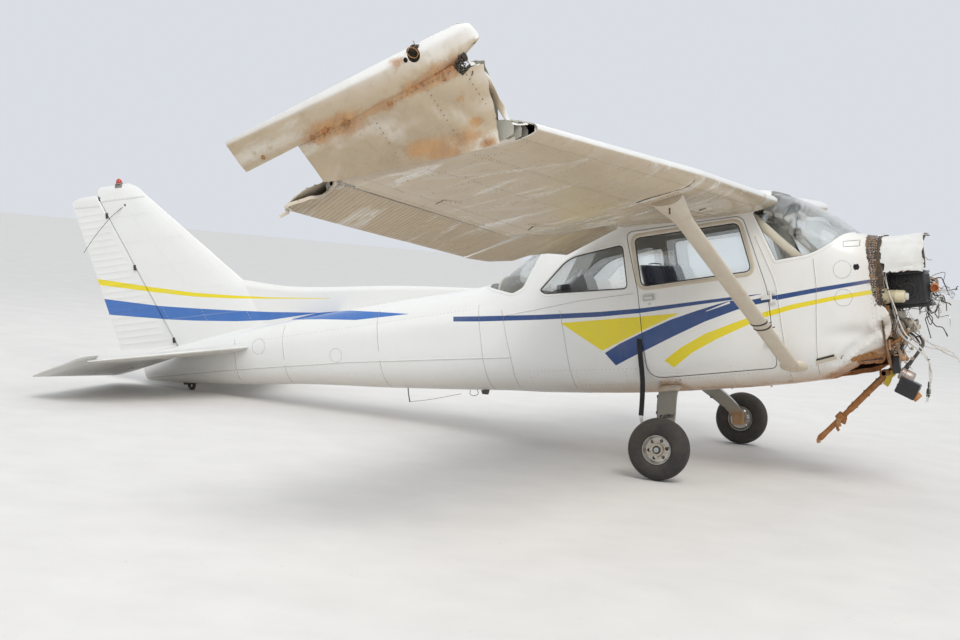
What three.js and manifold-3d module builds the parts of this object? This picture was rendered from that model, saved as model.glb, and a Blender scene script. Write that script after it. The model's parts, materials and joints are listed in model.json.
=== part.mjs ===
// High-wing light aircraft, damaged and stripped of its engine, parked on its main wheels and its tail.
// Millimetres. Inside the airframe group, x runs forward from the firewall, y to the left wing and z up
// from the height of the main axle. The airframe group is then pitched nose-up until the tail skid
// touches the ground, and the outer group puts the origin under the middle of the whole.
import * as THREE from 'three';
import { mergeVertices } from 'three/addons/utils/BufferGeometryUtils.js';
import Module from 'manifold-3d';

const wasm = await Module();
wasm.setup();

// Driving dimensions
const GAP = 0.3; // between pieces that touch
const MOVING_GAP = 5; // round a piece that swings
const CABIN_WALL = 35;
const TAIL_WALL = 10;
const SKIN = 8; // thickness given to wing and tail skins
const GLASS = 5;
const AXLE = { x: -1478, stubInner: 1158, stubOuter: 1338, radius: 19 };
const TYRE = { y: 1265, radius: 217.5, halfWidth: 80, rim: 102 };
const SKID = { x: -6060, z: 678, halfLength: 42, halfWidth: 9 };
const REAR = { cabinEnd: -3080, tailEnd: -6500 };
const DECK = { roofSplit: 1640, roofFront: -700, roofBack: -2290 };
const FLOOR = { top: 462, thickness: 14 };
const HINGE_LINE = { x: -6100, z: 1000 }; // elevator
const RUDDER_HINGE = { bottom: [-6156, 1063], top: [-6809, 2353] };
const ELEVATOR_DROOP = 13; // degrees, trailing edge down
const TIP_FOLD = 62; // degrees that the outer end of the right wing is bent up

// Colours, roughness and metalness of the finishes
const FINISH = {
  white: new THREE.MeshStandardMaterial({ color: 0xe6e5e0, roughness: 0.42, metalness: 0.05 }),
  dirtyWhite: new THREE.MeshStandardMaterial({ color: 0xc9bda6, roughness: 0.6, metalness: 0.05 }),
  bareMetal: new THREE.MeshStandardMaterial({ color: 0x9aa0a4, roughness: 0.45, metalness: 0.9 }),
  darkMetal: new THREE.MeshStandardMaterial({ color: 0x33302d, roughness: 0.7, metalness: 0.5 }),
  rust: new THREE.MeshStandardMaterial({ color: 0x6d4028, roughness: 0.9, metalness: 0.2 }),
  rubber: new THREE.MeshStandardMaterial({ color: 0x1d1d1d, roughness: 0.85, metalness: 0 }),
  silver: new THREE.MeshStandardMaterial({ color: 0xc8c8c4, roughness: 0.35, metalness: 0.8 }),
  glass: new THREE.MeshStandardMaterial({ color: 0x9fb4b0, roughness: 0.1, metalness: 0, opacity: 0.4 }),
  interior: new THREE.MeshStandardMaterial({ color: 0x4c5157, roughness: 0.85, metalness: 0 }),
  seat: new THREE.MeshStandardMaterial({ color: 0x22304e, roughness: 0.9, metalness: 0 }),
  panel: new THREE.MeshStandardMaterial({ color: 0x1b1c1e, roughness: 0.7, metalness: 0 }),
  cream: new THREE.MeshStandardMaterial({ color: 0xd8cfae, roughness: 0.5, metalness: 0.1 }),
  red: new THREE.MeshStandardMaterial({ color: 0xb02a22, roughness: 0.3, metalness: 0 }),
  webbing: new THREE.MeshStandardMaterial({ color: 0x17181b, roughness: 0.9, metalness: 0 }),
};

// Solids from geometries

function toSolid(geometry) {
  const bare = geometry.clone();
  bare.deleteAttribute('normal');
  bare.deleteAttribute('uv');
  const welded = mergeVertices(bare, 1e-4);
  return new wasm.Manifold(new wasm.Mesh({
    numProp: 3,
    vertProperties: new Float32Array(welded.attributes.position.array),
    triVerts: new Uint32Array(welded.index.array),
  }));
}

function toGeometry(solid) {
  const mesh = solid.getMesh();
  const geometry = new THREE.BufferGeometry();
  geometry.setAttribute('position', new THREE.BufferAttribute(mesh.vertProperties, 3));
  geometry.setIndex(new THREE.BufferAttribute(mesh.triVerts, 1));
  geometry.computeVertexNormals();
  return geometry;
}

function join(...solids) {
  return solids.reduce((whole, next) => whole.add(next));
}

function box(x0, x1, y0, y1, z0, z1) {
  const geometry = new THREE.BoxGeometry(Math.abs(x1 - x0), Math.abs(y1 - y0), Math.abs(z1 - z0));
  geometry.translate((x0 + x1) / 2, (y0 + y1) / 2, (z0 + z1) / 2);
  return toSolid(geometry);
}

function shapeOf(outline) {
  return new THREE.Shape(outline.map(([u, v]) => new THREE.Vector2(u, v)));
}

// An outline of [x, z] points, as a prism from y0 to y1
function prismY(outline, y0, y1) {
  const geometry = new THREE.ExtrudeGeometry(shapeOf(outline), { depth: y1 - y0, bevelEnabled: false });
  geometry.rotateX(Math.PI / 2);
  geometry.translate(0, y1, 0);
  return toSolid(geometry);
}

// An outline of [x, y] points, as a prism from z0 to z1
function prismZ(outline, z0, z1) {
  const geometry = new THREE.ExtrudeGeometry(shapeOf(outline), { depth: z1 - z0, bevelEnabled: false });
  geometry.translate(0, 0, z0);
  return toSolid(geometry);
}

// A rod, cone or disc between two points
function rod(from, to, radius, sides = 8, endRadius = radius) {
  const start = new THREE.Vector3(...from);
  const along = new THREE.Vector3(...to).sub(start);
  const geometry = new THREE.CylinderGeometry(endRadius, radius, along.length(), sides);
  geometry.translate(0, along.length() / 2, 0);
  const up = new THREE.Vector3(0, 1, 0);
  geometry.applyQuaternion(new THREE.Quaternion().setFromUnitVectors(up, along.clone().normalize()));
  geometry.translate(start.x, start.y, start.z);
  return toSolid(geometry);
}

function smooth(points) {
  return new THREE.CatmullRomCurve3(points.map((p) => new THREE.Vector3(...p)), false, 'centripetal');
}

// A section of width by height with rounded ends, swept along a smooth route
function sweep(points, width, height, steps, sides = 8) {
  const section = new THREE.Shape();
  for (let k = 0; k < sides; k += 1) {
    const turn = (2 * Math.PI * (k + 0.5)) / sides;
    const u = (width / 2) * Math.cos(turn);
    const v = (height / 2) * Math.sin(turn);
    if (k === 0) section.moveTo(u, v);
    else section.lineTo(u, v);
  }
  const along = { steps, extrudePath: smooth(points), bevelEnabled: false };
  return toSolid(new THREE.ExtrudeGeometry(section, along));
}

// A flat band along a smooth route, as wide as it can be along x
function strap(points, width, thickness, steps) {
  const route = smooth(points);
  const corners = [[0.5, -0.5], [0.5, 0.5], [-0.5, 0.5], [-0.5, -0.5]];
  return loft(Array.from({ length: steps + 1 }, (_, i) => {
    const centre = route.getPoint(i / steps);
    const along = route.getTangent(i / steps);
    const wide = new THREE.Vector3(1, 0, 0).addScaledVector(along, -along.x).normalize();
    const thin = along.clone().cross(wide);
    return corners.map(([u, v]) => centre.clone()
      .addScaledVector(wide, u * width).addScaledVector(thin, v * thickness));
  }));
}

// Triangles that fill a ring, all turned the ring's own way
function ringFaces(ring) {
  const normal = new THREE.Vector3();
  ring.forEach((p, k) => normal.add(p.clone().cross(ring[(k + 1) % ring.length])));
  const size = [Math.abs(normal.x), Math.abs(normal.y), Math.abs(normal.z)];
  const drop = size.indexOf(Math.max(...size));
  const flat = ring.map((p) => {
    const c = [p.x, p.y, p.z];
    return new THREE.Vector2(c[(drop + 1) % 3], c[(drop + 2) % 3]);
  });
  const wanted = Math.sign(THREE.ShapeUtils.area(flat));
  return THREE.ShapeUtils.triangulateShape(flat, []).map(([a, b, c]) => {
    const turn = Math.sign(THREE.ShapeUtils.area([flat[a], flat[b], flat[c]]));
    return turn === wanted ? [a, b, c] : [a, c, b];
  });
}

// A closed body through rings of equal count
function loft(rings) {
  const count = rings[0].length;
  const positions = rings.flat().flatMap((p) => [p.x, p.y, p.z]);
  const faces = [];
  for (let i = 0; i + 1 < rings.length; i += 1) {
    for (let k = 0; k < count; k += 1) {
      const a = i * count + k;
      const b = i * count + ((k + 1) % count);
      faces.push([a, b, b + count], [a, b + count, a + count]);
    }
  }
  const last = (rings.length - 1) * count;
  ringFaces(rings[0]).forEach(([a, b, c]) => faces.push([a, c, b]));
  ringFaces(rings[rings.length - 1]).forEach(([a, b, c]) => faces.push([last + a, last + b, last + c]));
  const at = (i) => new THREE.Vector3(...positions.slice(3 * i, 3 * i + 3));
  const volume = faces.reduce((sum, [a, b, c]) => sum + at(a).dot(at(b).cross(at(c))), 0);
  const index = faces.flatMap(([a, b, c]) => (volume > 0 ? [a, b, c] : [a, c, b]));
  const geometry = new THREE.BufferGeometry();
  geometry.setAttribute('position', new THREE.Float32BufferAttribute(positions, 3));
  geometry.setIndex(index);
  return toSolid(geometry);
}

// Outlines

// Corners [u, v, radius] as a list of points, each corner a short curve
function rounded(corners, steps = 3) {
  const points = [];
  corners.forEach(([u, v, radius = 0], i) => {
    const before = corners[(i + corners.length - 1) % corners.length];
    const after = corners[(i + 1) % corners.length];
    if (radius === 0) {
      points.push([u, v]);
      return;
    }
    const corner = new THREE.Vector2(u, v);
    const start = new THREE.Vector2(before[0] - u, before[1] - v).setLength(radius).add(corner);
    const end = new THREE.Vector2(after[0] - u, after[1] - v).setLength(radius).add(corner);
    const bend = new THREE.QuadraticBezierCurve(start, corner, end);
    points.push(...bend.getPoints(steps).map((p) => [p.x, p.y]));
  });
  return points;
}

// An outline moved outwards by a distance, or inwards when it is negative
function grow(outline, distance) {
  const way = Math.sign(THREE.ShapeUtils.area(outline.map(([u, v]) => new THREE.Vector2(u, v))));
  return outline.map(([u, v], i) => {
    const [pu, pv] = outline[(i + outline.length - 1) % outline.length];
    const [nu, nv] = outline[(i + 1) % outline.length];
    const first = new THREE.Vector2(v - pv, pu - u).normalize();
    const second = new THREE.Vector2(nv - v, u - nu).normalize();
    const middle = first.clone().add(second).normalize();
    const reach = (way * distance) / Math.max(0.5, middle.dot(first));
    return [u + middle.x * reach, v + middle.y * reach];
  });
}

// Fuselage

// Columns: x, belly z, top z, half width, waist z, lower roundness, upper roundness
const SECTIONS = [
  [0, 365, 1345, 480, 900, 3.2, 4.5],
  [-110, 355, 1372, 492, 900, 3.4, 4.2],
  [-340, 340, 1552, 516, 905, 3.6, 3.6],
  [-540, 332, 1682, 533, 915, 3.8, 4.2],
  [-760, 325, 1770, 548, 930, 4, 7],
  [-1100, 322, 1796, 555, 940, 4, 8],
  [-1700, 338, 1788, 555, 950, 4, 8],
  [-2290, 374, 1705, 522, 950, 3.6, 6],
  [-2700, 408, 1490, 476, 930, 3.2, 3.6],
  [-3080, 448, 1305, 430, 905, 3, 3],
  [-4030, 542, 1255, 330, 905, 2.8, 2.6],
  [-4970, 645, 1200, 235, 925, 2.6, 2.4],
  [-5470, 680, 1165, 180, 930, 2.4, 2.4],
  [-6120, 745, 1085, 105, 935, 2.3, 2.3],
  [-6500, 800, 1040, 60, 930, 2.2, 2.2],
];
const RING_POINTS = 24;
const BEYOND = 60; // how far a cutting body runs past the ends

function fuselageRing([x, belly, top, half, waist, lower, upper], inset) {
  const ring = [];
  for (let k = 0; k < RING_POINTS; k += 1) {
    const turn = (2 * Math.PI * k) / RING_POINTS;
    const side = Math.sin(turn);
    const rise = -Math.cos(turn);
    const power = 2 / (rise < 0 ? lower : upper);
    const height = rise < 0 ? waist - belly - inset : top - waist - inset;
    const y = (half - inset) * Math.sign(side) * Math.abs(side) ** power;
    const z = waist + height * Math.sign(rise) * Math.abs(rise) ** power;
    ring.push(new THREE.Vector3(x, Math.abs(side) < 1e-9 ? 0 : y, Math.abs(rise) < 1e-9 ? waist : z));
  }
  return ring;
}

// The whole fuselage outline, moved in by inset, and longer than the real one when it is used to cut
function fuselage(inset, beyond = 0) {
  const rings = SECTIONS.map((section) => fuselageRing(section, inset));
  if (beyond > 0) {
    const shifted = (section, dx) => fuselageRing([section[0] + dx, ...section.slice(1)], inset);
    rings.unshift(shifted(SECTIONS[0], beyond));
    rings.push(shifted(SECTIONS[SECTIONS.length - 1], -beyond));
  }
  return loft(rings);
}

const outerBody = fuselage(0);
const outerCutter = fuselage(-GAP, BEYOND);
const innerCutter = fuselage(CABIN_WALL, BEYOND);
const WIDE = 900; // past the fuselage sides

// Side outlines of doors and windows: x, z, corner radius
const DOOR = rounded([
  [-1728, 464, 120], [-1731, 1130, 0], [-1778, 1566, 55], [-898, 1586, 60], [-770, 1030, 60],
  [-760, 466, 50],
]);
const DOOR_WINDOW = rounded([[-1722, 1518, 45], [-930, 1544, 50], [-862, 1176, 60], [-1706, 1148, 55]]);
const SIDE_WINDOW = rounded([
  [-1812, 1482, 45], [-2262, 1430, 90], [-2535, 1206, 30], [-2486, 1172, 20], [-1806, 1145, 45],
]);
const WINDSHIELD = [
  [-70, 1385], [-200, 1370], [-330, 1290], [-450, 1245], [-694, 1226], [-832, 1600], [-705, 1725],
  [-705, 1900], [100, 1900],
];
const REAR_WINDOW = [
  [-2345, 1900], [-2350, 1640], [-2472, 1520], [-2668, 1232], [-2770, 1195], [-3040, 1278], [-3060, 1900],
];
const BAGGAGE_DOOR = rounded([[-2780, 640, 45], [-2780, 1010, 45], [-2400, 1030, 45], [-2400, 625, 45]]);

// What lies inside an outline seen from the side, on the right (-1), on the left (1) or on both (0)
function sideRegion(outline, side) {
  if (side === 0) return prismY(outline, -WIDE, WIDE);
  return side < 0 ? prismY(outline, -WIDE, -50) : prismY(outline, 50, WIDE);
}

const cabinTube = outerBody.intersect(box(REAR.cabinEnd, 0, -WIDE, WIDE, 0, 2000)).subtract(innerCutter);
const roofRegion = box(DECK.roofBack, DECK.roofFront, -WIDE, WIDE, DECK.roofSplit, 2000);
const paneBody = fuselage(12).subtract(fuselage(12 + GLASS, BEYOND));

function pane(outline, side) {
  return paneBody.intersect(sideRegion(grow(outline, -GAP), side));
}

// Hinge knuckles: the pivot of each door, and how each pair of knuckles is split along it
const KNUCKLE = { radius: 9, half: 45, own: 18 };
const DOOR_PIVOT = { x: -745, y: 562, levels: [660, 980] };
const BAGGAGE_PIVOT = { x: -2386, y: 522, levels: [720, 930] };

function doorKnuckle(pivot, side, z) {
  const y = side * pivot.y;
  const bottom = z - KNUCKLE.own;
  const top = z + KNUCKLE.own;
  const strap = box(pivot.x - 60, pivot.x, y - side * 10, y + side * 4, bottom, top);
  const root = box(pivot.x - 60, pivot.x - 24, y - side * 36, y - side * 4, bottom, top);
  return join(rod([pivot.x, y, bottom], [pivot.x, y, top], KNUCKLE.radius, 8), strap, root);
}

function frameKnuckles(pivot, side, z) {
  const y = side * pivot.y;
  return join(...[-1, 1].map((way) => {
    const near = z + way * (KNUCKLE.own + GAP);
    const far = z + way * KNUCKLE.half;
    const [bottom, top] = [near, far].sort((a, b) => a - b);
    const barrel = rod([pivot.x, y, bottom], [pivot.x, y, top], KNUCKLE.radius, 8);
    return barrel.add(box(pivot.x + 2, pivot.x + 34, y - side * 34, y + side * 4, near, far));
  }));
}

function doorShell(side) {
  const panel = cabinTube.intersect(sideRegion(DOOR, side)).subtract(sideRegion(DOOR_WINDOW, side));
  return join(panel, ...DOOR_PIVOT.levels.map((z) => doorKnuckle(DOOR_PIVOT, side, z)));
}

// A paddle handle in a dished plate, on the outside of a door
function doorHandle(side) {
  const skinY = 556;
  const plate = rounded([[-1700, 1040, 18], [-1700, 1092, 18], [-1604, 1092, 18], [-1604, 1040, 18]]);
  const paddle = rounded([[-1688, 1054, 8], [-1688, 1078, 8], [-1622, 1078, 8], [-1622, 1054, 8]]);
  const near = (outline, out) => {
    const y = side * out;
    return prismY(outline, Math.min(side * 540, y), Math.max(side * 540, y));
  };
  return near(plate, skinY + 4).add(near(paddle, skinY + 14)).subtract(outerCutter);
}

function cabinShell() {
  const openings = [
    sideRegion(grow(DOOR, MOVING_GAP), 0),
    sideRegion(SIDE_WINDOW, 0),
    sideRegion(WINDSHIELD, 0),
    sideRegion(REAR_WINDOW, 0),
    sideRegion(grow(BAGGAGE_DOOR, MOVING_GAP), 1),
    roofRegion,
  ];
  const shell = openings.reduce((left, cut) => left.subtract(cut), cabinTube);
  const hingesOf = (side) => DOOR_PIVOT.levels.map((z) => frameKnuckles(DOOR_PIVOT, side, z));
  const hinges = [-1, 1].flatMap(hingesOf);
  hinges.push(...BAGGAGE_PIVOT.levels.map((z) => frameKnuckles(BAGGAGE_PIVOT, 1, z)));
  return join(shell, ...hinges);
}

function cabinRoof() {
  const inner = box(DECK.roofBack + GAP, DECK.roofFront - GAP, -WIDE, WIDE, DECK.roofSplit + GAP, 2000);
  const glassAbove = sideRegion(grow(WINDSHIELD, GAP), 0).add(sideRegion(grow(REAR_WINDOW, GAP), 0));
  return cabinTube.intersect(inner).subtract(glassAbove);
}

function cabinFloor() {
  const plate = box(-2890, -25, -WIDE, WIDE, FLOOR.top - FLOOR.thickness, FLOOR.top);
  return fuselage(CABIN_WALL + GAP).intersect(plate).add(seatFrames());
}

function baggageBulkhead() {
  const plate = box(-2920, -2900, -WIDE, WIDE, 300, 1600);
  return fuselage(CABIN_WALL + GAP).intersect(plate);
}

function baggageDoor() {
  const panel = cabinTube.intersect(sideRegion(BAGGAGE_DOOR, 1));
  return join(panel, ...BAGGAGE_PIVOT.levels.map((z) => doorKnuckle(BAGGAGE_PIVOT, 1, z)));
}

// The firewall plate, with the ragged flange that the missing cowling left on it
function firewall() {
  const thickness = 14;
  const rim = 46;
  const plate = fuselage(0, BEYOND).intersect(box(GAP, thickness, -WIDE, WIDE, 0, 2000));
  const collar = fuselage(2, BEYOND).subtract(fuselage(8, 2 * BEYOND));
  const ragged = [
    [thickness - 2, 440], [rim, 450], [30, 520], [rim + 14, 640], [58, 760], [34, 830], [26, 960],
    [rim - 8, 1080], [28, 1190], [rim, 1300], [24, 1400], [thickness - 2, 1400],
  ];
  return join(plate, collar.intersect(prismY(ragged, -WIDE, WIDE)), engineBearer());
}

function tailcone() {
  const region = box(REAR.tailEnd, REAR.cabinEnd - GAP, -WIDE, WIDE, 0, 2000);
  const hollow = fuselage(TAIL_WALL).intersect(box(REAR.tailEnd + 120, 0, -WIDE, WIDE, 0, 2000));
  const { x, z } = HINGE_LINE;
  const torqueTube = rod([x, -WIDE, z], [x, WIDE, z], TORQUE.bore, 16);
  const post = rudderPost(TORQUE.rudderBore, -260, 400);
  return outerBody.intersect(region).subtract(hollow).subtract(torqueTube).subtract(post);
}

// Wings

// Columns: distance out, leading edge x, leading edge z, chord, nose-up angle. The right wing has been
// twisted by its accident, so its rear half hangs lower towards the tip.
const RIGHT_WING = [
  [440, -650, 1671, 1626, 1.5],
  [1000, -650, 1690, 1626, 2],
  [1400, -650, 1703, 1626, 4],
  [1750, -650, 1714, 1626, 7],
  [2200, -650, 1729, 1626, 9],
  [2600, -653, 1742, 1615, 10],
  [3600, -737, 1788, 1434, 10],
  [5460, -895, 1873, 1097, 10],
];
const LEFT_WING = [
  [440, -650, 1671, 1626, 1.5],
  [1200, -650, 1694, 1626, 1.5],
  [1900, -650, 1716, 1626, 1.5],
];
const WING_REAR = 0.71; // where the flap begins, as a part of the chord
const AILERON_AT = 0.77;
const SIDE_POINTS = 9;

const halfThickness = (f) => 0.6 * (0.2969 * Math.sqrt(f) - 0.126 * f - 0.3516 * f ** 2 + 0.2843 * f ** 3
  - 0.1036 * f ** 4);
const camberLine = (f) => (f < 0.4 ? 0.125 * (0.8 * f - f * f) : 0.0556 * (0.2 + 0.8 * f - f * f));

// One section of a wing or tail surface. base is its leading edge, back and up are unit vectors.
function airfoil(base, back, up, chord, { from = 0, to = 1, inset = 0, camber = 1, depth = 1 }) {
  const start = Math.max(from, (2 * inset) / chord);
  const half = (f) => Math.max(chord * depth * halfThickness(f) - inset, 1.2);
  const place = (f, way) => base.clone()
    .addScaledVector(back, f * chord)
    .addScaledVector(up, chord * camber * camberLine(f) + way * half(f));
  const last = SIDE_POINTS - 1;
  const parts = Array.from({ length: SIDE_POINTS }, (_, i) => start + (to - start) * (i / last) ** 2);
  const upper = parts.map((f) => place(f, 1)).reverse();
  const lower = parts.map((f) => place(f, -1));
  if (start > 0) return [...upper, ...lower];
  return [...upper, ...lower.slice(1)];
}

function wingFrame([out, x, z, chord, degrees, skew = 0], side) {
  const angle = THREE.MathUtils.degToRad(degrees);
  const outwards = THREE.MathUtils.degToRad(skew);
  return {
    base: new THREE.Vector3(x, side * out, z),
    back: new THREE.Vector3(-Math.cos(angle), side * Math.tan(outwards), -Math.sin(angle)).normalize(),
    up: new THREE.Vector3(-Math.sin(angle), 0, Math.cos(angle)),
    chord,
  };
}

// The wing's numbers at a distance out, between the rows of its table
function wingAt(table, out) {
  const i = Math.max(1, table.findIndex((row) => row[0] >= out));
  const t = (out - table[i - 1][0]) / (table[i][0] - table[i - 1][0]);
  return table[i - 1].map((value, k) => value + (table[i][k] - value) * t);
}

function wingBody(table, side, to, inset, beyond = 0) {
  const rows = table.map((row, i) => {
    if (i === 0) return [row[0] - beyond, ...row.slice(1)];
    return i === table.length - 1 ? [row[0] + beyond, ...row.slice(1)] : row;
  });
  return loft(rows.map((row) => {
    const { base, back, up, chord } = wingFrame(row, side);
    return airfoil(base, back, up, chord, { to: to(row[0]), inset });
  }));
}

// A point on or near the wing: part of the chord, and height as a part of the half thickness
function wingPoint(table, side, out, f, level) {
  const { base, back, up, chord } = wingFrame(wingAt(table, out), side);
  const rise = chord * (camberLine(f) + level * halfThickness(f));
  return base.addScaledVector(back, f * chord).addScaledVector(up, rise);
}

// Skins, front spar and root rib of a wing, open at the ends. The rear edge steps back where the
// flap ends and the aileron begins.
function wingShell(table, side, rearAt, lastOut) {
  const solid = wingBody(table, side, rearAt, 0);
  const hollow = wingBody(table, side, (out) => rearAt(out) - 0.012, SKIN, BEYOND);
  const spar = loft([table[0][0] + 60, lastOut].map((out) => {
    const row = wingAt(table, out);
    const { base, back, up, chord } = wingFrame(row, side);
    const corner = (f, level) => base.clone().addScaledVector(back, f * chord)
      .addScaledVector(up, chord * (camberLine(f) + level * halfThickness(f)));
    return [corner(0.25, 0.97), corner(0.25, -0.97), corner(0.256, -0.97), corner(0.256, 0.97)];
  }));
  return join(solid.subtract(hollow), spar.intersect(solid));
}

// The crease across the right wing, at the leading edge and at the rear spar, on the lower skin
const CREASE = {
  front: wingPoint(RIGHT_WING, -1, 4960, 0.02, -1),
  rear: wingPoint(RIGHT_WING, -1, 5255, AILERON_AT, -1),
};

// A large block on the outer side of the plane through the crease, leaning by an angle from upright
function beyondCrease(lean, shift) {
  const along = CREASE.rear.clone().sub(CREASE.front).normalize();
  const up = new THREE.Vector3(0, 0, 1);
  up.addScaledVector(along, -up.dot(along)).normalize();
  const out = along.clone().cross(up);
  if (out.y > 0) out.negate();
  const leaned = THREE.MathUtils.degToRad(lean);
  const face = out.clone().multiplyScalar(Math.cos(leaned)).addScaledVector(up, Math.sin(leaned));
  const tall = along.clone().cross(face);
  const size = 3000;
  const geometry = new THREE.BoxGeometry(size, size, size);
  geometry.translate(0, 0, size / 2 + shift);
  geometry.applyMatrix4(new THREE.Matrix4().makeBasis(along, tall.negate(), face));
  geometry.translate(CREASE.front.x, CREASE.front.y, CREASE.front.z);
  return toSolid(geometry);
}

// Turns a solid about the crease, tip upwards
function foldUp(solid) {
  const axis = CREASE.rear.clone().sub(CREASE.front).normalize();
  const turn = new THREE.Matrix4().makeTranslation(CREASE.front)
    .multiply(new THREE.Matrix4().makeRotationAxis(axis, THREE.MathUtils.degToRad(TIP_FOLD)))
    .multiply(new THREE.Matrix4().makeTranslation(CREASE.front.clone().negate()));
  return solid.transform(turn.elements);
}

const rightRear = (out) => (out < 2610 ? WING_REAR : AILERON_AT);
// The same table with a second row where the rear edge steps, for flap then aileron
const RIGHT_STEPPED = [
  ...RIGHT_WING.slice(0, 5), RIGHT_WING[5], wingAt(RIGHT_WING, 2625), ...RIGHT_WING.slice(6),
];

function wingRight() {
  const shell = wingShell(RIGHT_STEPPED, -1, rightRear, 5200);
  // Torn leading edge at the crease: a ragged bite seen from above
  const tear = [[-600, -4850], [-890, -4858], [-945, -4915], [-925, -4965], [-1010, -5010], [-600, -5160]];
  return shell
    .subtract(beyondCrease(TIP_FOLD / 2, -GAP / 2))
    .subtract(outerCutter)
    .subtract(prismZ(tear, 1700, 2100).intersect(beyondCrease(TIP_FOLD / 2, -70)));
}

// Outer wing beyond the crease, before it is folded: columns as above, then how far the section is
// skewed outwards at its rear and, for the cap, its depth. The tip rib closes the panel.
const OUTER_WING = [
  [4700, -831, 1838, 1235, 10, 0],
  [5390, -846, 1878, 1166, 10, 5.2],
];
const TIP_RIB = { thickness: 12, rear: 0.82 };
const TIP_CAP = [
  [5399.6, -945, 1860, 1214, 10, 5.2, 0.94],
  [5440, -822, 1884, 1354, 10, 5.3, 0.88],
  [5510, -830, 1887, 1349, 10, 6.4, 0.62],
  [5545, -880, 1882, 1288, 10, 6, 0.2],
];
const CAP_REAR = 0.93; // the two skins of the cap stand apart at its trailing edge

function wingTipPanel() {
  const rear = (out) => (out < 5000 ? AILERON_AT : TIP_RIB.rear);
  const solid = wingBody(OUTER_WING, -1, rear, 0);
  const [inner, outer] = OUTER_WING;
  const inside = [inner, [outer[0] - TIP_RIB.thickness, ...outer.slice(1)]];
  const hollow = wingBody(inside, -1, (out) => rear(out) - 0.012, SKIN);
  // The leading edge is torn away from the crease up to the lamp beside the tip rib
  const torn = prismZ([
    [-600, -4700], [-1060, -4800], [-1012, -4930], [-972, -5035], [-937, -5121], [-892, -5245],
    [-868, -5330], [-905, -5348], [-972, -5340], [-985, -5420], [-600, -5420],
  ], 1500, 2300);
  const kept = beyondCrease(-TIP_FOLD / 2, GAP / 2);
  return foldUp(solid.subtract(hollow).intersect(kept).subtract(torn));
}

function wingTipCap() {
  const rings = TIP_CAP.map((row) => {
    const { base, back, up, chord } = wingFrame(row, -1);
    const depth = row[6];
    return airfoil(base, back, up, chord, { to: CAP_REAR, depth, camber: depth });
  });
  return foldUp(loft(rings));
}

// A flap or aileron section: round nose at the hinge point, running back to a thin trailing edge
function movableRing(hinge, length, height, degrees, inset = 0) {
  const angle = THREE.MathUtils.degToRad(degrees);
  const back = new THREE.Vector3(-Math.cos(angle), 0, -Math.sin(angle));
  const up = new THREE.Vector3(-Math.sin(angle), 0, Math.cos(angle));
  const corners = [
    [inset, inset], [inset, 0.5 * height], [inset + 0.06 * length, height - inset],
    [0.3 * length, 0.84 * height - inset],
    [length - inset * 8, 5 + inset * 0.2], [length - inset * 8, inset * 0.8],
  ];
  return corners.map(([s, h]) => hinge.clone().addScaledVector(back, s).addScaledVector(up, h));
}

// Columns: distance out, part of the chord in front, angle below level, nose height, trailing edge cut
const RIGHT_FLAP = [[590, WING_REAR, 20, 104], [1000, WING_REAR, 20, 104], [1400, WING_REAR, 19, 104],
  [1750, WING_REAR, 18, 104], [2200, WING_REAR, 16, 104], [2592, WING_REAR, 13, 102]];
const LEFT_FLAP = [[590, WING_REAR, 20, 104], [1850, WING_REAR, 20, 104]];
const RIGHT_AILERON = [[2628, AILERON_AT, 14, 82], [3600, AILERON_AT, 18, 74], [4600, AILERON_AT, 24, 64],
  [5060, AILERON_AT, 27, 60], [5440, AILERON_AT, 29, 56]];

function movableSurface(table, wing, side, inset = 0) {
  return loft(table.map(([out, f, degrees, height], i) => {
    const ends = [i === 0, i === table.length - 1];
    const shift = inset === 0 ? 0 : (ends[1] ? BEYOND : 0) + (ends[0] ? inset : 0);
    const row = wingAt(wing, out);
    const hinge = wingPoint(wing, side, out, f, -1);
    hinge.x -= GAP;
    hinge.y += side * shift;
    return movableRing(hinge, row[3] * (1 - f) - GAP, height, degrees, inset);
  }));
}

function aileronRight() {
  const shell = movableSurface(RIGHT_AILERON, RIGHT_WING, -1)
    .subtract(movableSurface(RIGHT_AILERON, RIGHT_WING, -1, 5));
  const torn = [
    [-1500, -5240], [-1745, -5232], [-1782, -5190], [-1828, -5180], [-1862, -5262], [-1905, -5345],
    [-1940, -5368], [-1968, -5290], [-2005, -5330], [-2030, -5285], [-2300, -5270], [-2300, -5600],
    [-1500, -5600],
  ];
  return shell.subtract(prismZ(torn, 1200, 2200)).subtract(beyondCrease(TIP_FOLD / 2, -12));
}

const LEFT_TEAR = [[-400, 1610], [-720, 1660], [-800, 1600], [-900, 1745], [-1060, 1690], [-1180, 1800],
  [-1330, 1740], [-1500, 1830], [-1640, 1760], [-1800, 1800], [-2000, 1730], [-2500, 1760], [-2500, 2300],
  [-400, 2300]];

function wingLeftStub() {
  const rear = () => WING_REAR;
  const shell = wingShell(LEFT_WING, 1, rear, 1860);
  const sparEnd = box(-1090, -1040, 1500, 1880, 1600, 1900);
  const tear = prismZ(LEFT_TEAR, 1300, 2200).subtract(sparEnd);
  return shell.subtract(tear).subtract(outerCutter);
}

function flapLeft() {
  return movableSurface(LEFT_FLAP, LEFT_WING, 1).subtract(prismZ(LEFT_TEAR, 1000, 2200));
}

// Strut

const STRUT = { foot: [-642, 561, 474], head: [-905, 2429, 1612], chord: 118, thickness: 50 };

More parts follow.
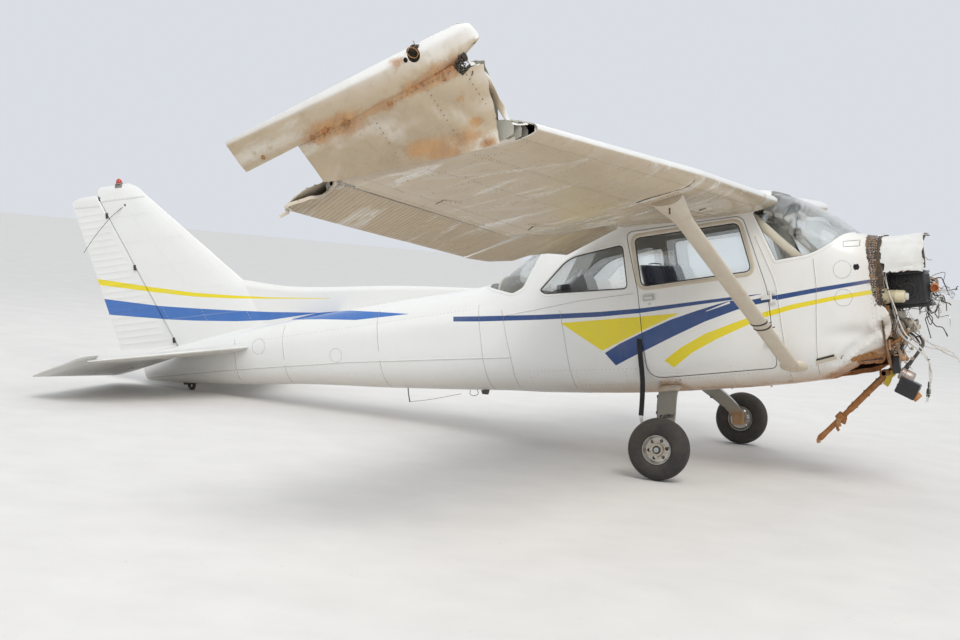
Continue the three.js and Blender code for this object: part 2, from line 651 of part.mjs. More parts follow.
function strutRings(sizes, side) {
  const foot = new THREE.Vector3(STRUT.foot[0], side * STRUT.foot[1], STRUT.foot[2]);
  const head = new THREE.Vector3(STRUT.head[0], side * STRUT.head[1], STRUT.head[2]);
  const along = head.clone().sub(foot).normalize();
  const back = new THREE.Vector3(-1, 0, 0);
  back.addScaledVector(along, -back.dot(along)).normalize();
  const up = along.clone().cross(back);
  const length = head.distanceTo(foot);
  return sizes.map(([at, chord, thickness]) => {
    const centre = foot.clone().addScaledVector(along, at < 0 ? at : at * length);
    return Array.from({ length: 14 }, (_, k) => {
      const turn = (2 * Math.PI * k) / 14;
      const reach = Math.cos(turn) > 0 ? 0.56 : 0.44;
      return centre.clone().addScaledVector(back, reach * chord * Math.cos(turn))
        .addScaledVector(up, (thickness / 2) * Math.sin(turn));
    });
  });
}

// Where the strut meets the fuselage: an oval fairing plate with a lug, on either side
function strutFoot(side) {
  const [x, y, z] = STRUT.foot;
  const oval = Array.from({ length: 16 }, (_, k) => {
    const turn = (2 * Math.PI * k) / 16;
    return [x + 96 * Math.cos(turn), z - 6 + 46 * Math.sin(turn) - 0.1 * 96 * Math.cos(turn)];
  });
  const ends = [side * 400, side * (y - 8)].sort((a, b) => a - b);
  const lugEnds = [side * 400, side * (y + 46)].sort((a, b) => a - b);
  const lug = box(x - 34, x + 34, ...lugEnds, z - 8, z + 16);
  return join(prismY(oval, ...ends), lug).subtract(outerCutter);
}

function strutRight() {
  const tube = [[-12, 96, 44], [0.02, STRUT.chord, STRUT.thickness], [0.9, STRUT.chord, STRUT.thickness],
    [0.94, 150, 76], [1.02, 215, 120]];
  const wing = wingBody(RIGHT_STEPPED, -1, rightRear, -GAP, 10);
  return loft(strutRings(tube, -1)).add(strutFoot(-1)).subtract(wing);
}

// Tail

const TORQUE = { tube: 22, bore: 22.5, rudderTube: 17, rudderBore: 17.5 };
// Columns: distance out, leading edge x, section depth against chord
const STABILIZER = [
  [40, -5275, 0.62], [200, -5335, 0.62], [1640, -5880, 0.6], [1700, -5925, 0.5], [1722, -5985, 0.25],
];
const STABILIZER_END = HINGE_LINE.x + 34;

function stabilizerHalf(side, inset = 0) {
  return loft(STABILIZER.map(([out, x, depth], i) => {
    const hinge = STABILIZER_END;
    const chord = (x - hinge) / 0.7;
    const base = new THREE.Vector3(x, side * (i === 0 && inset > 0 ? out - BEYOND : out), HINGE_LINE.z);
    const shown = { to: inset > 0 ? 0.67 : 0.7, inset, camber: 0, depth };
    return airfoil(base, new THREE.Vector3(-1, 0, 0), new THREE.Vector3(0, 0, 1), chord, shown);
  }));
}

// The elevator horns reach forward at the tips, so the fixed tailplane is cut back there
const HORN = { inner: 1500, front: -5905 };

function stabilizer(side) {
  const hollow = stabilizerHalf(side, 6).intersect(box(-7000, -5000, -1480, 1480, 0, 2000));
  const ends = [side * (HORN.inner - MOVING_GAP), side * 1900].sort((a, b) => a - b);
  const hornSpace = box(-7000, HORN.front + MOVING_GAP, ...ends, 800, 1200);
  return stabilizerHalf(side).subtract(hollow).subtract(hornSpace).subtract(outerCutter);
}

// Elevator outline seen from above: distance out, x of the front and of the trailing edge, half height
const ELEVATOR = [[150, -6100, -6560, 25], [235, -6100, -6672, 25], [1500, -6100, -6462, 21]];

function elevator() {
  const halves = [-1, 1].flatMap((side) => {
    const surface = loft(ELEVATOR.map(([out, front, back, half]) => {
      const nose = Array.from({ length: 7 }, (_, k) => {
        const turn = (Math.PI * k) / 6;
        return [front + half * Math.sin(turn), half * Math.cos(turn)];
      });
      const outline = [...nose, [back, -2], [back, 2]];
      return outline.map(([x, z]) => new THREE.Vector3(x, side * out, HINGE_LINE.z + z));
    }));
    const tip = loft([[1500, 21], [1690, 17], [1722, 7]].map(([out, half]) => {
      const outline = [[HORN.front - (out > 1700 ? 60 : 0), 0.5 * half], [HORN.front - 60, half],
        [HINGE_LINE.x, half], [-6452 + (out > 1700 ? 30 : 0), 2], [-6452 + (out > 1700 ? 30 : 0), -2],
        [HINGE_LINE.x, -half], [HORN.front - 60, -half], [HORN.front - (out > 1700 ? 60 : 0), -0.5 * half]];
      return outline.map(([x, z]) => new THREE.Vector3(x, side * out, HINGE_LINE.z + z));
    }));
    return [surface, tip];
  });
  const tube = rod([HINGE_LINE.x, -160, HINGE_LINE.z], [HINGE_LINE.x, 160, HINGE_LINE.z], TORQUE.tube, 16);
  const level = join(tube, ...halves);
  const drooped = new THREE.Matrix4().makeTranslation(HINGE_LINE.x, 0, HINGE_LINE.z)
    .multiply(new THREE.Matrix4().makeRotationY(-THREE.MathUtils.degToRad(ELEVATOR_DROOP)))
    .multiply(new THREE.Matrix4().makeTranslation(-HINGE_LINE.x, 0, -HINGE_LINE.z));
  return level.transform(drooped.elements);
}

// A rod on the rudder's hinge line, between two distances along it from the bottom
function rudderPost(radius, from, to) {
  const [x0, z0] = RUDDER_HINGE.bottom;
  const along = new THREE.Vector2(RUDDER_HINGE.top[0] - x0, RUDDER_HINGE.top[1] - z0).normalize();
  const at = (distance) => [x0 + along.x * distance, 0, z0 + along.y * distance];
  return rod(at(from), at(to), radius, 16);
}

// Columns: height, leading edge x, x of the edge at the hinge, half thickness there
const FIN = [
  [1070, -5180, -6128, 42], [1523, -5365, -6357, 36], [2440, -6342, -6822, 21],
  [2535, -6440, -6850, 16], [2572, -6520, -6830, 7],
];
// The long strake in front of the fin: x, height of its ridge, half thickness
const STRAKE = [[-3180, 1284, 4], [-3940, 1384, 8], [-4933, 1479, 13], [-5480, 1600, 18]];
const STRAKE_FOOT = 1050;

function finBody(inset) {
  return loft(FIN.map(([z, front, back, half], i) => {
    const depth = half / ((front - back) * halfThickness(0.62) / 0.62);
    const chord = (front - back) / 0.62;
    const at = new THREE.Vector3(front, 0, i === 0 && inset > 0 ? z - BEYOND : z);
    const shown = { to: inset > 0 ? 0.6 : 0.62, inset, camber: 0, depth: depth * 0.62 };
    return airfoil(at, new THREE.Vector3(-1, 0, 0), new THREE.Vector3(0, 1, 0), chord, shown);
  }));
}

function fin() {
  const hollow = finBody(6).intersect(box(-7000, -5000, -100, 100, 0, 2500));
  const strake = loft(STRAKE.map(([x, z, half]) => {
    const outline = [[-1.6, STRAKE_FOOT], [1.6, STRAKE_FOOT], [1, z - 8], [0.3, z], [-0.3, z], [-1, z - 8]];
    return outline.map(([part, height]) => new THREE.Vector3(x, part * half, height));
  }));
  const noseSpace = rudderPost(30, -400, 1700);
  return join(finBody(0), strake).subtract(hollow).subtract(noseSpace).subtract(outerCutter);
}

// Columns: height, trailing edge x, nose half thickness
const RUDDER = [
  [1085, -6770, 24], [1180, -6790, 24], [2400, -7135, 20], [2470, -7150, 17], [2505, -7060, 6],
];

function rudder() {
  const [x0, z0] = RUDDER_HINGE.bottom;
  const slope = (RUDDER_HINGE.top[0] - x0) / (RUDDER_HINGE.top[1] - z0);
  const rings = RUDDER.map(([z, back, half]) => {
    const hinge = x0 + slope * (z - z0);
    const nose = Array.from({ length: 7 }, (_, k) => {
      const turn = (Math.PI * k) / 6;
      return [hinge + half * Math.sin(turn), half * Math.cos(turn)];
    });
    return [...nose, [back, -2], [back, 2]].map(([x, y]) => new THREE.Vector3(x, y, z));
  });
  return loft(rings).add(rudderPost(TORQUE.rudderTube, -50, 60));
}

function beacon() {
  const top = 2569;
  const profile = [[0, 0], [34, 0], [34, 9], [27, 12], [25, 34], [17, 48], [0, 53]];
  const geometry = new THREE.LatheGeometry(profile.map(([r, z]) => new THREE.Vector2(r, z)), 16);
  geometry.rotateX(Math.PI / 2);
  geometry.translate(-6622, 0, top + 6);
  const plinth = box(-6655, -6589, -20, 20, top - 30, top + 7);
  return toSolid(geometry).add(plinth).subtract(finBody(-GAP));
}

// A strong eye under the tail, which rests on the ground
function tailSkid() {
  const { x, z, halfLength, halfWidth } = SKID;
  const outline = rounded([
    [x - halfLength, 790, 0], [x - halfLength, z, 26], [x + halfLength, z, 26], [x + halfLength, 790, 0],
  ]);
  const eye = rod([x, -50, z + 36], [x, 50, z + 36], 14, 10);
  const pad = box(x - 70, x + 70, -28, 28, 728, 800);
  return prismY(outline, -halfWidth, halfWidth).subtract(eye).add(pad).subtract(outerCutter);
}

// Undercarriage

// Columns along the leaf from fuselage to axle: y, z of its middle, half width, x of its middle
const LEAF = [
  [395, 380, 72, -1588], [500, 358, 71, -1583], [700, 276, 70, -1551], [900, 176, 64, -1509],
  [1060, 90, 57, -1486], [1138, 47, 52, -1478],
];
const LEAF_HALF = 11;

function gearLeg(side) {
  const rings = LEAF.map(([y, z, half, x], i) => {
    const [y0, z0] = LEAF[Math.max(0, i - 1)];
    const [y1, z1] = LEAF[Math.min(LEAF.length - 1, i + 1)];
    const across = new THREE.Vector3(0, side * (z0 - z1), y1 - y0).normalize().multiplyScalar(LEAF_HALF);
    const centre = new THREE.Vector3(x, side * y, z);
    const edge = (dx, way) => centre.clone().add(new THREE.Vector3(dx, 0, 0)).addScaledVector(across, way);
    return [edge(half, 0.4), edge(half - 8, 1), edge(8 - half, 1), edge(-half, 0.4),
      edge(-half, -0.4), edge(8 - half, -1), edge(half - 8, -1), edge(half, -0.4)];
  });
  const flangeY = [side * 1128, side * 1150].sort((a, b) => a - b);
  const flange = box(AXLE.x - 50, AXLE.x + 50, ...flangeY, -45, 62);
  return join(loft(rings), flange).subtract(outerCutter);
}

// Stub axle with its flange and the brake calliper that straddles the disc
function axle(side) {
  const y = (out) => side * out;
  const between = (a, b) => [y(a), y(b)].sort((low, high) => low - high);
  const flangeY = between(1150 + GAP, AXLE.stubInner + 6);
  const flange = box(AXLE.x - 48, AXLE.x + 48, ...flangeY, -44, 50);
  const stub = rod([AXLE.x, y(1152), 0], [AXLE.x, y(AXLE.stubOuter), 0], AXLE.radius, 20);
  const slotInner = BRAKE.inner - MOVING_GAP;
  const slotOuter = BRAKE.outer + MOVING_GAP;
  const plate = box(AXLE.x - 40, AXLE.x + 90, ...between(slotInner - 14, slotInner), -34, 34);
  const calliper = box(AXLE.x + 56, AXLE.x + 90, ...between(slotInner - 14, slotOuter + 8), -34, 34);
  const slotY = between(slotInner, slotOuter);
  const slot = rod([AXLE.x, slotY[0], 0], [AXLE.x, slotY[1], 0], BRAKE.radius + MOVING_GAP, 32);
  return join(flange, stub, plate, calliper.subtract(slot));
}

const BRAKE = { inner: 1176, outer: 1184, radius: 76 };

const WHEEL_STEPS = 32;

// Revolved about the wheel's axle, from a closed outline of [radius, offset from the wheel's middle]
function revolved(outline, segments, side, middle = TYRE.y) {
  const closed = [...outline, outline[0]];
  const profile = closed.map(([r, v]) => new THREE.Vector2(r, v * side));
  const geometry = new THREE.LatheGeometry(profile, segments);
  geometry.translate(0, side * middle, 0);
  geometry.translate(AXLE.x, 0, 0);
  const solid = toSolid(geometry);
  return solid.volume() > 0 ? solid : toSolid(flipped(geometry));
}

function flipped(geometry) {
  const copy = geometry.clone();
  const index = Array.from(copy.index.array);
  for (let i = 0; i < index.length; i += 3) [index[i + 1], index[i + 2]] = [index[i + 2], index[i + 1]];
  copy.setIndex(index);
  return copy;
}

function tyre(side) {
  const rows = 10;
  const middle = 152;
  const outline = Array.from({ length: rows + 1 }, (_, k) => {
    const turn = THREE.MathUtils.degToRad(-128 + (256 * k) / rows);
    const c = Math.cos(turn);
    const s = Math.sin(turn);
    const r = middle + (TYRE.radius - middle) * Math.sign(c) * Math.abs(c) ** 0.8;
    return [Math.max(r, TYRE.rim + GAP), TYRE.halfWidth * Math.sign(s) * Math.abs(s) ** 0.8];
  });
  const bead = 52;
  return revolved([...outline, [TYRE.rim + GAP, bead], [TYRE.rim + GAP, -bead]], WHEEL_STEPS, side);
}

function hub(side) {
  const rim = TYRE.rim;
  const bore = AXLE.radius + 0.5;
  const discInner = BRAKE.inner - TYRE.y;
  const discOuter = BRAKE.outer - TYRE.y;
  const outline = [
    [bore, -70], [34, -70], [34, discInner], [BRAKE.radius, discInner], [BRAKE.radius, discOuter],
    [46, discOuter], [46, -28], [84, -24], [rim, -60], [rim, 66], [84, 30], [46, 34], [42, 58], [bore, 58],
  ];
  const holes = Array.from({ length: 6 }, (_, k) => {
    const turn = (2 * Math.PI * k) / 6;
    const at = [AXLE.x + 65 * Math.cos(turn), 65 * Math.sin(turn)];
    return rod([at[0], side * (TYRE.y - 75), at[1]], [at[0], side * (TYRE.y + 75), at[1]], 13, 6);
  });
  return revolved(outline, WHEEL_STEPS, side).subtract(join(...holes).intersect(wheelBand(side)));
}

// Only the wheel's web is drilled, not its brake disc
function wheelBand(side) {
  const ends = [side * (TYRE.y - 45), side * (TYRE.y + 75)].sort((a, b) => a - b);
  return box(AXLE.x - 120, AXLE.x + 120, ...ends, -120, 120);
}

// Cabin fittings

const SEATS = { y: 262, halfWidth: 222, cushion: [-1080, -1540], top: 700, thickness: 110 };

function seatBlock(x0, x1, y, half, z0, z1, radius) {
  return prismY(rounded([[x0, z0, radius], [x0, z1, radius], [x1, z1, radius], [x1, z0, radius]], 3),
    y - half, y + half);
}

function frontCushion(side) {
  const [x0, x1] = SEATS.cushion;
  return seatBlock(x0, x1, side * SEATS.y, SEATS.halfWidth, SEATS.top - SEATS.thickness, SEATS.top, 40);
}

function leaningBack(xFoot, zFoot, zTop, lean, thickness) {
  return rounded([
    [xFoot, zFoot, 20], [xFoot - lean, zTop, 38], [xFoot - lean - thickness * 0.7, zTop, 28],
    [xFoot - thickness, zFoot, 30],
  ], 3);
}

function frontBack(side) {
  const outline = leaningBack(-1500, SEATS.top + 6, 1330, 150, 110);
  return prismY(outline, side * SEATS.y - SEATS.halfWidth, side * SEATS.y + SEATS.halfWidth);
}

function rearCushion() {
  return seatBlock(-1960, -2330, 0, 455, 610, 720, 40).intersect(fuselage(CABIN_WALL + 6));
}

function rearBack() {
  const outline = leaningBack(-2295, 728, 1215, 90, 100);
  return prismY(outline, -430, 430).intersect(fuselage(CABIN_WALL + 6));
}

// Pressed-metal bases of all seats, riveted to the floor
function seatFrames() {
  const floor = FLOOR.top - 4;
  const under = SEATS.top - SEATS.thickness - GAP;
  const frames = [-1, 1].flatMap((side) => [-1, 1].map((edge) => {
    const y = side * SEATS.y + edge * 148;
    return prismY([[-1110, floor], [-1150, under], [-1560, under], [-1560, floor]], y - 9, y + 9);
  }));
  const hoop = [
    [-1540, under - 22], [-1540, under], [-1611, under], [-1610.4, 706], [-1628, 800], [-1643, 800],
    [-1626, 700], [-1626, under - 22],
  ];
  const hoops = [-1, 1].map((side) => prismY(hoop, side * SEATS.y - 157, side * SEATS.y + 157));
  const rearBase = box(-2400, -1990, -440, 440, floor, 610 - GAP);
  const rearHoop = prismY([[-2380, floor], [-2380, 600], [-2395.5, 728], [-2434, 1040], [-2460, 1040],
    [-2422, 728], [-2422, floor]], -400, 400);
  return join(...frames, ...hoops, join(rearBase, rearHoop).intersect(fuselage(CABIN_WALL + 6)));
}

function instrumentPanel() {
  const board = box(-470, -448, -WIDE, WIDE, 905, 1330).subtract(box(-480, -440, -60, 60, 880, 925));
  const shade = box(-470, -330, -WIDE, WIDE, 1208, 1226);
  const plates = fuselage(CABIN_WALL + GAP).intersect(board.add(shade));
  return plates.subtract(sideRegion(grow(WINDSHIELD, 20), 0)).add(controlWheels());
}

// Two control wheels, each on the shaft that comes out of the panel
function controlWheels() {
  return join(...[-1, 1].flatMap((side) => {
    const y = side * SEATS.y;
    const shaft = rod([-460, y, 1085], [-690, y, 1075], 13, 10);
    const boss = rod([-680, y, 1075], [-712, y, 1074], 34, 12);
    const rim = Array.from({ length: 9 }, (_, k) => {
      const turn = Math.PI * (0.86 + (1.28 * k) / 8);
      return [-698, y + 132 * Math.cos(turn), 1105 + 92 * Math.sin(turn) + 20];
    });
    return [shaft, boss, sweep(rim, 26, 22, 10, 6), box(-706, -690, y - 130, y + 130, 1066, 1084)];
  }));
}

// What is left in front of the firewall

function cowlRemnant() {
  const shell = fuselage(9, 420).subtract(fuselage(17, 460));
  const start = 14 + GAP;
  const torn = [
    [start, 1345], [start, 1245], [44, 1205], [30, 1160], [60, 1120], [40, 1075], [250, 1066],
    [318, 1052], [334, 1120], [318, 1190], [340, 1260], [322, 1345], [330, 1420], [start, 1420],
  ];
  return shell.intersect(prismY(torn, -WIDE, 70));
}

function batteryBox() {
  const body = box(14 + GAP, 300, -255, 40, 830, 1050);
  const lid = box(14 + GAP, 306, -262, 47, 1050, 1066);
  const port = rod([180, -255, 930], [180, -275, 930], 62, 12);
  const shelf = box(14 + GAP, 330, -230, 20, 806, 830);
  return join(body, lid, port, shelf);
}

function fluidReservoir() {
  const tank = rod([52, -372, 905], [172, -382, 890], 44, 12);
  const neck = rod([172, -382, 890], [192, -384, 888], 22, 8);
  const base = rod([14 + GAP, -370, 907], [58, -370, 907], 56, 12);
  return join(tank, neck, base);
}

// Stubs of the engine bearer: tubes, pads and brackets cut off short
const BEARER_PADS = [[-250, 1130], [250, 1130], [-320, 560], [320, 560]];

function engineBearer() {
  const pads = BEARER_PADS.map(([y, z]) => box(8, 34, y - 42, y + 42, z - 42, z + 42));
  const tubes = [
    rod([30, 250, 1130], [330, 215, 985], 14), rod([30, 250, 1130], [150, 320, 980], 14),
    rod([30, -320, 560], [150, -300, 640], 14),
  ];
  const post = box(8, 52, -392, -366, 615, 838);
  const cross = rod([330, 215, 985], [352, -70, 940], 12);
  const cap = rod([338, -60, 938], [352, -160, 930], 30, 12);
  return join(...pads, ...tubes, post, cross, cap);
}

// Accessories in the middle of the firewall, and the bracket and box that hang below it
function fuelPump() {
  const mount = box(14 + GAP, 120, -250, -40, 600, 790);
  const pump = rod([120, -150, 690], [205, -165, 670], 52, 12);
  const elbow = rod([205, -165, 670], [225, -180, 600], 26, 12);
  return join(mount, pump, elbow);
}

function carburettorBox() {
  const bracket = box(14 + GAP, 66, -262, -168, 344, 470);
  const duct = rod([60, -215, 350], [150, -215, 290], 46, 10);
  const body = toSolid(new THREE.BoxGeometry(150, 110, 120).rotateY(0.55).translate(105, -215, 232));
  const outlet = rod([140, -215, 190], [172, -215, 148], 34, 10);
  return join(bracket, duct, body, outlet);
}

// The bent, rusted nose-leg strut that trails below the belly
const NOSE_LEG = { top: [34, -100, 396], bend: [-100, -102, 300], end: [-583, -105, -98], radius: 26 };

function noseLeg() {
  const { top, bend, end, radius } = NOSE_LEG;
  const collar = rod([-388, -104, 66], [-436, -104, 26], 38, 10);
  const elbow = toSolid(new THREE.SphereGeometry(radius, 8, 6).translate(...bend));
  return join(rod(top, bend, radius), rod(bend, end, radius), collar, elbow).subtract(outerCutter);
}

// Loose leads and a belt, by the points that each one runs through
const TWIN_LEAD = [
  [15.3, -330, 1200], [32, -330.5, 1198.5], [48, -336, 1184], [54, -346, 1160], [52, -358, 1130],
  [50, -385, 1078], [54, -412, 1020], [64, -436, 955], [76, -446, 900],
  [92, -440, 845], [104, -420, 780], [116, -400, 710], [138, -380, 640], [172, -362, 585], [212, -348, 545],
  [250, -338, 500], [276, -332, 445], [286, -330, 385], [282, -330, 325], [272, -330, 272],
];
const SINGLE_LEAD = [
  [225.2, -180.1, 599.4], [229, -183, 586], [238, -188, 573], [258, -196, 559], [290, -206, 540],
  [330, -214, 520], [376, -220, 500],
  [420, -224, 474], [456, -226, 438], [480, -228, 396], [492, -228, 350], [496, -228, 306],
];
const BELT = [
  [-1757, -550.2, 800], [-1758, -552, 765], [-1758, -558, 722], [-1758, -563, 680], [-1758, -565, 600],
  [-1758, -565, 520], [-1761, -565, 440], [-1770, -565, 360], [-1783, -565, 280], [-1798, -565, 196],
];

// The connector carries on in the direction that the lead ends in
function leadConnector() {
  const route = smooth(TWIN_LEAD);
  const end = route.getPoint(1);
  const onwards = route.getTangent(1);
  const at = (distance) => end.clone().addScaledVector(onwards, distance).toArray();
  return join(rod(at(2 * GAP), at(60), 11), rod(at(55), at(118), 16, 10, 9));
}

// The assembly

const NODES = [
  ['cabin_shell', cabinShell(), FINISH.white],
  ['cabin_roof', cabinRoof(), FINISH.white],
  ['cabin_floor', cabinFloor(), FINISH.interior],
  ['baggage_bulkhead', baggageBulkhead(), FINISH.interior],
  ['firewall', firewall(), FINISH.darkMetal],
  ['tailcone', tailcone(), FINISH.white],
  ['windshield', pane(WINDSHIELD, 0), FINISH.glass],
  ['rear_window', pane(REAR_WINDOW, 0), FINISH.glass],
  ['side_window_right', pane(SIDE_WINDOW, -1), FINISH.glass],
  ['side_window_left', pane(SIDE_WINDOW, 1), FINISH.glass],
  ['door_right', doorShell(-1), FINISH.white],
  ['door_glass_right', pane(DOOR_WINDOW, -1), FINISH.glass],
  ['door_handle_right', doorHandle(-1), FINISH.silver],
  ['door_left', doorShell(1), FINISH.white],
  ['door_glass_left', pane(DOOR_WINDOW, 1), FINISH.glass],
  ['door_handle_left', doorHandle(1), FINISH.silver],
  ['baggage_door', baggageDoor(), FINISH.white],
  ['instrument_panel', instrumentPanel(), FINISH.panel],
  ['front_cushion_right', frontCushion(-1), FINISH.seat],
  ['front_cushion_left', frontCushion(1), FINISH.seat],
  ['front_back_right', frontBack(-1), FINISH.seat],
  ['front_back_left', frontBack(1), FINISH.seat],
  ['rear_seat_cushion', rearCushion(), FINISH.seat],
  ['rear_seat_back', rearBack(), FINISH.seat],
  ['wing_right', wingRight(), FINISH.white],
  ['wing_tip_panel', wingTipPanel(), FINISH.dirtyWhite],
  ['wing_tip_cap', wingTipCap(), FINISH.white],
  ['flap_right', movableSurface(RIGHT_FLAP, RIGHT_WING, -1), FINISH.dirtyWhite],
  ['aileron_right', aileronRight(), FINISH.dirtyWhite],
  ['strut_right', strutRight(), FINISH.dirtyWhite],
  ['wing_left_stub', wingLeftStub(), FINISH.white],
  ['flap_left', flapLeft(), FINISH.dirtyWhite],
  ['strut_foot_left', strutFoot(1), FINISH.dirtyWhite],
  ['stabilizer_right', stabilizer(-1), FINISH.white],
  ['stabilizer_left', stabilizer(1), FINISH.white],
  ['elevator', elevator(), FINISH.white],
  ['fin', fin(), FINISH.white],
  ['rudder', rudder(), FINISH.white],
  ['beacon', beacon(), FINISH.red],
  ['tail_skid', tailSkid(), FINISH.darkMetal],
  ['gear_leg_right', gearLeg(-1), FINISH.bareMetal],
  ['gear_leg_left', gearLeg(1), FINISH.bareMetal],
  ['axle_right', axle(-1), FINISH.bareMetal],
  ['axle_left', axle(1), FINISH.bareMetal],
  ['tyre_right', tyre(-1), FINISH.rubber],
  ['hub_right', hub(-1), FINISH.silver],
  ['tyre_left', tyre(1), FINISH.rubber],
  ['hub_left', hub(1), FINISH.silver],
  ['cowl_remnant', cowlRemnant(), FINISH.white],
  ['battery_box', batteryBox(), FINISH.darkMetal],
  ['fluid_reservoir', fluidReservoir(), FINISH.cream],
  ['fuel_pump', fuelPump(), FINISH.darkMetal],
  ['carburettor_box', carburettorBox(), FINISH.darkMetal],
  ['nose_leg', noseLeg(), FINISH.rust],
  ['twin_lead', sweep(TWIN_LEAD, 16, 8, 30), FINISH.white],
  ['lead_connector', leadConnector(), FINISH.panel],
  ['single_lead', sweep(SINGLE_LEAD, 8, 8, 22), FINISH.white],
  ['belt_strap', strap(BELT, 38, 4, 14), FINISH.webbing],
];
const LOOSE = ['twin_lead', 'lead_connector', 'single_lead', 'belt_strap'];

// Nose-up angle at which both tyres and the skid touch the ground
function parkedAngle() {
  const reach = new THREE.Vector2(SKID.x - AXLE.x, SKID.z);
  return Math.PI + Math.asin(TYRE.radius / reach.length()) - reach.angle();
}

const airframe = new THREE.Group();
airframe.add(...NODES.map(([name, solid, finish]) => {
  const mesh = new THREE.Mesh(toGeometry(solid), finish);
  mesh.name = name;
  mesh.position.x = -AXLE.x;
  return mesh;
}));
airframe.rotation.y = -parkedAngle();
airframe.position.z = TYRE.radius;

const aircraft = new THREE.Group();
aircraft.add(airframe);
aircraft.updateMatrixWorld(true);
const extent = new THREE.Box3();
const held = airframe.children.filter((mesh) => !LOOSE.includes(mesh.name));
held.forEach((mesh) => extent.expandByObject(mesh, true));
aircraft.position.set(-(extent.min.x + extent.max.x) / 2, -(extent.min.y + extent.max.y) / 2, 0);
aircraft.updateMatrixWorld(true);

export default aircraft;
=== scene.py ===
"""Dress a wrecked high-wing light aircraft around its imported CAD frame.

Sizes are in the aircraft's own millimetres: x runs forward from the firewall, y to the left wing and z up
from the height of the main axle. ``Placement`` turns them into the row's metres.
"""

from __future__ import annotations

import json
import logging
import math
from collections.abc import Callable, Iterable, Sequence
from dataclasses import dataclass, field
from enum import Enum

import bmesh
import bpy
import numpy as np
from mathutils import Matrix, Vector, noise

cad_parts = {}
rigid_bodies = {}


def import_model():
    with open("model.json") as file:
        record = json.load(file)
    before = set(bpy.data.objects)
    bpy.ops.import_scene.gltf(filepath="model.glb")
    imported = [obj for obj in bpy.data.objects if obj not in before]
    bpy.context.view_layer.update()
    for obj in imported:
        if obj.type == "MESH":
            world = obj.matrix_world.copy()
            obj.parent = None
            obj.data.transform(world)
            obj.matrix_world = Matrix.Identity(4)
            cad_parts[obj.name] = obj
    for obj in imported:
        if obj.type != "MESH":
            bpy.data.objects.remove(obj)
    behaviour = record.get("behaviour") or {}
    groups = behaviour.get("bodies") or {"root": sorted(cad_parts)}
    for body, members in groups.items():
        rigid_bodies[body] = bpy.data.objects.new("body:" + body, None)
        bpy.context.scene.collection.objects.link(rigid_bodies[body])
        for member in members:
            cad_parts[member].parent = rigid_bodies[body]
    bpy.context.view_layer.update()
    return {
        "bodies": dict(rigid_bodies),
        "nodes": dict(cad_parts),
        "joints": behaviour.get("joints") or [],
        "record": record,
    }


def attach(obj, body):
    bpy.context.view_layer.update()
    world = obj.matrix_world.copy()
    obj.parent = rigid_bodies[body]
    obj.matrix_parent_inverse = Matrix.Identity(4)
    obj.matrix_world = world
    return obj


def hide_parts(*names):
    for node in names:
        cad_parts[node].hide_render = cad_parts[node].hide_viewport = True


LOG = logging.getLogger("aircraft")
MM = 0.001
RIGHT = -1
LEFT = 1
ROOT = "root"

Point = Sequence[float]
Outline = list[tuple[float, float]]


class Slot(str, Enum):
    """The record's material slots."""

    WHITE = "white_paint"
    DIRTY = "dirty_paint"
    GREY = "grey_trim"
    DARK = "dark_metal"
    GLASS = "clear_plastic"
    BRIGHT = "bright_metal"
    SPRING = "spring_steel"
    RUSTY = "rusty_steel"
    BLACK = "black_plastic"
    FABRIC = "blue_fabric"
    TYRE = "tyre_rubber"
    RED = "red_plastic"
    CREAM = "cream_plastic"
    SHEATH = "white_plastic"
    WEBBING = "black_webbing"


class Kind(int, Enum):
    """Which finish of a piece a face takes."""

    OUTER = 0
    INNER = 1
    CUT = 2


@dataclass(frozen=True)
class Placement:
    """Turn from the aircraft's millimetres to the row's metres."""

    cos: float
    sin: float
    shift: tuple[float, float, float]

    AXLE_X = -1478.0

    @classmethod
    def from_joints(cls, joints: Iterable[dict]) -> Placement:
        """Read the parked attitude from the door hinge, and the place from both wheels.

        Args:
            joints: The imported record's joints.

        Returns:
            The placement of the airframe.
        """
        by_name = {joint["name"]: joint for joint in joints}
        axis = by_name["door_right_hinge"]["axis"]
        cos, sin = axis[2], -axis[0]
        right = by_name["wheel_right_spin"]["pos_m"]
        left = by_name["wheel_left_spin"]["pos_m"]
        axle = cls.AXLE_X * MM
        return cls(cos, sin, (right[0] - cos * axle, (right[1] + left[1]) / 2, right[2] - sin * axle))

    def matrix(self) -> Matrix:
        """Return the matrix from millimetres to metres in the row."""
        turn = Matrix(((self.cos, 0, -self.sin, 0), (0, 1, 0, 0), (self.sin, 0, self.cos, 0), (0, 0, 0, 1)))
        return Matrix.Translation(self.shift) @ turn @ Matrix.Scale(MM, 4)

    def row(self, points: np.ndarray | Point) -> np.ndarray:
        """Return points, given in millimetres, in the row's metres."""
        p = np.asarray(points, float) * MM
        x = self.cos * p[..., 0] - self.sin * p[..., 2] + self.shift[0]
        z = self.sin * p[..., 0] + self.cos * p[..., 2] + self.shift[2]
        return np.stack([x, p[..., 1] + self.shift[1], z], -1)

    def back(self, points: np.ndarray) -> np.ndarray:
        """Return points of the row, in metres, in the aircraft's millimetres."""
        p = np.asarray(points, float) - np.array(self.shift)
        x = self.cos * p[..., 0] + self.sin * p[..., 2]
        z = -self.sin * p[..., 0] + self.cos * p[..., 2]
        return np.stack([x, p[..., 1], z], -1) / MM


# Numbers and curves


def smoothstep(low: float, high: float, value: np.ndarray | float) -> np.ndarray:
    """Return 0 below low, 1 above high and a soft step between them."""
    t = np.clip((np.asarray(value, float) - low) / (high - low), 0, 1)
    return t * t * (3 - 2 * t)


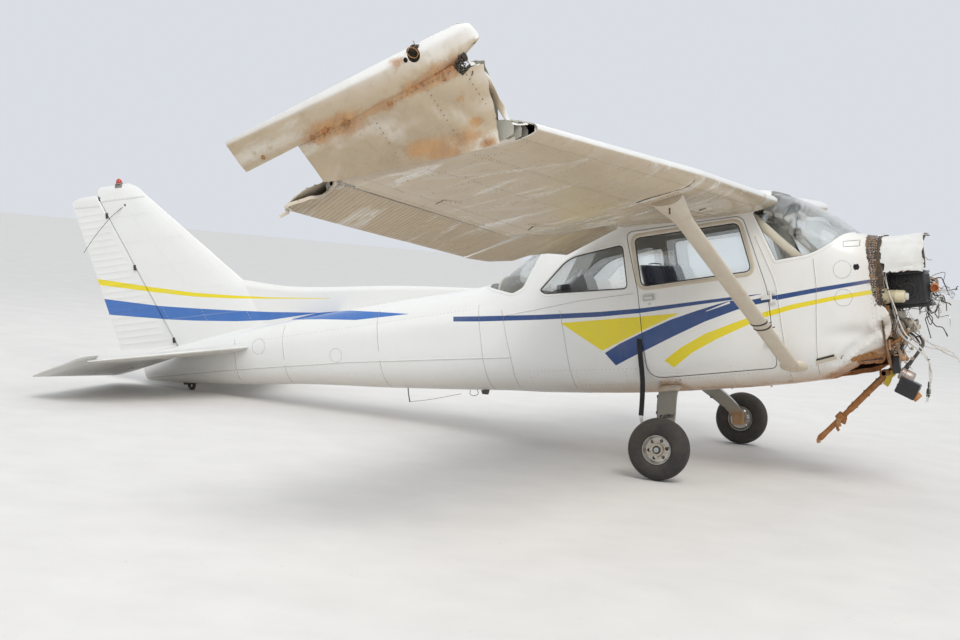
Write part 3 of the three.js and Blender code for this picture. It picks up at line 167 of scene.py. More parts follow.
def bump_at(points: np.ndarray, centre: Point, reach: Point) -> np.ndarray:
    """Return a soft blob of height 1 about a centre.

    Args:
        points: Points as rows.
        centre: Middle of the blob.
        reach: How far it spreads along each axis.

    Returns:
        One value for each point.
    """
    d = (points - np.array(centre, float)) / np.array(reach, float)
    return np.exp(-(d**2).sum(-1))


def valley(u: np.ndarray, v: np.ndarray, start: Point, end: Point, width: float) -> np.ndarray:
    """Return a sharp fold of height 1 along a line between two points of a plane."""
    a, b = np.array(start, float), np.array(end, float)
    line = b - a
    length = np.linalg.norm(line)
    along = ((u - a[0]) * line[0] + (v - a[1]) * line[1]) / length
    off = ((u - a[0]) * line[1] - (v - a[1]) * line[0]) / length
    fade = smoothstep(-width, width, along) * smoothstep(length + width, length - width, along)
    return np.exp(-np.abs(off) / width) * fade


def fractal(points: np.ndarray, scale: float, seed: float = 0.0, octaves: int = 3) -> np.ndarray:
    """Return smooth noise of about -1 to 1 at points in millimetres.

    Args:
        points: Points as rows.
        scale: Size of the largest lumps, in millimetres.
        seed: Shift of the noise.
        octaves: How many sizes of lump there are.

    Returns:
        One value for each point.
    """
    flat = points.reshape(-1, 3) / scale + seed
    values = [noise.fractal(Vector(p), 0.6, 2.1, octaves, noise_basis="PERLIN_ORIGINAL") for p in flat]
    return np.array(values).reshape(points.shape[:-1])


def monotone(xs: np.ndarray, ys: np.ndarray, at: np.ndarray) -> np.ndarray:
    """Return a smooth curve through points that never overshoots them.

    Args:
        xs: Rising places of the points.
        ys: Their values, one column for each quantity.
        at: Places to read.

    Returns:
        The values there.
    """
    step = np.diff(xs)[:, None]
    slope = np.diff(ys, axis=0) / step
    tangent = np.zeros_like(ys)
    tangent[0], tangent[-1] = slope[0], slope[-1]
    same = slope[:-1] * slope[1:] > 0
    with np.errstate(divide="ignore", invalid="ignore"):
        w1 = 2 * step[1:] + step[:-1]
        w2 = step[1:] + 2 * step[:-1]
        mean = (w1 + w2) / (w1 / slope[:-1] + w2 / slope[1:])
    tangent[1:-1] = np.where(same, mean, 0)
    i = np.clip(np.searchsorted(xs, at, side="right") - 1, 0, len(xs) - 2)
    h = step[i]
    t = ((at - xs[i]) / step[i, 0])[:, None]
    return (
        (2 * t**3 - 3 * t**2 + 1) * ys[i]
        + (t**3 - 2 * t**2 + t) * h * tangent[i]
        + (3 * t**2 - 2 * t**3) * ys[i + 1]
        + (t**3 - t**2) * h * tangent[i + 1]
    )


def spline(points: Sequence[Point], count: int) -> np.ndarray:
    """Return evenly spaced points on the smooth curve that the CAD's leads follow.

    Args:
        points: Points that it runs through.
        count: How many points to return.

    Returns:
        Points as rows.
    """
    p = np.array(points, float)
    p = np.vstack([2 * p[0] - p[1], p, 2 * p[-1] - p[-2]])
    dense = [p[1]]
    for a, b, c, d in zip(p, p[1:], p[2:], p[3:]):
        ta, tb, tc = (max(math.sqrt(np.linalg.norm(v)), 1e-6) for v in (b - a, c - b, d - c))
        m1 = tb * ((b - a) / ta - (c - a) / (ta + tb) + (c - b) / tb)
        m2 = tb * ((c - b) / tb - (d - b) / (tb + tc) + (d - c) / tc)
        for t in np.linspace(0, 1, 13)[1:]:
            dense.append(
                (2 * t**3 - 3 * t**2 + 1) * b + (t**3 - 2 * t**2 + t) * m1
                + (3 * t**2 - 2 * t**3) * c + (t**3 - t**2) * m2
            )
    dense = np.array(dense)
    run = np.concatenate([[0], np.cumsum(np.linalg.norm(np.diff(dense, axis=0), axis=1))])
    at = np.linspace(0, run[-1], count)
    return np.stack([np.interp(at, run, dense[:, k]) for k in range(3)], 1)


def rounded(corners: Sequence[Point], steps: int = 3) -> Outline:
    """Return an outline whose corners (u, v, radius) are short curves.

    Args:
        corners: Corners in order.
        steps: Points on each curve, less one.

    Returns:
        The outline's points.
    """
    outline: Outline = []
    for i, corner in enumerate(corners):
        u, v, radius = (*corner, 0)[:3]
        if radius == 0:
            outline.append((u, v))
            continue
        here = np.array([u, v], float)
        before = np.array(corners[i - 1][:2], float) - here
        after = np.array(corners[(i + 1) % len(corners)][:2], float) - here
        start = here + before / np.linalg.norm(before) * radius
        end = here + after / np.linalg.norm(after) * radius
        for t in np.linspace(0, 1, steps + 1):
            p = (1 - t) ** 2 * start + 2 * t * (1 - t) * here + t * t * end
            outline.append((float(p[0]), float(p[1])))
    return outline


def area_of(outline: Outline) -> float:
    """Return the signed area of an outline."""
    p = np.array(outline)
    q = np.roll(p, -1, 0)
    return float((p[:, 0] * q[:, 1] - q[:, 0] * p[:, 1]).sum() / 2)


def grow(outline: Outline, distance: float) -> Outline:
    """Return an outline moved outwards by a distance, or inwards when it is negative."""
    way = math.copysign(1, area_of(outline))
    grown = []
    for i, (u, v) in enumerate(outline):
        pu, pv = outline[i - 1]
        nu, nv = outline[(i + 1) % len(outline)]
        first = np.array([v - pv, pu - u])
        second = np.array([nv - v, u - nu])
        first, second = first / np.linalg.norm(first), second / np.linalg.norm(second)
        middle = (first + second) / np.linalg.norm(first + second)
        reach = way * distance / max(0.5, float(middle @ first))
        grown.append((u + middle[0] * reach, v + middle[1] * reach))
    return grown


def dense_outline(outline: Outline, step: float) -> Outline:
    """Return an outline with extra points so that none are further apart than step."""
    fine: Outline = []
    for i, (u, v) in enumerate(outline):
        nu, nv = outline[(i + 1) % len(outline)]
        count = max(1, math.ceil(math.hypot(nu - u, nv - v) / step))
        fine += [(u + (nu - u) * k / count, v + (nv - v) * k / count) for k in range(count)]
    return fine


def ragged(outline: Outline, step: float, depth: float, seed: int, keep: int = 0) -> Outline:
    """Return an outline with torn edges.

    Args:
        outline: The outline as cut.
        step: Distance between the teeth.
        depth: How far they stand out.
        seed: Of the random draws.
        keep: How many of the last corners stay plain.

    Returns:
        The torn outline.
    """
    draw = np.random.default_rng(seed)
    torn: Outline = []
    for i, (u, v) in enumerate(outline):
        nu, nv = outline[(i + 1) % len(outline)]
        length = math.hypot(nu - u, nv - v)
        count = 1 if i >= len(outline) - keep else max(1, round(length / step))
        for k in range(count):
            t = (k + (draw.uniform(-0.3, 0.3) if k else 0)) / count
            off = draw.uniform(-depth, depth) if k else 0
            torn.append((u + (nu - u) * t - (nv - v) / length * off,
                         v + (nv - v) * t + (nu - u) / length * off))
    return torn


# Solids


@dataclass
class Solid:
    """Points, faces, and the finish of each face."""

    verts: np.ndarray
    faces: list[tuple[int, ...]]
    kinds: list[int] = field(default_factory=list)

    def __post_init__(self) -> None:
        """Give every face the first finish where none is named."""
        self.verts = np.asarray(self.verts, float).reshape(-1, 3)
        if not self.kinds:
            self.kinds = [0] * len(self.faces)

    def plus(self, *others: Solid) -> Solid:
        """Return this solid and others as one."""
        verts, faces, kinds = [self.verts], list(self.faces), list(self.kinds)
        count = len(self.verts)
        for other in others:
            faces += [tuple(i + count for i in face) for face in other.faces]
            kinds += other.kinds
            verts.append(other.verts)
            count += len(other.verts)
        return Solid(np.vstack(verts), faces, kinds)

    def moved(self, matrix: Matrix) -> Solid:
        """Return the solid with a matrix applied."""
        m = np.array(matrix)
        return Solid(self.verts @ m[:3, :3].T + m[:3, 3], self.faces, self.kinds)

    def mirrored(self) -> Solid:
        """Return the solid on the other side of the aircraft."""
        return Solid(self.verts * np.array([1, -1, 1]), [face[::-1] for face in self.faces], self.kinds)

    def all_of(self, kind: Kind) -> Solid:
        """Return the solid with one finish on every face."""
        return Solid(self.verts, self.faces, [int(kind)] * len(self.faces))

    def outward(self) -> Solid:
        """Return the solid with its faces turned outwards."""
        volume = 0.0
        for face in self.faces:
            a = self.verts[face[0]]
            for i in range(1, len(face) - 1):
                volume += float(a @ np.cross(self.verts[face[i]], self.verts[face[i + 1]]))
        if volume < 0:
            return Solid(self.verts, [face[::-1] for face in self.faces], self.kinds)
        return self

    def bent(self, change: Callable[[np.ndarray], np.ndarray]) -> Solid:
        """Return the solid with its points changed by a function of all of them."""
        return Solid(change(self.verts), self.faces, self.kinds)


def joined(solids: Iterable[Solid]) -> Solid:
    """Return several solids as one."""
    first, *others = solids
    return first.plus(*others)


def loft(rings: np.ndarray | Sequence[np.ndarray], closed_ends: bool = True) -> Solid:
    """Return a body through rings of equal count.

    Args:
        rings: Rings of points, in order.
        closed_ends: Whether faces close the first and the last ring.

    Returns:
        The solid.
    """
    rings = np.array(rings, float)
    n, m = rings.shape[:2]
    faces: list[tuple[int, ...]] = []
    for i in range(n - 1):
        for k in range(m):
            a, b = i * m + k, i * m + (k + 1) % m
            faces.append((a, b, b + m, a + m))
    if closed_ends:
        faces.append(tuple(reversed(range(m))))
        faces.append(tuple(range((n - 1) * m, n * m)))
    return Solid(rings.reshape(-1, 3), faces).outward()


def shell(outer: np.ndarray, inner: np.ndarray) -> Solid:
    """Return a wall between two grids of equal size, whose second axis runs round to its start.

    Args:
        outer: Outer grid of points.
        inner: Inner grid of points.

    Returns:
        The wall, with its own finish on each face of it and on the rims.
    """
    n, m = outer.shape[:2]
    size = n * m
    faces: list[tuple[int, ...]] = []
    kinds: list[int] = []
    for i in range(n - 1):
        for k in range(m):
            a, b = i * m + k, i * m + (k + 1) % m
            faces += [(a, b, b + m, a + m), (size + a + m, size + b + m, size + b, size + a)]
            kinds += [Kind.OUTER, Kind.INNER]
    for k in range(m):
        b = (k + 1) % m
        last = (n - 1) * m
        faces += [(b, k, size + k, size + b), (last + k, last + b, size + last + b, size + last + k)]
        kinds += [Kind.CUT, Kind.CUT]
    return Solid(np.vstack([outer.reshape(-1, 3), inner.reshape(-1, 3)]), faces,
                 [int(k) for k in kinds]).outward()


def prism(outline: Outline, low: float, high: float, axis: str = "y") -> Solid:
    """Return an outline drawn out along y, from (x, z), or along z, from (x, y), or along x, from (y, z)."""
    rings = []
    for level in (low, high):
        columns = {"y": lambda u, v: (u, level, v), "z": lambda u, v: (u, v, level),
                   "x": lambda u, v: (level, u, v)}
        rings.append([columns[axis](u, v) for u, v in outline])
    return loft(rings)


def block(low: Point, high: Point) -> Solid:
    """Return a box between two corners."""
    (x0, y0, z0), (x1, y1, z1) = low, high
    return prism([(x0, z0), (x1, z0), (x1, z1), (x0, z1)], y0, y1)


def basis(along: np.ndarray) -> tuple[np.ndarray, np.ndarray]:
    """Return two unit vectors square to a direction."""
    upward, sideways = np.array([0.3, 0.1, 1.0]), np.array([1.0, 0.2, 0.0])
    along = along / np.linalg.norm(along)
    side = np.cross(along, upward)
    if np.linalg.norm(side) < 1e-3:
        side = np.cross(along, sideways)
    side /= np.linalg.norm(side)
    return side, np.cross(side, along)


def turned(profile: Sequence[tuple[float, float]], start: Point, end: Point, sides: int = 24) -> Solid:
    """Return a shape turned about the line between two points.

    Args:
        profile: Pairs of distance along the line and radius, none of them zero in radius.
        start: Where distance 0 is.
        end: Any further point of the line.
        sides: Points round it.

    Returns:
        The solid.
    """
    origin = np.array(start, float)
    along = np.array(end, float) - origin
    along /= np.linalg.norm(along)
    u, v = basis(along)
    angles = np.linspace(0, 2 * math.pi, sides, endpoint=False)
    circle = np.cos(angles)[:, None] * u + np.sin(angles)[:, None] * v
    return loft([origin + along * at + circle * radius for at, radius in profile])


def rod(start: Point, end: Point, radius: float, sides: int = 12) -> Solid:
    """Return a rod whose ends are a little rounded."""
    length = float(np.linalg.norm(np.array(end, float) - np.array(start, float)))
    soft = min(radius, length / 2) * 0.18
    profile = [(0, radius - soft), (soft, radius), (length - soft, radius), (length, radius - soft)]
    return turned(profile, start, end, sides)


def pipe(points: np.ndarray, radius: float | np.ndarray, sides: int = 10, flat: float = 1.0) -> Solid:
    """Return a tube along points.

    Args:
        points: Centreline as rows.
        radius: Radius, or one for each point.
        sides: Points round it.
        flat: Height of the section against its width.

    Returns:
        The solid.
    """
    points = np.asarray(points, float)
    radii = np.broadcast_to(np.asarray(radius, float), (len(points),))
    tangent = np.gradient(points, axis=0)
    tangent /= np.linalg.norm(tangent, axis=1)[:, None]
    u, _ = basis(tangent[0])
    angles = np.linspace(0, 2 * math.pi, sides, endpoint=False)
    rings = []
    for p, t, r in zip(points, tangent, radii):
        u = u - t * (u @ t)
        u /= np.linalg.norm(u)
        v = np.cross(t, u)
        rings.append(p + r * (np.cos(angles)[:, None] * u + flat * np.sin(angles)[:, None] * v))
    return loft(rings)


def ribbon(points: np.ndarray, normals: np.ndarray, width: float, height: float,
           closed: bool = False) -> Solid:
    """Return a flat strip that lies on a surface.

    Args:
        points: Middle of the strip, on the surface.
        normals: The surface's outward unit normals there.
        width: Across the strip.
        height: Above the surface.
        closed: Whether the strip runs round to its start.

    Returns:
        The solid.
    """
    tangent = np.gradient(points, axis=0)
    if closed:
        tangent = np.roll(points, -1, 0) - np.roll(points, 1, 0)
    tangent /= np.linalg.norm(tangent, axis=1)[:, None] + 1e-9
    across = np.cross(tangent, normals)
    across /= np.linalg.norm(across, axis=1)[:, None] + 1e-9
    bevel = min(height, width / 4)
    shape = [(-0.5, -1.0), (-0.5, 0.3), (-0.5 + bevel / width, 1.0), (0.5 - bevel / width, 1.0), (0.5, 0.3),
             (0.5, -1.0)]
    rings = np.stack([points + across * (a * width) + normals * (b * height) for a, b in shape], 1)
    if closed:
        rings = np.concatenate([rings, rings[:1]])
        solid = loft(rings, False)
        return welded(solid)
    return loft(rings)


def welded(solid: Solid, reach: float = 1e-4) -> Solid:
    """Return a solid with its doubled points merged."""
    mesh = to_mesh("weld", solid)
    work = bmesh.new()
    work.from_mesh(mesh)
    bmesh.ops.remove_doubles(work, verts=work.verts, dist=reach)
    bmesh.ops.recalc_face_normals(work, faces=work.faces)
    work.to_mesh(mesh)
    work.free()
    return from_mesh(mesh)


def to_mesh(name: str, solid: Solid) -> bpy.types.Mesh:
    """Return a solid as Blender mesh data in the same units."""
    mesh = bpy.data.meshes.new(name)
    mesh.from_pydata(solid.verts.tolist(), [], solid.faces)
    mesh.polygons.foreach_set("material_index", np.array(solid.kinds, dtype=np.int32))
    mesh.update()
    return mesh


def from_mesh(mesh: bpy.types.Mesh) -> Solid:
    """Return mesh data as a solid, and remove the data."""
    verts = np.zeros(len(mesh.vertices) * 3)
    mesh.vertices.foreach_get("co", verts)
    faces = [tuple(p.vertices) for p in mesh.polygons]
    kinds = [p.material_index for p in mesh.polygons]
    bpy.data.meshes.remove(mesh)
    return Solid(verts.reshape(-1, 3), faces, kinds)


class Carving(str, Enum):
    """What is kept of a solid that is carved."""

    REMOVE = "DIFFERENCE"
    KEEP = "INTERSECT"
    ADD = "UNION"


def carve(solid: Solid, tools: Sequence[Solid], way: Carving = Carving.REMOVE) -> Solid:
    """Cut solids away from a solid, keep only what they share, or add them.

    Args:
        solid: What is carved.
        tools: Closed solids in the same units.
        way: What is done with them.

    Returns:
        The carved solid, its new faces finished as cut ones.
    """
    unit = 0.01
    blank = bpy.data.meshes.new("kinds")
    holders = [bpy.data.materials.get(f"kind_{k}") or bpy.data.materials.new(f"kind_{k}") for k in range(3)]
    made: list[bpy.types.Object] = []
    for part in (solid, *tools):
        marked = part if part is solid or way is Carving.ADD else part.all_of(Kind.CUT)
        mesh = to_mesh("carving", Solid(marked.verts * unit, marked.faces, marked.kinds))
        for holder in holders:
            mesh.materials.append(holder)
        obj = bpy.data.objects.new("carving", mesh)
        bpy.context.scene.collection.objects.link(obj)
        made.append(obj)
    target = made[0]
    for tool in made[1:]:
        cut = target.modifiers.new("cut", "BOOLEAN")
        cut.object = tool
        cut.operation = way.value
        cut.solver = "MANIFOLD"
    bpy.context.view_layer.update()
    graph = bpy.context.evaluated_depsgraph_get()
    result = bpy.data.meshes.new_from_object(target.evaluated_get(graph))
    if not result.polygons:
        for cut in target.modifiers:
            cut.solver = "EXACT"
        bpy.context.view_layer.update()
        graph = bpy.context.evaluated_depsgraph_get()
        result = bpy.data.meshes.new_from_object(target.evaluated_get(graph))
    for obj in made:
        data = obj.data
        bpy.data.objects.remove(obj)
        bpy.data.meshes.remove(data)
    bpy.data.meshes.remove(blank)
    carved = from_mesh(result)
    carved.verts /= unit
    return carved


class Workshop:
    def __init__(self, frame: dict, place: Placement) -> None:
        """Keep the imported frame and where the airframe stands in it.

        Args:
            place: The airframe's placement.
        """
        self.frame = frame
        self.place = place
        self.collection = bpy.context.scene.collection
        self.count = 0

    def make(
        self,
        name: str,
        solid: Solid,
        finishes: Sequence[bpy.types.Material],
        slot: Slot,
        body: str = ROOT,
        replaces: Sequence[str] = (),
        smooth: float = 38.0,
        masks: dict[str, Callable[[np.ndarray], np.ndarray]] | None = None,
        bevel: float = 0.0,
    ) -> bpy.types.Object:
        """Make one piece from a solid in the aircraft's millimetres.

        Args:
            name: Its name.
            solid: Its shape.
            finishes: Its materials, in the order of the solid's kinds.
            slot: The record's slot; it is not used.
            body: The CAD body that it moves with.
            replaces: CAD nodes that it stands for.
            smooth: Edges sharper than this, in degrees, stay sharp.
            masks: Point attributes for the materials, each a function of the points in millimetres.
            bevel: Width of the softened edges, in millimetres.

        Returns:
            The object.
        """
        placed = Solid(self.place.row(solid.verts), solid.faces, solid.kinds)
        mesh = to_mesh(name, placed)
        for finish in finishes:
            mesh.materials.append(finish)
        last = len(finishes) - 1
        kinds = np.minimum(np.array(solid.kinds, dtype=np.int32), last)
        mesh.polygons.foreach_set("material_index", kinds)
        for label, mask in (masks or {}).items():
            layer = mesh.attributes.new(label, "FLOAT", "POINT")
            layer.data.foreach_set("value", np.asarray(mask(solid.verts), np.float32))
        obj = bpy.data.objects.new(name, mesh)
        self.collection.objects.link(obj)
        if bevel:
            edge = obj.modifiers.new("edge", "BEVEL")
            edge.width = bevel * MM
            edge.segments = 2
            edge.limit_method = "ANGLE"
            edge.angle_limit = math.radians(40)
            edge.harden_normals = False
            self.bake(obj)
            mesh = obj.data
        mesh.shade_smooth()
        mesh.set_sharp_from_angle(angle=math.radians(smooth))
        return self.hand_over(obj, slot, body, replaces)

    def bake(self, obj: bpy.types.Object) -> None:
        """Apply all modifiers of an object to its own mesh."""
        bpy.context.view_layer.update()
        graph = bpy.context.evaluated_depsgraph_get()
        result = bpy.data.meshes.new_from_object(obj.evaluated_get(graph), depsgraph=graph)
        obj.modifiers.clear()
        old = obj.data
        obj.data = result
        bpy.data.meshes.remove(old)

    def hand_over(
        self, obj: bpy.types.Object, slot: Slot, body: str = ROOT, replaces: Sequence[str] = ()
    ) -> bpy.types.Object:
        """Ride a finished piece on its body and hide the CAD nodes that it stands for."""
        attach(obj, body)
        if replaces:
            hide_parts(*replaces)
        self.count += 1
        faces = len(obj.data.polygons) if obj.type == "MESH" else 0
        LOG.info("%s: %d faces on %s", obj.name, faces, body)
        return obj


# Finishes

Color = tuple[float, float, float]
Socket = bpy.types.NodeSocket


class Graph:
    """A shader or geometry node tree, with short ways to add to it."""

    def __init__(self, tree: bpy.types.NodeTree) -> None:
        """Work on a tree."""
        self.tree = tree

    def add(self, kind: str, inputs: dict | None = None, **settings: object) -> bpy.types.Node:
        """Add a node.

        Args:
            kind: Blender's name for the node's type.
            inputs: Values or sockets for its inputs, by name or index.
            **settings: The node's own options.

        Returns:
            The node.
        """
        node = self.tree.nodes.new(kind)
        for key, value in settings.items():
            setattr(node, key, value)
        for key, value in (inputs or {}).items():
            self.feed(node.inputs[key], value)
        return node

    def feed(self, socket: Socket, value: object) -> None:
        """Link a socket, or set its own value."""
        if isinstance(value, bpy.types.NodeSocket):
            self.tree.links.new(value, socket)
        elif isinstance(value, tuple) and len(value) == 3 and socket.type == "RGBA":
            socket.default_value = (*value, 1.0)
        else:
            socket.default_value = value

    def math(self, op: str, a: object, b: object = 0.0, clamp: bool = False) -> Socket:
        """Return the result of a sum."""
        return self.add("ShaderNodeMath", {0: a, 1: b}, operation=op, use_clamp=clamp).outputs[0]

    def step(self, value: object, low: float, high: float) -> Socket:
        """Return 0 below low, 1 above high and a soft step between them."""
        node = self.add("ShaderNodeMapRange", {"Value": value}, interpolation_type="SMOOTHSTEP", clamp=True)
        node.inputs["From Min"].default_value = low
        node.inputs["From Max"].default_value = high
        return node.outputs["Result"]

    def stretch(self, at: Socket, scale: Point = (1, 1, 1), turn: Point = (0, 0, 0),
                shift: Point = (0, 0, 0)) -> Socket:
        """Return coordinates scaled, turned and moved."""
        node = self.add("ShaderNodeMapping", {"Vector": at})
        node.inputs["Location"].default_value = shift
        node.inputs["Rotation"].default_value = turn
        node.inputs["Scale"].default_value = scale
        return node.outputs[0]

    def noise(self, at: Socket, scale: object, detail: float = 3.0, rough: float = 0.55,
              warp: float = 0.0) -> Socket:
        """Return smooth noise of 0 to 1."""
        inputs = {"Vector": at, "Scale": scale, "Detail": detail, "Roughness": rough, "Distortion": warp}
        return self.add("ShaderNodeTexNoise", inputs).outputs[0]

    def mix(self, factor: object, a: object, b: object) -> Socket:
        """Return a mix of two colours."""
        node = self.add("ShaderNodeMix", data_type="RGBA", blend_type="MIX", clamp_factor=True)
        self.feed(node.inputs[0], factor)
        self.feed(node.inputs[6], a)
        self.feed(node.inputs[7], b)
        return node.outputs[2]

    def blend(self, factor: object, a: object, b: object) -> Socket:
        """Return a mix of two numbers."""
        node = self.add("ShaderNodeMix", data_type="FLOAT", clamp_factor=True)
        self.feed(node.inputs[0], factor)
        self.feed(node.inputs[2], a)
        self.feed(node.inputs[3], b)
        return node.outputs[0]


def group(
    name: str, inputs: Sequence[tuple[str, str, object]], outputs: Sequence[tuple[str, str]]
) -> tuple[bpy.types.NodeTree, Graph, bpy.types.Node, bpy.types.Node]:
    """Make an empty shader node group.

    Args:
        name: Its name.
        inputs: Name, socket type and default of each input.
        outputs: Name and socket type of each output.

    Returns:
        The tree, its graph, the node that gives the inputs and the one that takes the outputs.
    """
    tree = bpy.data.node_groups.new(name, "ShaderNodeTree")
    for label, kind, default in inputs:
        socket = tree.interface.new_socket(label, in_out="INPUT", socket_type=kind)
        if default is not None:
            socket.default_value = (*default, 1.0) if kind == "NodeSocketColor" else default
    for label, kind in outputs:
        tree.interface.new_socket(label, in_out="OUTPUT", socket_type=kind)
    graph = Graph(tree)
    return tree, graph, graph.add("NodeGroupInput"), graph.add("NodeGroupOutput")


@dataclass(frozen=True)
class Band:
    """A painted band on the side: its upper and lower edge, as x and z in metres."""

    top: tuple[tuple[float, float], ...]
    bottom: tuple[tuple[float, float], ...]

    def mask(self, graph: Graph, x: Socket, z: Socket) -> Socket:
        """Return a mask that is 1 inside the band."""
        low = min(self.top[0][0], self.bottom[0][0])
        high = max(self.top[-1][0], self.bottom[-1][0])
        along = graph.add("ShaderNodeMapRange", {"Value": x}, clamp=True)
        along.inputs["From Min"].default_value = low
        along.inputs["From Max"].default_value = high
        sides = []
        for edge in (self.top, self.bottom):
            curve = graph.add("ShaderNodeFloatCurve", {"Value": along.outputs[0]})
            points = curve.mapping.curves[0].points
            table = [((px - low) / (high - low), pz / 2.4) for px, pz in edge]
            while len(points) < len(table):
                points.new(0.5, 0.5)
            for point, place in zip(points, table):
                point.location = place
                point.handle_type = "VECTOR"
            curve.mapping.update()
            level = graph.math("MULTIPLY", curve.outputs[0], 2.4)
            gap = graph.math("SUBTRACT", level, z)
            gap = gap if edge is self.top else graph.math("MULTIPLY", gap, -1.0)
            sides.append(graph.step(gap, -0.0006, 0.0006))
        inside = graph.math("MULTIPLY", sides[0], sides[1])
        ends = graph.math("MULTIPLY", graph.step(x, low - 0.0005, low + 0.0005),
                          graph.step(x, high + 0.0005, high - 0.0005))
        return graph.math("MULTIPLY", inside, ends)


BLUE_BANDS = (
    Band(
        ((-3.316, 1.077), (-3.073, 1.058), (-2.546, 1.021), (-2.048, 0.997), (-1.728, 0.992),
         (-1.23, 1.004),
         (-1.043, 1.008), (-0.814, 1.009)),
        ((-3.316, 1.038), (-3.077, 1.017), (-2.55, 0.983), (-2.052, 0.96), (-1.735, 0.958), (-1.232, 0.979),
         (-1.045, 0.986), (-0.814, 1.007)),
    ),
    Band(
        ((-2.043, 0.684), (-1.915, 0.744), (-1.718, 0.815), (-1.508, 0.885), (-1.313, 0.931),
         (-1.14, 0.966),
         (-1.045, 0.982), (-0.872, 0.975), (-0.739, 0.987), (-0.414, 1.013), (0.02, 1.038)),
        ((-2.043, 0.684), (-1.969, 0.583), (-1.85, 0.63), (-1.714, 0.679), (-1.562, 0.737), (-1.443, 0.78),
         (-1.246, 0.849), (-1.007, 0.911), (-0.876, 0.934), (-0.743, 0.95), (-0.416, 0.981), (0.02, 1.014)),
    ),
)
SLIT = Band(((-1.229, 0.925), (-1.047, 0.979)), ((-1.229, 0.921), (-1.047, 0.963)))
YELLOW_BANDS = (
    Band(
        ((-2.379, 0.942), (-1.735, 0.932), (-1.427, 0.929)),
        ((-2.379, 0.942), (-2.061, 0.703), (-1.737, 0.822), (-1.427, 0.929)),
    ),
    Band(
        ((-1.585, 0.59), (-1.455, 0.672), (-1.256, 0.76), (-1.064, 0.812), (-0.96, 0.838), (-0.808, 0.876),
         (-0.599, 0.912), (-0.333, 0.94), (-0.089, 0.957), (0.02, 0.963)),
        ((-1.585, 0.59), (-1.522, 0.531), (-1.364, 0.631), (-1.167, 0.715), (-0.947, 0.79), (-0.795, 0.838),
         (-0.603, 0.876), (-0.335, 0.908), (-0.092, 0.926), (0.02, 0.932)),
    ),
    Band(
        ((-6.96, 1.757), (-6.397, 1.629), (-5.916, 1.527), (-5.517, 1.461), (-5.175, 1.411),
         (-4.598, 1.346)),
        ((-6.96, 1.703), (-6.399, 1.585), (-5.92, 1.492), (-5.519, 1.435), (-5.176, 1.399),
         (-4.598, 1.342)),
    ),
)
TAIL_BANDS = (
    Band(
        ((-4.98, 1.203), (-4.715, 1.234), (-4.366, 1.222), (-4.026, 1.179), (-3.743, 1.138)),
        ((-4.98, 1.2), (-4.606, 1.172), (-4.248, 1.134), (-3.743, 1.136)),
    ),
    Band(
        ((-6.9, 1.568), (-6.31, 1.448), (-5.931, 1.39), (-5.504, 1.328), (-5.187, 1.285), (-4.729, 1.236)),
        ((-6.9, 1.43), (-6.825, 1.414), (-6.231, 1.32), (-5.943, 1.282), (-5.513, 1.236), (-5.194, 1.216),
         (-4.729, 1.232)),
    ),
)


@dataclass(frozen=True)
class Wear:
    """How a surface has aged, and how it shines."""

    rough: float = 0.35
    dust: Color = (0.42, 0.33, 0.22)
    amount: float = 0.25
    streaks: float = 0.3
    scale: float = 1.0
    bump: float = 0.4
    metallic: float = 0.0
    coat: float = 0.0
    rust: float = 0.0


@dataclass(frozen=True)
class Tone:
    """A finish with one main colour."""

    name: str
    color: Color
    wear: Wear = Wear()


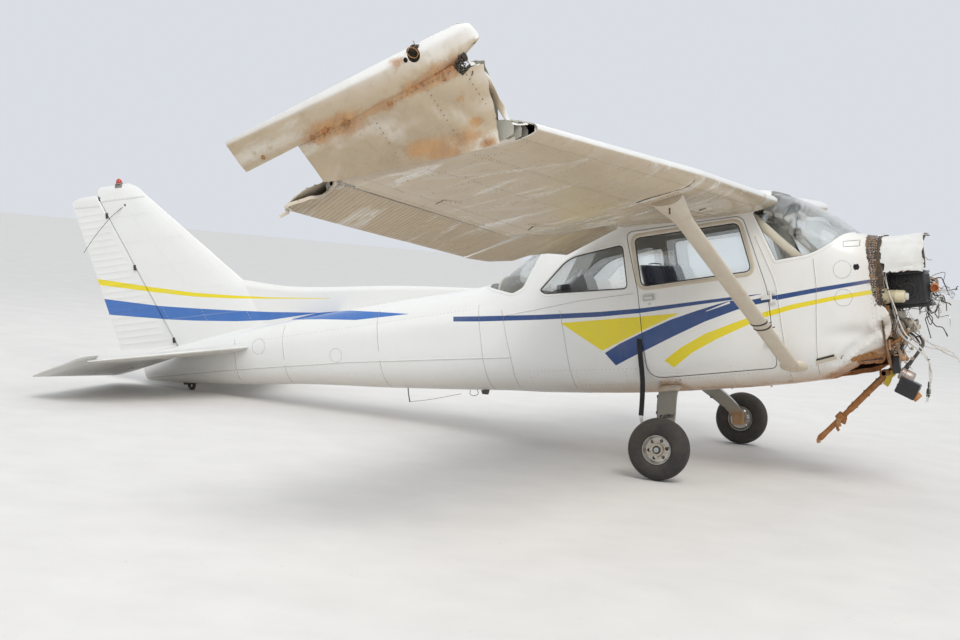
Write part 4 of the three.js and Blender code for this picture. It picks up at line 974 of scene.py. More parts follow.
class Palette:
    """Every material of the aircraft, each built once."""

    WHITE: Color = (0.79, 0.79, 0.765)
    BLUE: Color = (0.005, 0.05, 0.2)
    PALE_BLUE: Color = (0.035, 0.15, 0.46)
    YELLOW: Color = (0.80, 0.66, 0.008)
    RUST: Color = (0.33, 0.12, 0.035)
    # Wing's underside: tan that is partly dust and partly painted shade from below
    BEIGE: Color = (0.55, 0.44, 0.30)
    PALE_RUST: Color = (0.42, 0.19, 0.06)
    DARK_RUST: Color = (0.12, 0.05, 0.022)
    PALE_STAIN: Color = (0.50, 0.26, 0.09)
    DARK_STAIN: Color = (0.36, 0.19, 0.085)
    FLECK: Color = (0.2, 0.15, 0.1)
    # Wing's underside: paler patches, partly rubbed paint and partly painted sheen, and settled dust
    RUBBED: Color = (0.74, 0.68, 0.58)
    SETTLED: Color = (0.47, 0.355, 0.22)
    # Depth of the relief in metres, on paint, cloth and glass
    SKIN_DEPTH = 0.0012
    CLOTH_DEPTH = 0.0008
    GLASS_DEPTH = 0.004
    GLASS_RELIEF = 0.008
    GLASS_IOR = 1.3
    GLASS_ALPHA = 0.42
    COAT_ROUGHNESS = 0.12

    def __init__(self, place: Placement) -> None:
        """Build the shared groups.

        Args:
            place: Where the airframe stands, which the stripes follow.
        """
        self.place = place
        self.made: dict[str, bpy.types.Material] = {}
        self.ageing = self._ageing()
        self.livery = self._livery()
        self.fleece = self._weave()

    def _ageing(self) -> bpy.types.NodeTree:
        """Build the group that dusts, streaks and rusts a colour."""
        tree, g, source, target = group(
            "Ageing",
            [("Coordinates", "NodeSocketVector", None), ("Paint", "NodeSocketColor", (1, 1, 1)),
             ("Dust", "NodeSocketColor", (0.4, 0.3, 0.2)), ("Amount", "NodeSocketFloat", 0.3),
             ("Streaks", "NodeSocketFloat", 0.3), ("Scale", "NodeSocketFloat", 1.0),
             ("Gloss", "NodeSocketFloat", 0.35), ("Rust Mask", "NodeSocketFloat", 0.0),
             ("Grime Mask", "NodeSocketFloat", 0.0)],
            [("Color", "NodeSocketColor"), ("Roughness", "NodeSocketFloat"), ("Height", "NodeSocketFloat"),
             ("Rust", "NodeSocketFloat")],
        )
        at = g.add("ShaderNodeVectorMath", {0: source.outputs["Coordinates"]}, operation="SCALE")
        g.feed(at.inputs["Scale"], source.outputs["Scale"])
        at = at.outputs[0]
        large = g.noise(at, 1.7, 4.0, 0.6, 0.4)
        middle = g.noise(at, 9.0, 5.0, 0.62, 0.3)
        fine = g.noise(at, 75.0, 4.0, 0.6)
        runs = g.noise(g.stretch(at, (16.0, 16.0, 0.9)), 1.0, 4.0, 0.6)
        specks = g.noise(at, 38.0, 2.0, 0.5)
        cover = g.math("MULTIPLY", g.step(large, 0.33, 0.72), 0.55)
        cover = g.math("ADD", cover, g.math("MULTIPLY", g.step(middle, 0.35, 0.75), 0.45))
        cover = g.math("MULTIPLY", cover, source.outputs["Amount"])
        run = g.math("MULTIPLY", g.step(runs, 0.52, 0.78), source.outputs["Streaks"])
        grime = g.math("MULTIPLY", source.outputs["Grime Mask"], g.blend(middle, 0.55, 1.15))
        dust = g.math("ADD", g.math("ADD", cover, run), grime, clamp=True)
        dust = g.math("MULTIPLY", dust, g.blend(fine, 0.75, 1.2), clamp=True)
        patchy = g.math("MULTIPLY", g.math("SUBTRACT", middle, 0.5), 0.9)
        edge = g.math("ADD", source.outputs["Rust Mask"], patchy)
        edge = g.math("ADD", edge, g.math("MULTIPLY", g.math("SUBTRACT", fine, 0.5), 0.35))
        marked = g.step(source.outputs["Rust Mask"], 0.02, 0.2)
        stain = g.math("MULTIPLY", g.math("MULTIPLY", g.step(edge, 0.05, 0.52), marked), 0.8)
        rust = g.math("MULTIPLY", g.step(edge, 0.5, 0.86), marked)
        fleck = g.math("MULTIPLY", g.step(specks, 0.73, 0.76),
                       g.math("MULTIPLY", source.outputs["Amount"], 0.5))
        deep = g.mix(g.step(middle, 0.35, 0.65), self.RUST, self.PALE_RUST)
        deep = g.mix(g.step(fine, 0.45, 0.7), deep, self.DARK_RUST)
        color = g.mix(dust, source.outputs["Paint"], source.outputs["Dust"])
        color = g.mix(fleck, color, self.FLECK)
        brown = g.mix(g.step(runs, 0.35, 0.65), self.PALE_STAIN, self.DARK_STAIN)
        color = g.mix(stain, color, brown)
        color = g.mix(rust, color, deep)
        rough = g.math("ADD", source.outputs["Gloss"], g.math("MULTIPLY", dust, 0.3))
        rough = g.math("ADD", rough, g.math("MULTIPLY", g.math("SUBTRACT", fine, 0.5), 0.08))
        rough = g.blend(rust, rough, 0.85)
        height = g.math("ADD", g.math("MULTIPLY", fine, 0.25), g.math("MULTIPLY", dust, 0.25))
        height = g.math("ADD", height, g.math("MULTIPLY", rust, g.math("ADD", fine, middle)))
        for label, value in (("Color", color), ("Roughness", rough), ("Height", height), ("Rust", rust)):
            g.feed(target.inputs[label], value)
        return tree

    def _livery(self) -> bpy.types.NodeTree:
        """Build the group that paints the stripes on the sides."""
        tree, g, source, target = group(
            "Livery",
            [("Coordinates", "NodeSocketVector", None), ("Ground", "NodeSocketColor", self.WHITE),
             ("Blue", "NodeSocketColor", self.BLUE), ("Tail Blue", "NodeSocketColor", self.PALE_BLUE),
             ("Yellow", "NodeSocketColor", self.YELLOW)],
            [("Color", "NodeSocketColor"), ("Stripe", "NodeSocketFloat")],
        )
        p = self.place
        x0, y0, z0 = p.shift
        # The stripes are drawn in the aircraft's own frame, so the row's turn and place are taken back
        shift = (-(p.cos * x0 + p.sin * z0), -y0, p.sin * x0 - p.cos * z0)
        body = g.stretch(source.outputs["Coordinates"], (1, 1, 1), (0, math.atan2(p.sin, p.cos), 0), shift)
        parts = g.add("ShaderNodeSeparateXYZ", {0: body})
        x, z = parts.outputs[0], parts.outputs[2]
        color = source.outputs["Ground"]
        whole: Socket | None = None
        families = ((BLUE_BANDS, "Blue"), (TAIL_BANDS, "Tail Blue"), (YELLOW_BANDS, "Yellow"))
        for bands, label in families:
            mask: Socket | None = None
            for band in bands:
                here = band.mask(g, x, z)
                mask = here if mask is None else g.math("MAXIMUM", mask, here)
            if bands is BLUE_BANDS:
                mask = g.math("MULTIPLY", mask, g.math("SUBTRACT", 1.0, SLIT.mask(g, x, z)))
            color = g.mix(mask, color, source.outputs[label])
            whole = mask if whole is None else g.math("MAXIMUM", whole, mask)
        g.feed(target.inputs["Color"], color)
        g.feed(target.inputs["Stripe"], whole)
        return tree

    def _weave(self) -> bpy.types.NodeTree:
        """Build the group for woven cloth and webbing."""
        tree, g, source, target = group(
            "Weave",
            [("Coordinates", "NodeSocketVector", None), ("Yarn", "NodeSocketColor", (0.1, 0.1, 0.1)),
             ("Shade", "NodeSocketColor", (0.05, 0.05, 0.05)), ("Count", "NodeSocketFloat", 500.0)],
            [("Color", "NodeSocketColor"), ("Height", "NodeSocketFloat")],
        )
        at = source.outputs["Coordinates"]
        waves = []
        for turn in ((0.0, 0.0, 0.6), (0.0, 0.9, -0.8)):
            wave = g.add("ShaderNodeTexWave", {"Vector": g.stretch(at, turn=turn), "Distortion": 0.6,
                                               "Detail": 1.0})
            g.feed(wave.inputs["Scale"], source.outputs["Count"])
            waves.append(wave.outputs["Fac"])
        weave = g.math("MULTIPLY", waves[0], waves[1])
        soft = g.noise(at, 14.0, 4.0, 0.6)
        lint = g.noise(at, 160.0, 3.0, 0.6)
        shade = g.math("ADD", g.math("MULTIPLY", weave, 0.5), g.math("MULTIPLY", soft, 0.7))
        color = g.mix(g.step(shade, 0.25, 0.85), source.outputs["Shade"], source.outputs["Yarn"])
        color = g.mix(g.math("MULTIPLY", g.step(lint, 0.6, 0.75), 0.2), color, (0.4, 0.38, 0.34))
        g.feed(target.inputs["Color"], color)
        g.feed(target.inputs["Height"], g.math("ADD", weave, g.math("MULTIPLY", soft, 0.5)))
        return tree

    def _start(self, name: str) -> tuple[bpy.types.Material, Graph, bpy.types.Node, Socket]:
        """Make a material with a Principled shader and object coordinates."""
        material = bpy.data.materials.new(name)
        material.use_nodes = True
        g = Graph(material.node_tree)
        shader = material.node_tree.nodes["Principled BSDF"]
        at = g.add("ShaderNodeTexCoord").outputs["Object"]
        self.made[name] = material
        return material, g, shader, at

    def _age(self, g: Graph, at: Socket, paint: object, wear: Wear, grime: object = None) -> bpy.types.Node:
        """Place the ageing group and link the masks that a piece may carry."""
        rust = g.add("ShaderNodeAttribute", attribute_name="rust").outputs["Fac"]
        own = g.add("ShaderNodeAttribute", attribute_name="grime").outputs["Fac"]
        dirt = own if grime is None else g.math("ADD", own, grime, clamp=True)
        node = g.add("ShaderNodeGroup", node_tree=self.ageing)
        values = {"Coordinates": at, "Paint": paint, "Dust": wear.dust, "Amount": wear.amount,
                  "Streaks": wear.streaks, "Scale": wear.scale, "Gloss": wear.rough,
                  "Rust Mask": g.math("ADD", rust, wear.rust), "Grime Mask": dirt}
        for label, value in values.items():
            g.feed(node.inputs[label], value)
        return node

    def _finish(self, g: Graph, shader: bpy.types.Node, aged: bpy.types.Node, wear: Wear) -> None:
        """Link the aged colour, roughness and height to the shader."""
        g.feed(shader.inputs["Base Color"], aged.outputs["Color"])
        g.feed(shader.inputs["Roughness"], aged.outputs["Roughness"])
        bump = g.add("ShaderNodeBump", {"Height": aged.outputs["Height"], "Strength": wear.bump,
                                        "Distance": self.SKIN_DEPTH})
        g.feed(shader.inputs["Normal"], bump.outputs[0])
        if wear.metallic:
            metal = g.math("MULTIPLY", g.math("SUBTRACT", 1.0, aged.outputs["Rust"]), wear.metallic)
            g.feed(shader.inputs["Metallic"], metal)
        shader.inputs["Coat Weight"].default_value = wear.coat
        shader.inputs["Coat Roughness"].default_value = self.COAT_ROUGHNESS

    def tone(self, tone: Tone) -> bpy.types.Material:
        """Return the aged material of a plain tone."""
        if tone.name in self.made:
            return self.made[tone.name]
        material, g, shader, at = self._start(tone.name)
        shade = g.mix(g.noise(at, 6.0 * tone.wear.scale, 3.0), tuple(0.82 * c for c in tone.color),
                      tone.color)
        aged = self._age(g, at, shade, tone.wear)
        self._finish(g, shader, aged, tone.wear)
        return material

    def side_paint(self) -> bpy.types.Material:
        """Return the white side paint with its stripes, dirty along the belly."""
        name = "striped_paint"
        if name in self.made:
            return self.made[name]
        wear = Wear(rough=0.24, amount=0.07, streaks=0.05, coat=0.3, bump=0.22)
        material, g, shader, at = self._start(name)
        livery = g.add("ShaderNodeGroup", {"Coordinates": at}, node_tree=self.livery)
        facing = g.add("ShaderNodeTexCoord").outputs["Normal"]
        down = g.add("ShaderNodeSeparateXYZ", {0: facing}).outputs[2]
        below = g.math("MULTIPLY", g.step(down, -0.2, -0.85), 0.22)
        aged = self._age(g, at, livery.outputs["Color"], wear, below)
        g.feed(aged.inputs["Dust"], g.mix(g.noise(at, 3.0), (0.5, 0.42, 0.32), (0.56, 0.36, 0.19)))
        self._finish(g, shader, aged, wear)
        return material

    def wing_paint(self) -> bpy.types.Material:
        """Return the wing paint: white above; below, tan that is partly dust and partly painted shade, with
        paler patches of rubbed paint and painted sheen.
        """
        name = "wing_paint"
        if name in self.made:
            return self.made[name]
        # The dark brown dust colour is partly dust and partly painted shade.
        wear = Wear(rough=0.3, dust=(0.25, 0.185, 0.115), amount=0.16, streaks=0.0, coat=0.2, bump=0.3)
        material, g, shader, at = self._start(name)
        facing = g.add("ShaderNodeTexCoord").outputs["Normal"]
        down = g.add("ShaderNodeSeparateXYZ", {0: facing}).outputs[2]
        # Faces that point down turn tan: dust, and painted shade from below.
        below = g.step(down, 0.12, -0.28)
        drift = g.noise(g.stretch(at, (0.8, 2.2, 1.0), (0, 0, 0.5)), 1.6, 4.0, 0.6, 1.2)
        # Paler, less rough patches below: rubbed paint, with a painted sheen in their colour.
        rubbed_sheen = g.step(drift, 0.52, 0.66)
        beige = g.mix(rubbed_sheen, self.BEIGE, self.RUBBED)
        beige = g.mix(g.step(g.noise(at, 22.0, 4.0), 0.5, 0.8), beige, self.SETTLED)
        paint = g.mix(below, self.WHITE, beige)
        aged = self._age(g, at, paint, wear)
        self._finish(g, shader, aged, wear)
        shine = g.blend(g.math("MULTIPLY", below, rubbed_sheen), aged.outputs["Roughness"], 0.2)
        g.feed(shader.inputs["Roughness"], shine)
        return material

    def cloth(self, name: str, yarn: Color, shade: Color, count: float,
              sheen: float = 0.25) -> bpy.types.Material:
        """Return a woven material.

        Args:
            name: Its name.
            yarn: Colour of the raised yarn.
            shade: Colour between the yarns.
            count: Fineness of the weave.
            sheen: Weight of the sheen.

        Returns:
            The material.
        """
        if name in self.made:
            return self.made[name]
        material, g, shader, at = self._start(name)
        weave = g.add("ShaderNodeGroup", node_tree=self.fleece)
        for label, value in (("Coordinates", at), ("Yarn", yarn), ("Shade", shade), ("Count", count)):
            g.feed(weave.inputs[label], value)
        g.feed(shader.inputs["Base Color"], weave.outputs["Color"])
        bump = g.add("ShaderNodeBump", {"Height": weave.outputs["Height"], "Strength": 0.5,
                                        "Distance": self.CLOTH_DEPTH})
        g.feed(shader.inputs["Normal"], bump.outputs[0])
        g.feed(shader.inputs["Roughness"], g.blend(g.noise(at, 30.0), 0.75, 0.95))
        shader.inputs["Sheen Weight"].default_value = sheen
        shader.inputs["Sheen Roughness"].default_value = 0.5
        return material

    def glass(self) -> bpy.types.Material:
        """Return clear glazing with haze, fine scratches and dust towards its edges."""
        name = "glazing"
        if name in self.made:
            return self.made[name]
        material, g, shader, at = self._start(name)
        haze = g.step(g.noise(at, 5.0, 4.0, 0.6), 0.3, 0.8)
        scratch = g.step(g.noise(g.stretch(at, (3.0, 3.0, 60.0), (0.4, 0.2, 0.0)), 6.0, 2.0), 0.62, 0.68)
        dust = g.add("ShaderNodeAttribute", attribute_name="grime").outputs["Fac"]
        color = g.mix(haze, (0.86, 0.93, 0.92), (0.93, 0.95, 0.93))
        color = g.mix(g.math("MULTIPLY", dust, 0.8), color, (0.6, 0.57, 0.5))
        g.feed(shader.inputs["Base Color"], color)
        rough = g.math("ADD", g.math("MULTIPLY", haze, 0.025), g.math("MULTIPLY", scratch, 0.03))
        g.feed(shader.inputs["Roughness"], g.math("ADD", rough, g.math("MULTIPLY", dust, 0.4)))
        bump = g.add("ShaderNodeBump", {"Height": g.noise(at, 4.0, 2.0), "Strength": self.GLASS_RELIEF,
                                        "Distance": self.GLASS_DEPTH})
        g.feed(shader.inputs["Normal"], bump.outputs[0])
        shader.inputs["Transmission Weight"].default_value = 1.0
        shader.inputs["IOR"].default_value = self.GLASS_IOR
        shader.inputs["Alpha"].default_value = self.GLASS_ALPHA
        return material


class Tones(Enum):
    """The plain tones of the aircraft's smaller parts."""

    WHITE = Tone("plain_white", (0.78, 0.78, 0.75), Wear(0.3, amount=0.14, streaks=0.12, coat=0.25,
                                                         bump=0.25))
    BEIGE = Tone("dusty_white", (0.68, 0.6, 0.48), Wear(0.4, amount=0.3, streaks=0.2, coat=0.1))
    JAMB = Tone("door_jamb", (0.34, 0.34, 0.33), Wear(0.55, amount=0.35, streaks=0.1))
    TRIM = Tone("cabin_trim", (0.3, 0.29, 0.26), Wear(0.75, amount=0.2, streaks=0.0, scale=2.0))
    LINER = Tone("headliner", (0.5, 0.48, 0.43), Wear(0.85, amount=0.15, streaks=0.0, scale=2.0))
    ZINC = Tone("primed_inside", (0.46, 0.45, 0.39), Wear(0.6, amount=0.4, streaks=0.2, scale=2.0,
                                                          rust=0.05))
    PITCH = Tone("battery_black", (0.016, 0.016, 0.018), Wear(0.32, (0.13, 0.12, 0.11), 0.12, 0.0, 4.0,
                                                              0.5))
    HEADS = Tone("dulled_heads", (0.33, 0.325, 0.31), Wear(0.5, amount=0.3, streaks=0.0, scale=3.0))
    BROWN_HEADS = Tone("stained_heads", (0.26, 0.2, 0.14), Wear(0.55, amount=0.3, streaks=0.0, scale=3.0))
    SEAM = Tone("seam_dirt", (0.2, 0.19, 0.175), Wear(0.7, amount=0.4, streaks=0.0, scale=3.0))
    ALLOY = Tone("bare_alloy", (0.62, 0.62, 0.6), Wear(0.32, amount=0.18, streaks=0.0, scale=4.0,
                                                       metallic=0.9))
    CAST = Tone("cast_wheel", (0.66, 0.65, 0.62), Wear(0.42, amount=0.3, streaks=0.0, scale=6.0,
                                                       metallic=0.75))
    STEEL = Tone("leg_steel", (0.42, 0.47, 0.53), Wear(0.36, amount=0.2, streaks=0.15, scale=4.0,
                                                       metallic=0.55))
    DARK = Tone("oily_metal", (0.06, 0.055, 0.05), Wear(0.5, (0.12, 0.085, 0.05), 0.6, 0.3, 5.0, 0.8, 0.5,
                                                        rust=0.12))
    RUSTY = Tone("flaking_rust", (0.22, 0.1, 0.045), Wear(0.8, (0.3, 0.16, 0.07), 0.5, 0.2, 4.0, 1.0, 0.2,
                                                          rust=0.42))
    GREY = Tone("grey_steel", (0.28, 0.28, 0.27), Wear(0.45, amount=0.35, streaks=0.1, scale=5.0,
                                                       metallic=0.6))
    SEAL = Tone("rubber_seal", (0.025, 0.025, 0.026), Wear(0.6, amount=0.25, streaks=0.0, scale=4.0))
    BLACK = Tone("black_moulding", (0.03, 0.03, 0.032), Wear(0.45, amount=0.25, streaks=0.0, scale=4.0))
    TYRE = Tone("tyre_rubber", (0.02, 0.02, 0.021), Wear(0.72, (0.16, 0.125, 0.09), 0.28, 0.0, 3.0, 0.6))
    RED = Tone("red_lens", (0.55, 0.03, 0.015), Wear(0.15, amount=0.1, streaks=0.0, scale=6.0, coat=0.8))
    CREAM = Tone("cream_moulding", (0.72, 0.64, 0.42), Wear(0.4, amount=0.35, streaks=0.25, scale=5.0))
    SHEATH = Tone("white_sheath", (0.72, 0.71, 0.67), Wear(0.5, amount=0.35, streaks=0.1, scale=6.0))
    ORANGE = Tone("orange_hose", (0.62, 0.2, 0.04), Wear(0.55, amount=0.35, streaks=0.1, scale=5.0))
    YELLOW = Tone("yellow_tag", (0.75, 0.55, 0.04), Wear(0.5, amount=0.3, streaks=0.1, scale=5.0))
    DIAL = Tone("dial_face", (0.02, 0.02, 0.022), Wear(0.3, amount=0.1, streaks=0.0, scale=8.0, coat=0.6))
    MARK = Tone("dial_marks", (0.8, 0.8, 0.76), Wear(0.5, amount=0.1, streaks=0.0, scale=8.0))
    SKYBLUE = Tone("pale_moulding", (0.5, 0.55, 0.58), Wear(0.5, amount=0.3, streaks=0.0, scale=6.0))
    FLOOR = Tone("studio_floor", (0.72, 0.705, 0.68), Wear(0.75, (0.68, 0.66, 0.63), 0.3, 0.0, 0.4, 0.05))


class Rivets:
    """Raised heads set along lines on a surface by a geometry node tree."""

    # Radius at the top against the foot, how deep the foot sits against the height, and the spread of size
    CROWN = 0.55
    SUNK = 0.35
    SMALLEST = 0.88
    LARGEST = 1.1
    SEED = 5

    def __init__(self, shop: Workshop, palette: Palette) -> None:
        """Build the tree once.

        Args:
            shop: Makes the pieces.
            palette: Gives the materials.
        """
        self.shop = shop
        self.palette = palette
        self.tree = self._tree()

    def _tree(self) -> bpy.types.NodeTree:
        """Build the tree: points in, a domed head on each, turned to the surface."""
        tree = bpy.data.node_groups.new("Rivet heads", "GeometryNodeTree")
        face = tree.interface
        face.new_socket("Points", in_out="INPUT", socket_type="NodeSocketGeometry")
        face.new_socket("Radius", in_out="INPUT", socket_type="NodeSocketFloat")
        face.new_socket("Height", in_out="INPUT", socket_type="NodeSocketFloat")
        face.new_socket("Sides", in_out="INPUT", socket_type="NodeSocketInt")
        face.new_socket("Finish", in_out="INPUT", socket_type="NodeSocketMaterial")
        face.new_socket("Heads", in_out="OUTPUT", socket_type="NodeSocketGeometry")
        g = Graph(tree)
        source, target = g.add("NodeGroupInput"), g.add("NodeGroupOutput")
        head = g.add("GeometryNodeMeshCone", {
            "Vertices": source.outputs["Sides"], "Radius Bottom": source.outputs["Radius"],
            "Radius Top": g.math("MULTIPLY", source.outputs["Radius"], self.CROWN),
            "Depth": source.outputs["Height"],
        })
        lower = g.add("GeometryNodeTransform", {"Geometry": head.outputs["Mesh"]})
        drop = g.add("ShaderNodeCombineXYZ", {2: g.math("MULTIPLY", source.outputs["Height"], -self.SUNK)})
        g.feed(lower.inputs["Translation"], drop.outputs[0])
        facing = g.add("GeometryNodeInputNamedAttribute", {"Name": "facing"}, data_type="FLOAT_VECTOR")
        turn = g.add("FunctionNodeAlignRotationToVector", {"Vector": facing.outputs[0]}, axis="Z")
        size = g.add("FunctionNodeRandomValue", data_type="FLOAT")
        for socket in size.inputs:
            if socket.name == "Min" and socket.type == "VALUE":
                socket.default_value = self.SMALLEST
            if socket.name == "Max" and socket.type == "VALUE":
                socket.default_value = self.LARGEST
            if socket.name == "Seed":
                socket.default_value = self.SEED
        scale = next(s for s in size.outputs if s.type == "VALUE")
        put = g.add("GeometryNodeInstanceOnPoints", {
            "Points": source.outputs["Points"], "Instance": lower.outputs[0], "Rotation": turn.outputs[0],
            "Scale": scale,
        })
        real = g.add("GeometryNodeRealizeInstances", {0: put.outputs[0]})
        done = g.add("GeometryNodeSetMaterial", {"Geometry": real.outputs[0],
                                                 "Material": source.outputs["Finish"]})
        g.feed(target.inputs[0], done.outputs[0])
        return tree

    def set_along(
        self,
        name: str,
        places: Sequence[tuple[np.ndarray, np.ndarray]],
        body: str = ROOT,
        tone: Tones = Tones.WHITE,
        slot: Slot = Slot.WHITE,
        radius: float = 3.6,
        height: float = 2.4,
        sides: int = 6,
        finish: bpy.types.Material | None = None,
    ) -> bpy.types.Object:
        """Set heads at places on a surface.

        Args:
            name: The piece's name.
            places: Pairs of points and outward normals, in the aircraft's frame.
            body: The CAD body that they ride on.
            tone: Their finish.
            slot: The record's slot; it is not used.
            radius: Of a head, in millimetres.
            height: Of a head, in millimetres.
            sides: Sides of a head.
            finish: A material to use instead of the tone.

        Returns:
            The object.
        """
        place = self.shop.place
        points = place.row(np.vstack([p for p, _ in places]))
        ahead = np.vstack([p + n for p, n in places])
        facing = (place.row(ahead) - points) / MM
        cloud = bpy.data.meshes.new(name)
        cloud.from_pydata(points.tolist(), [], [])
        layer = cloud.attributes.new("facing", "FLOAT_VECTOR", "POINT")
        layer.data.foreach_set("vector", facing.astype(np.float32).ravel())
        obj = bpy.data.objects.new(name, cloud)
        self.shop.collection.objects.link(obj)
        modifier = obj.modifiers.new("heads", "NODES")
        modifier.node_group = self.tree
        values = {"Radius": radius * MM, "Height": height * MM, "Sides": sides,
                  "Finish": finish or self.palette.tone(tone.value)}
        for item in self.tree.interface.items_tree:
            if item.in_out == "INPUT" and item.name in values:
                modifier[item.identifier] = values[item.name]
        self.shop.bake(obj)
        obj.data.shade_smooth()
        obj.data.set_sharp_from_angle(angle=math.radians(50))
        return self.shop.hand_over(obj, slot, body)


# Loose leads and the belt, by the points that the CAD's own solids run through

TWIN_LEAD = (
    (15.3, -330, 1200), (32, -330.5, 1198.5), (48, -336, 1184), (54, -346, 1160), (52, -358, 1130),
    (50, -385, 1078), (54, -412, 1020), (64, -436, 955), (76, -446, 900), (92, -440, 845), (104, -420, 780),
    (116, -400, 710), (138, -380, 640), (172, -362, 585), (212, -348, 545), (250, -338, 500),
    (276, -332, 445), (286, -330, 385), (282, -330, 325), (272, -330, 272),
)
SINGLE_LEAD = (
    (225.2, -180.1, 599.4), (229, -183, 586), (238, -188, 573), (258, -196, 559), (290, -206, 540),
    (330, -214, 520), (376, -220, 500), (420, -224, 474), (456, -226, 438), (480, -228, 396),
    (492, -228, 350), (496, -228, 306),
)
BELT = (
    (-1757, -550.2, 800), (-1758, -552, 765), (-1758, -558, 722), (-1758, -563, 680), (-1758, -565, 600),
    (-1758, -565, 520), (-1761, -565, 440), (-1770, -565, 360), (-1783, -565, 280), (-1798, -565, 196),
)


class LooseEnds:
    """The leads that hang from the firewall and the belt caught in the door."""

    # In millimetres: a core's radius, half the distance of the twin lead's cores, the twin and single leads'
    # widths, and the belt's width and thickness
    CORE = 4.0
    HALF_PITCH = 3.6
    TWIN_WIDTH = 16
    SINGLE_WIDTH = 8
    BELT_WIDTH = 38
    BELT_THICK = 3.2
    # Points of the twin lead's route that a tie is on
    TIES = (9, 20, 33, 47, 60)

    def __init__(self, shop: Workshop, palette: Palette) -> None:
        """Keep the tools."""
        self.shop = shop
        self.palette = palette

    def declare(
        self, route: np.ndarray,
    ) -> None:
        """Turn a cord's route into the row's metres, and keep nothing of it."""
        row = self.shop.place.row(route)

    def twin(self) -> None:
        """Build the white twin lead with its clips and its connector."""
        route = spline(TWIN_LEAD, 72)
        side = np.array([1.0, 0, 0])
        cores = []
        for way in (RIGHT, LEFT):
            tangent = np.gradient(route, axis=0)
            across = np.cross(tangent, side)
            across /= np.linalg.norm(across, axis=1)[:, None]
            cores.append(pipe(route + across * way * self.HALF_PITCH, self.CORE, 12))
        lead = self.shop.make("twin_lead_sheath", cores[0].plus(cores[1]),
                              [self.palette.tone(Tones.SHEATH.value)],
                              Slot.SHEATH, replaces=("twin_lead",))
        end, onwards = route[-1], route[-1] - route[-2]
        onwards /= np.linalg.norm(onwards)
        shape = [(0.6, 9), (4, 11), (38, 11), (40, 8.5), (46, 8.5), (48, 13), (58, 15.5), (84, 15.5),
                 (88, 12),
                 (92, 12), (94, 15), (100, 14), (110, 10), (117, 7)]
        plug = self.shop.make("lead_plug", turned(shape, end, end + onwards, 24),
                              [self.palette.tone(Tones.BLACK.value)],
                              Slot.BLACK, replaces=("lead_connector",))
        wraps = []
        for k in self.TIES:
            along = route[k + 1] - route[k]
            wraps.append(turned([(0, 6), (1, 8.4), (7, 8.4), (8, 6)], route[k], route[k] + along, 14))
        ties = self.shop.make("twin_lead_ties", joined(wraps), [self.palette.tone(Tones.SEAL.value)],
                              Slot.BLACK)
        self.declare(route)

    def single(self) -> None:
        """Build the single lead with its crimped eye."""
        route = spline(SINGLE_LEAD, 46)
        lead = self.shop.make("single_lead_sheath", pipe(route, self.CORE, 14),
                              [self.palette.tone(Tones.SHEATH.value)],
                              Slot.SHEATH, replaces=("single_lead",))
        end, onwards = route[-1], route[-1] - route[-2]
        onwards /= np.linalg.norm(onwards)
        x, y, z = end
        crimp = turned([(-14, 4.1), (-12, 4.6), (4, 4.6), (6, 2.8), (9, 2.8)], end, end + onwards, 16)
        turn = np.linspace(0, 2 * math.pi, 25)[:-1]
        ring = [(x - 3 + 5.2 * math.sin(t), y, z - 14 + 6.0 * math.cos(t)) for t in turn]
        eye = ribbon(np.array(ring), np.tile((0.0, 1.0, 0.0), (24, 1)), 3.4, 1.8, True)
        tag = self.shop.make("single_lead_eye", crimp.plus(eye), [self.palette.tone(Tones.ALLOY.value)],
                             Slot.BRIGHT)
        self.declare(route)

    def belt(self) -> None:
        """Build the belt's webbing and its tongue."""
        route = spline(BELT, 40)
        tangent = np.gradient(route, axis=0)
        tangent /= np.linalg.norm(tangent, axis=1)[:, None]
        rings = []
        for k, (p, t) in enumerate(zip(route, tangent)):
            wide = np.array([1.0, 0, 0]) - t * t[0]
            wide /= np.linalg.norm(wide)
            thin = np.cross(t, wide)
            curl = 1.6 * math.sin(k * 0.5)
            shape = [(-0.5, 0.35), (-0.47, 0.5), (-0.2, 0.5), (0.2, 0.5), (0.47, 0.5), (0.5, 0.35),
                     (0.5, -0.35), (0.47, -0.5), (0.2, -0.5), (-0.2, -0.5), (-0.47, -0.5), (-0.5, -0.35)]
            rings.append([
                p + wide * (u * self.BELT_WIDTH)
                + thin * (v * self.BELT_THICK + curl * (abs(u) * 2) ** 2 * 0.4)
                for u, v in shape
            ])
        webbing = self.palette.cloth("belt_webbing", (0.03, 0.03, 0.033), (0.008, 0.008, 0.009), 900.0, 0.1)
        strap = self.shop.make("belt_webbing", loft(rings), [webbing], Slot.WEBBING,
                               replaces=("belt_strap",), smooth=60)
        x, y = route[-1][:2]
        lean = tangent[-1]
        foot = route[-1] + lean * 2
        plate = prism(rounded([(-15, 0, 4), (15, 0, 4), (15, 30, 6), (9, 62, 8), (-9, 62, 8), (-15, 30, 6)],
                              5), -1.3, 1.3)
        slot = prism(rounded([(-11, 6, 3), (11, 6, 3), (11, 12, 3), (-11, 12, 3)], 3), -3, 3)
        tongue = carve(plate, [slot]).bent(lambda v: np.stack([v[:, 0] + x, v[:, 1] + y,
                                                               foot[2] + 10 - v[:, 2]], 1))
        metal = self.shop.make("belt_tongue", tongue, [self.palette.tone(Tones.ALLOY.value)], Slot.BRIGHT,
                               bevel=0.6)
        self.declare(route)

    def build(self) -> None:
        """Build everything."""
        self.twin()
        self.single()
        self.belt()


# Fuselage

WIDE = 900.0


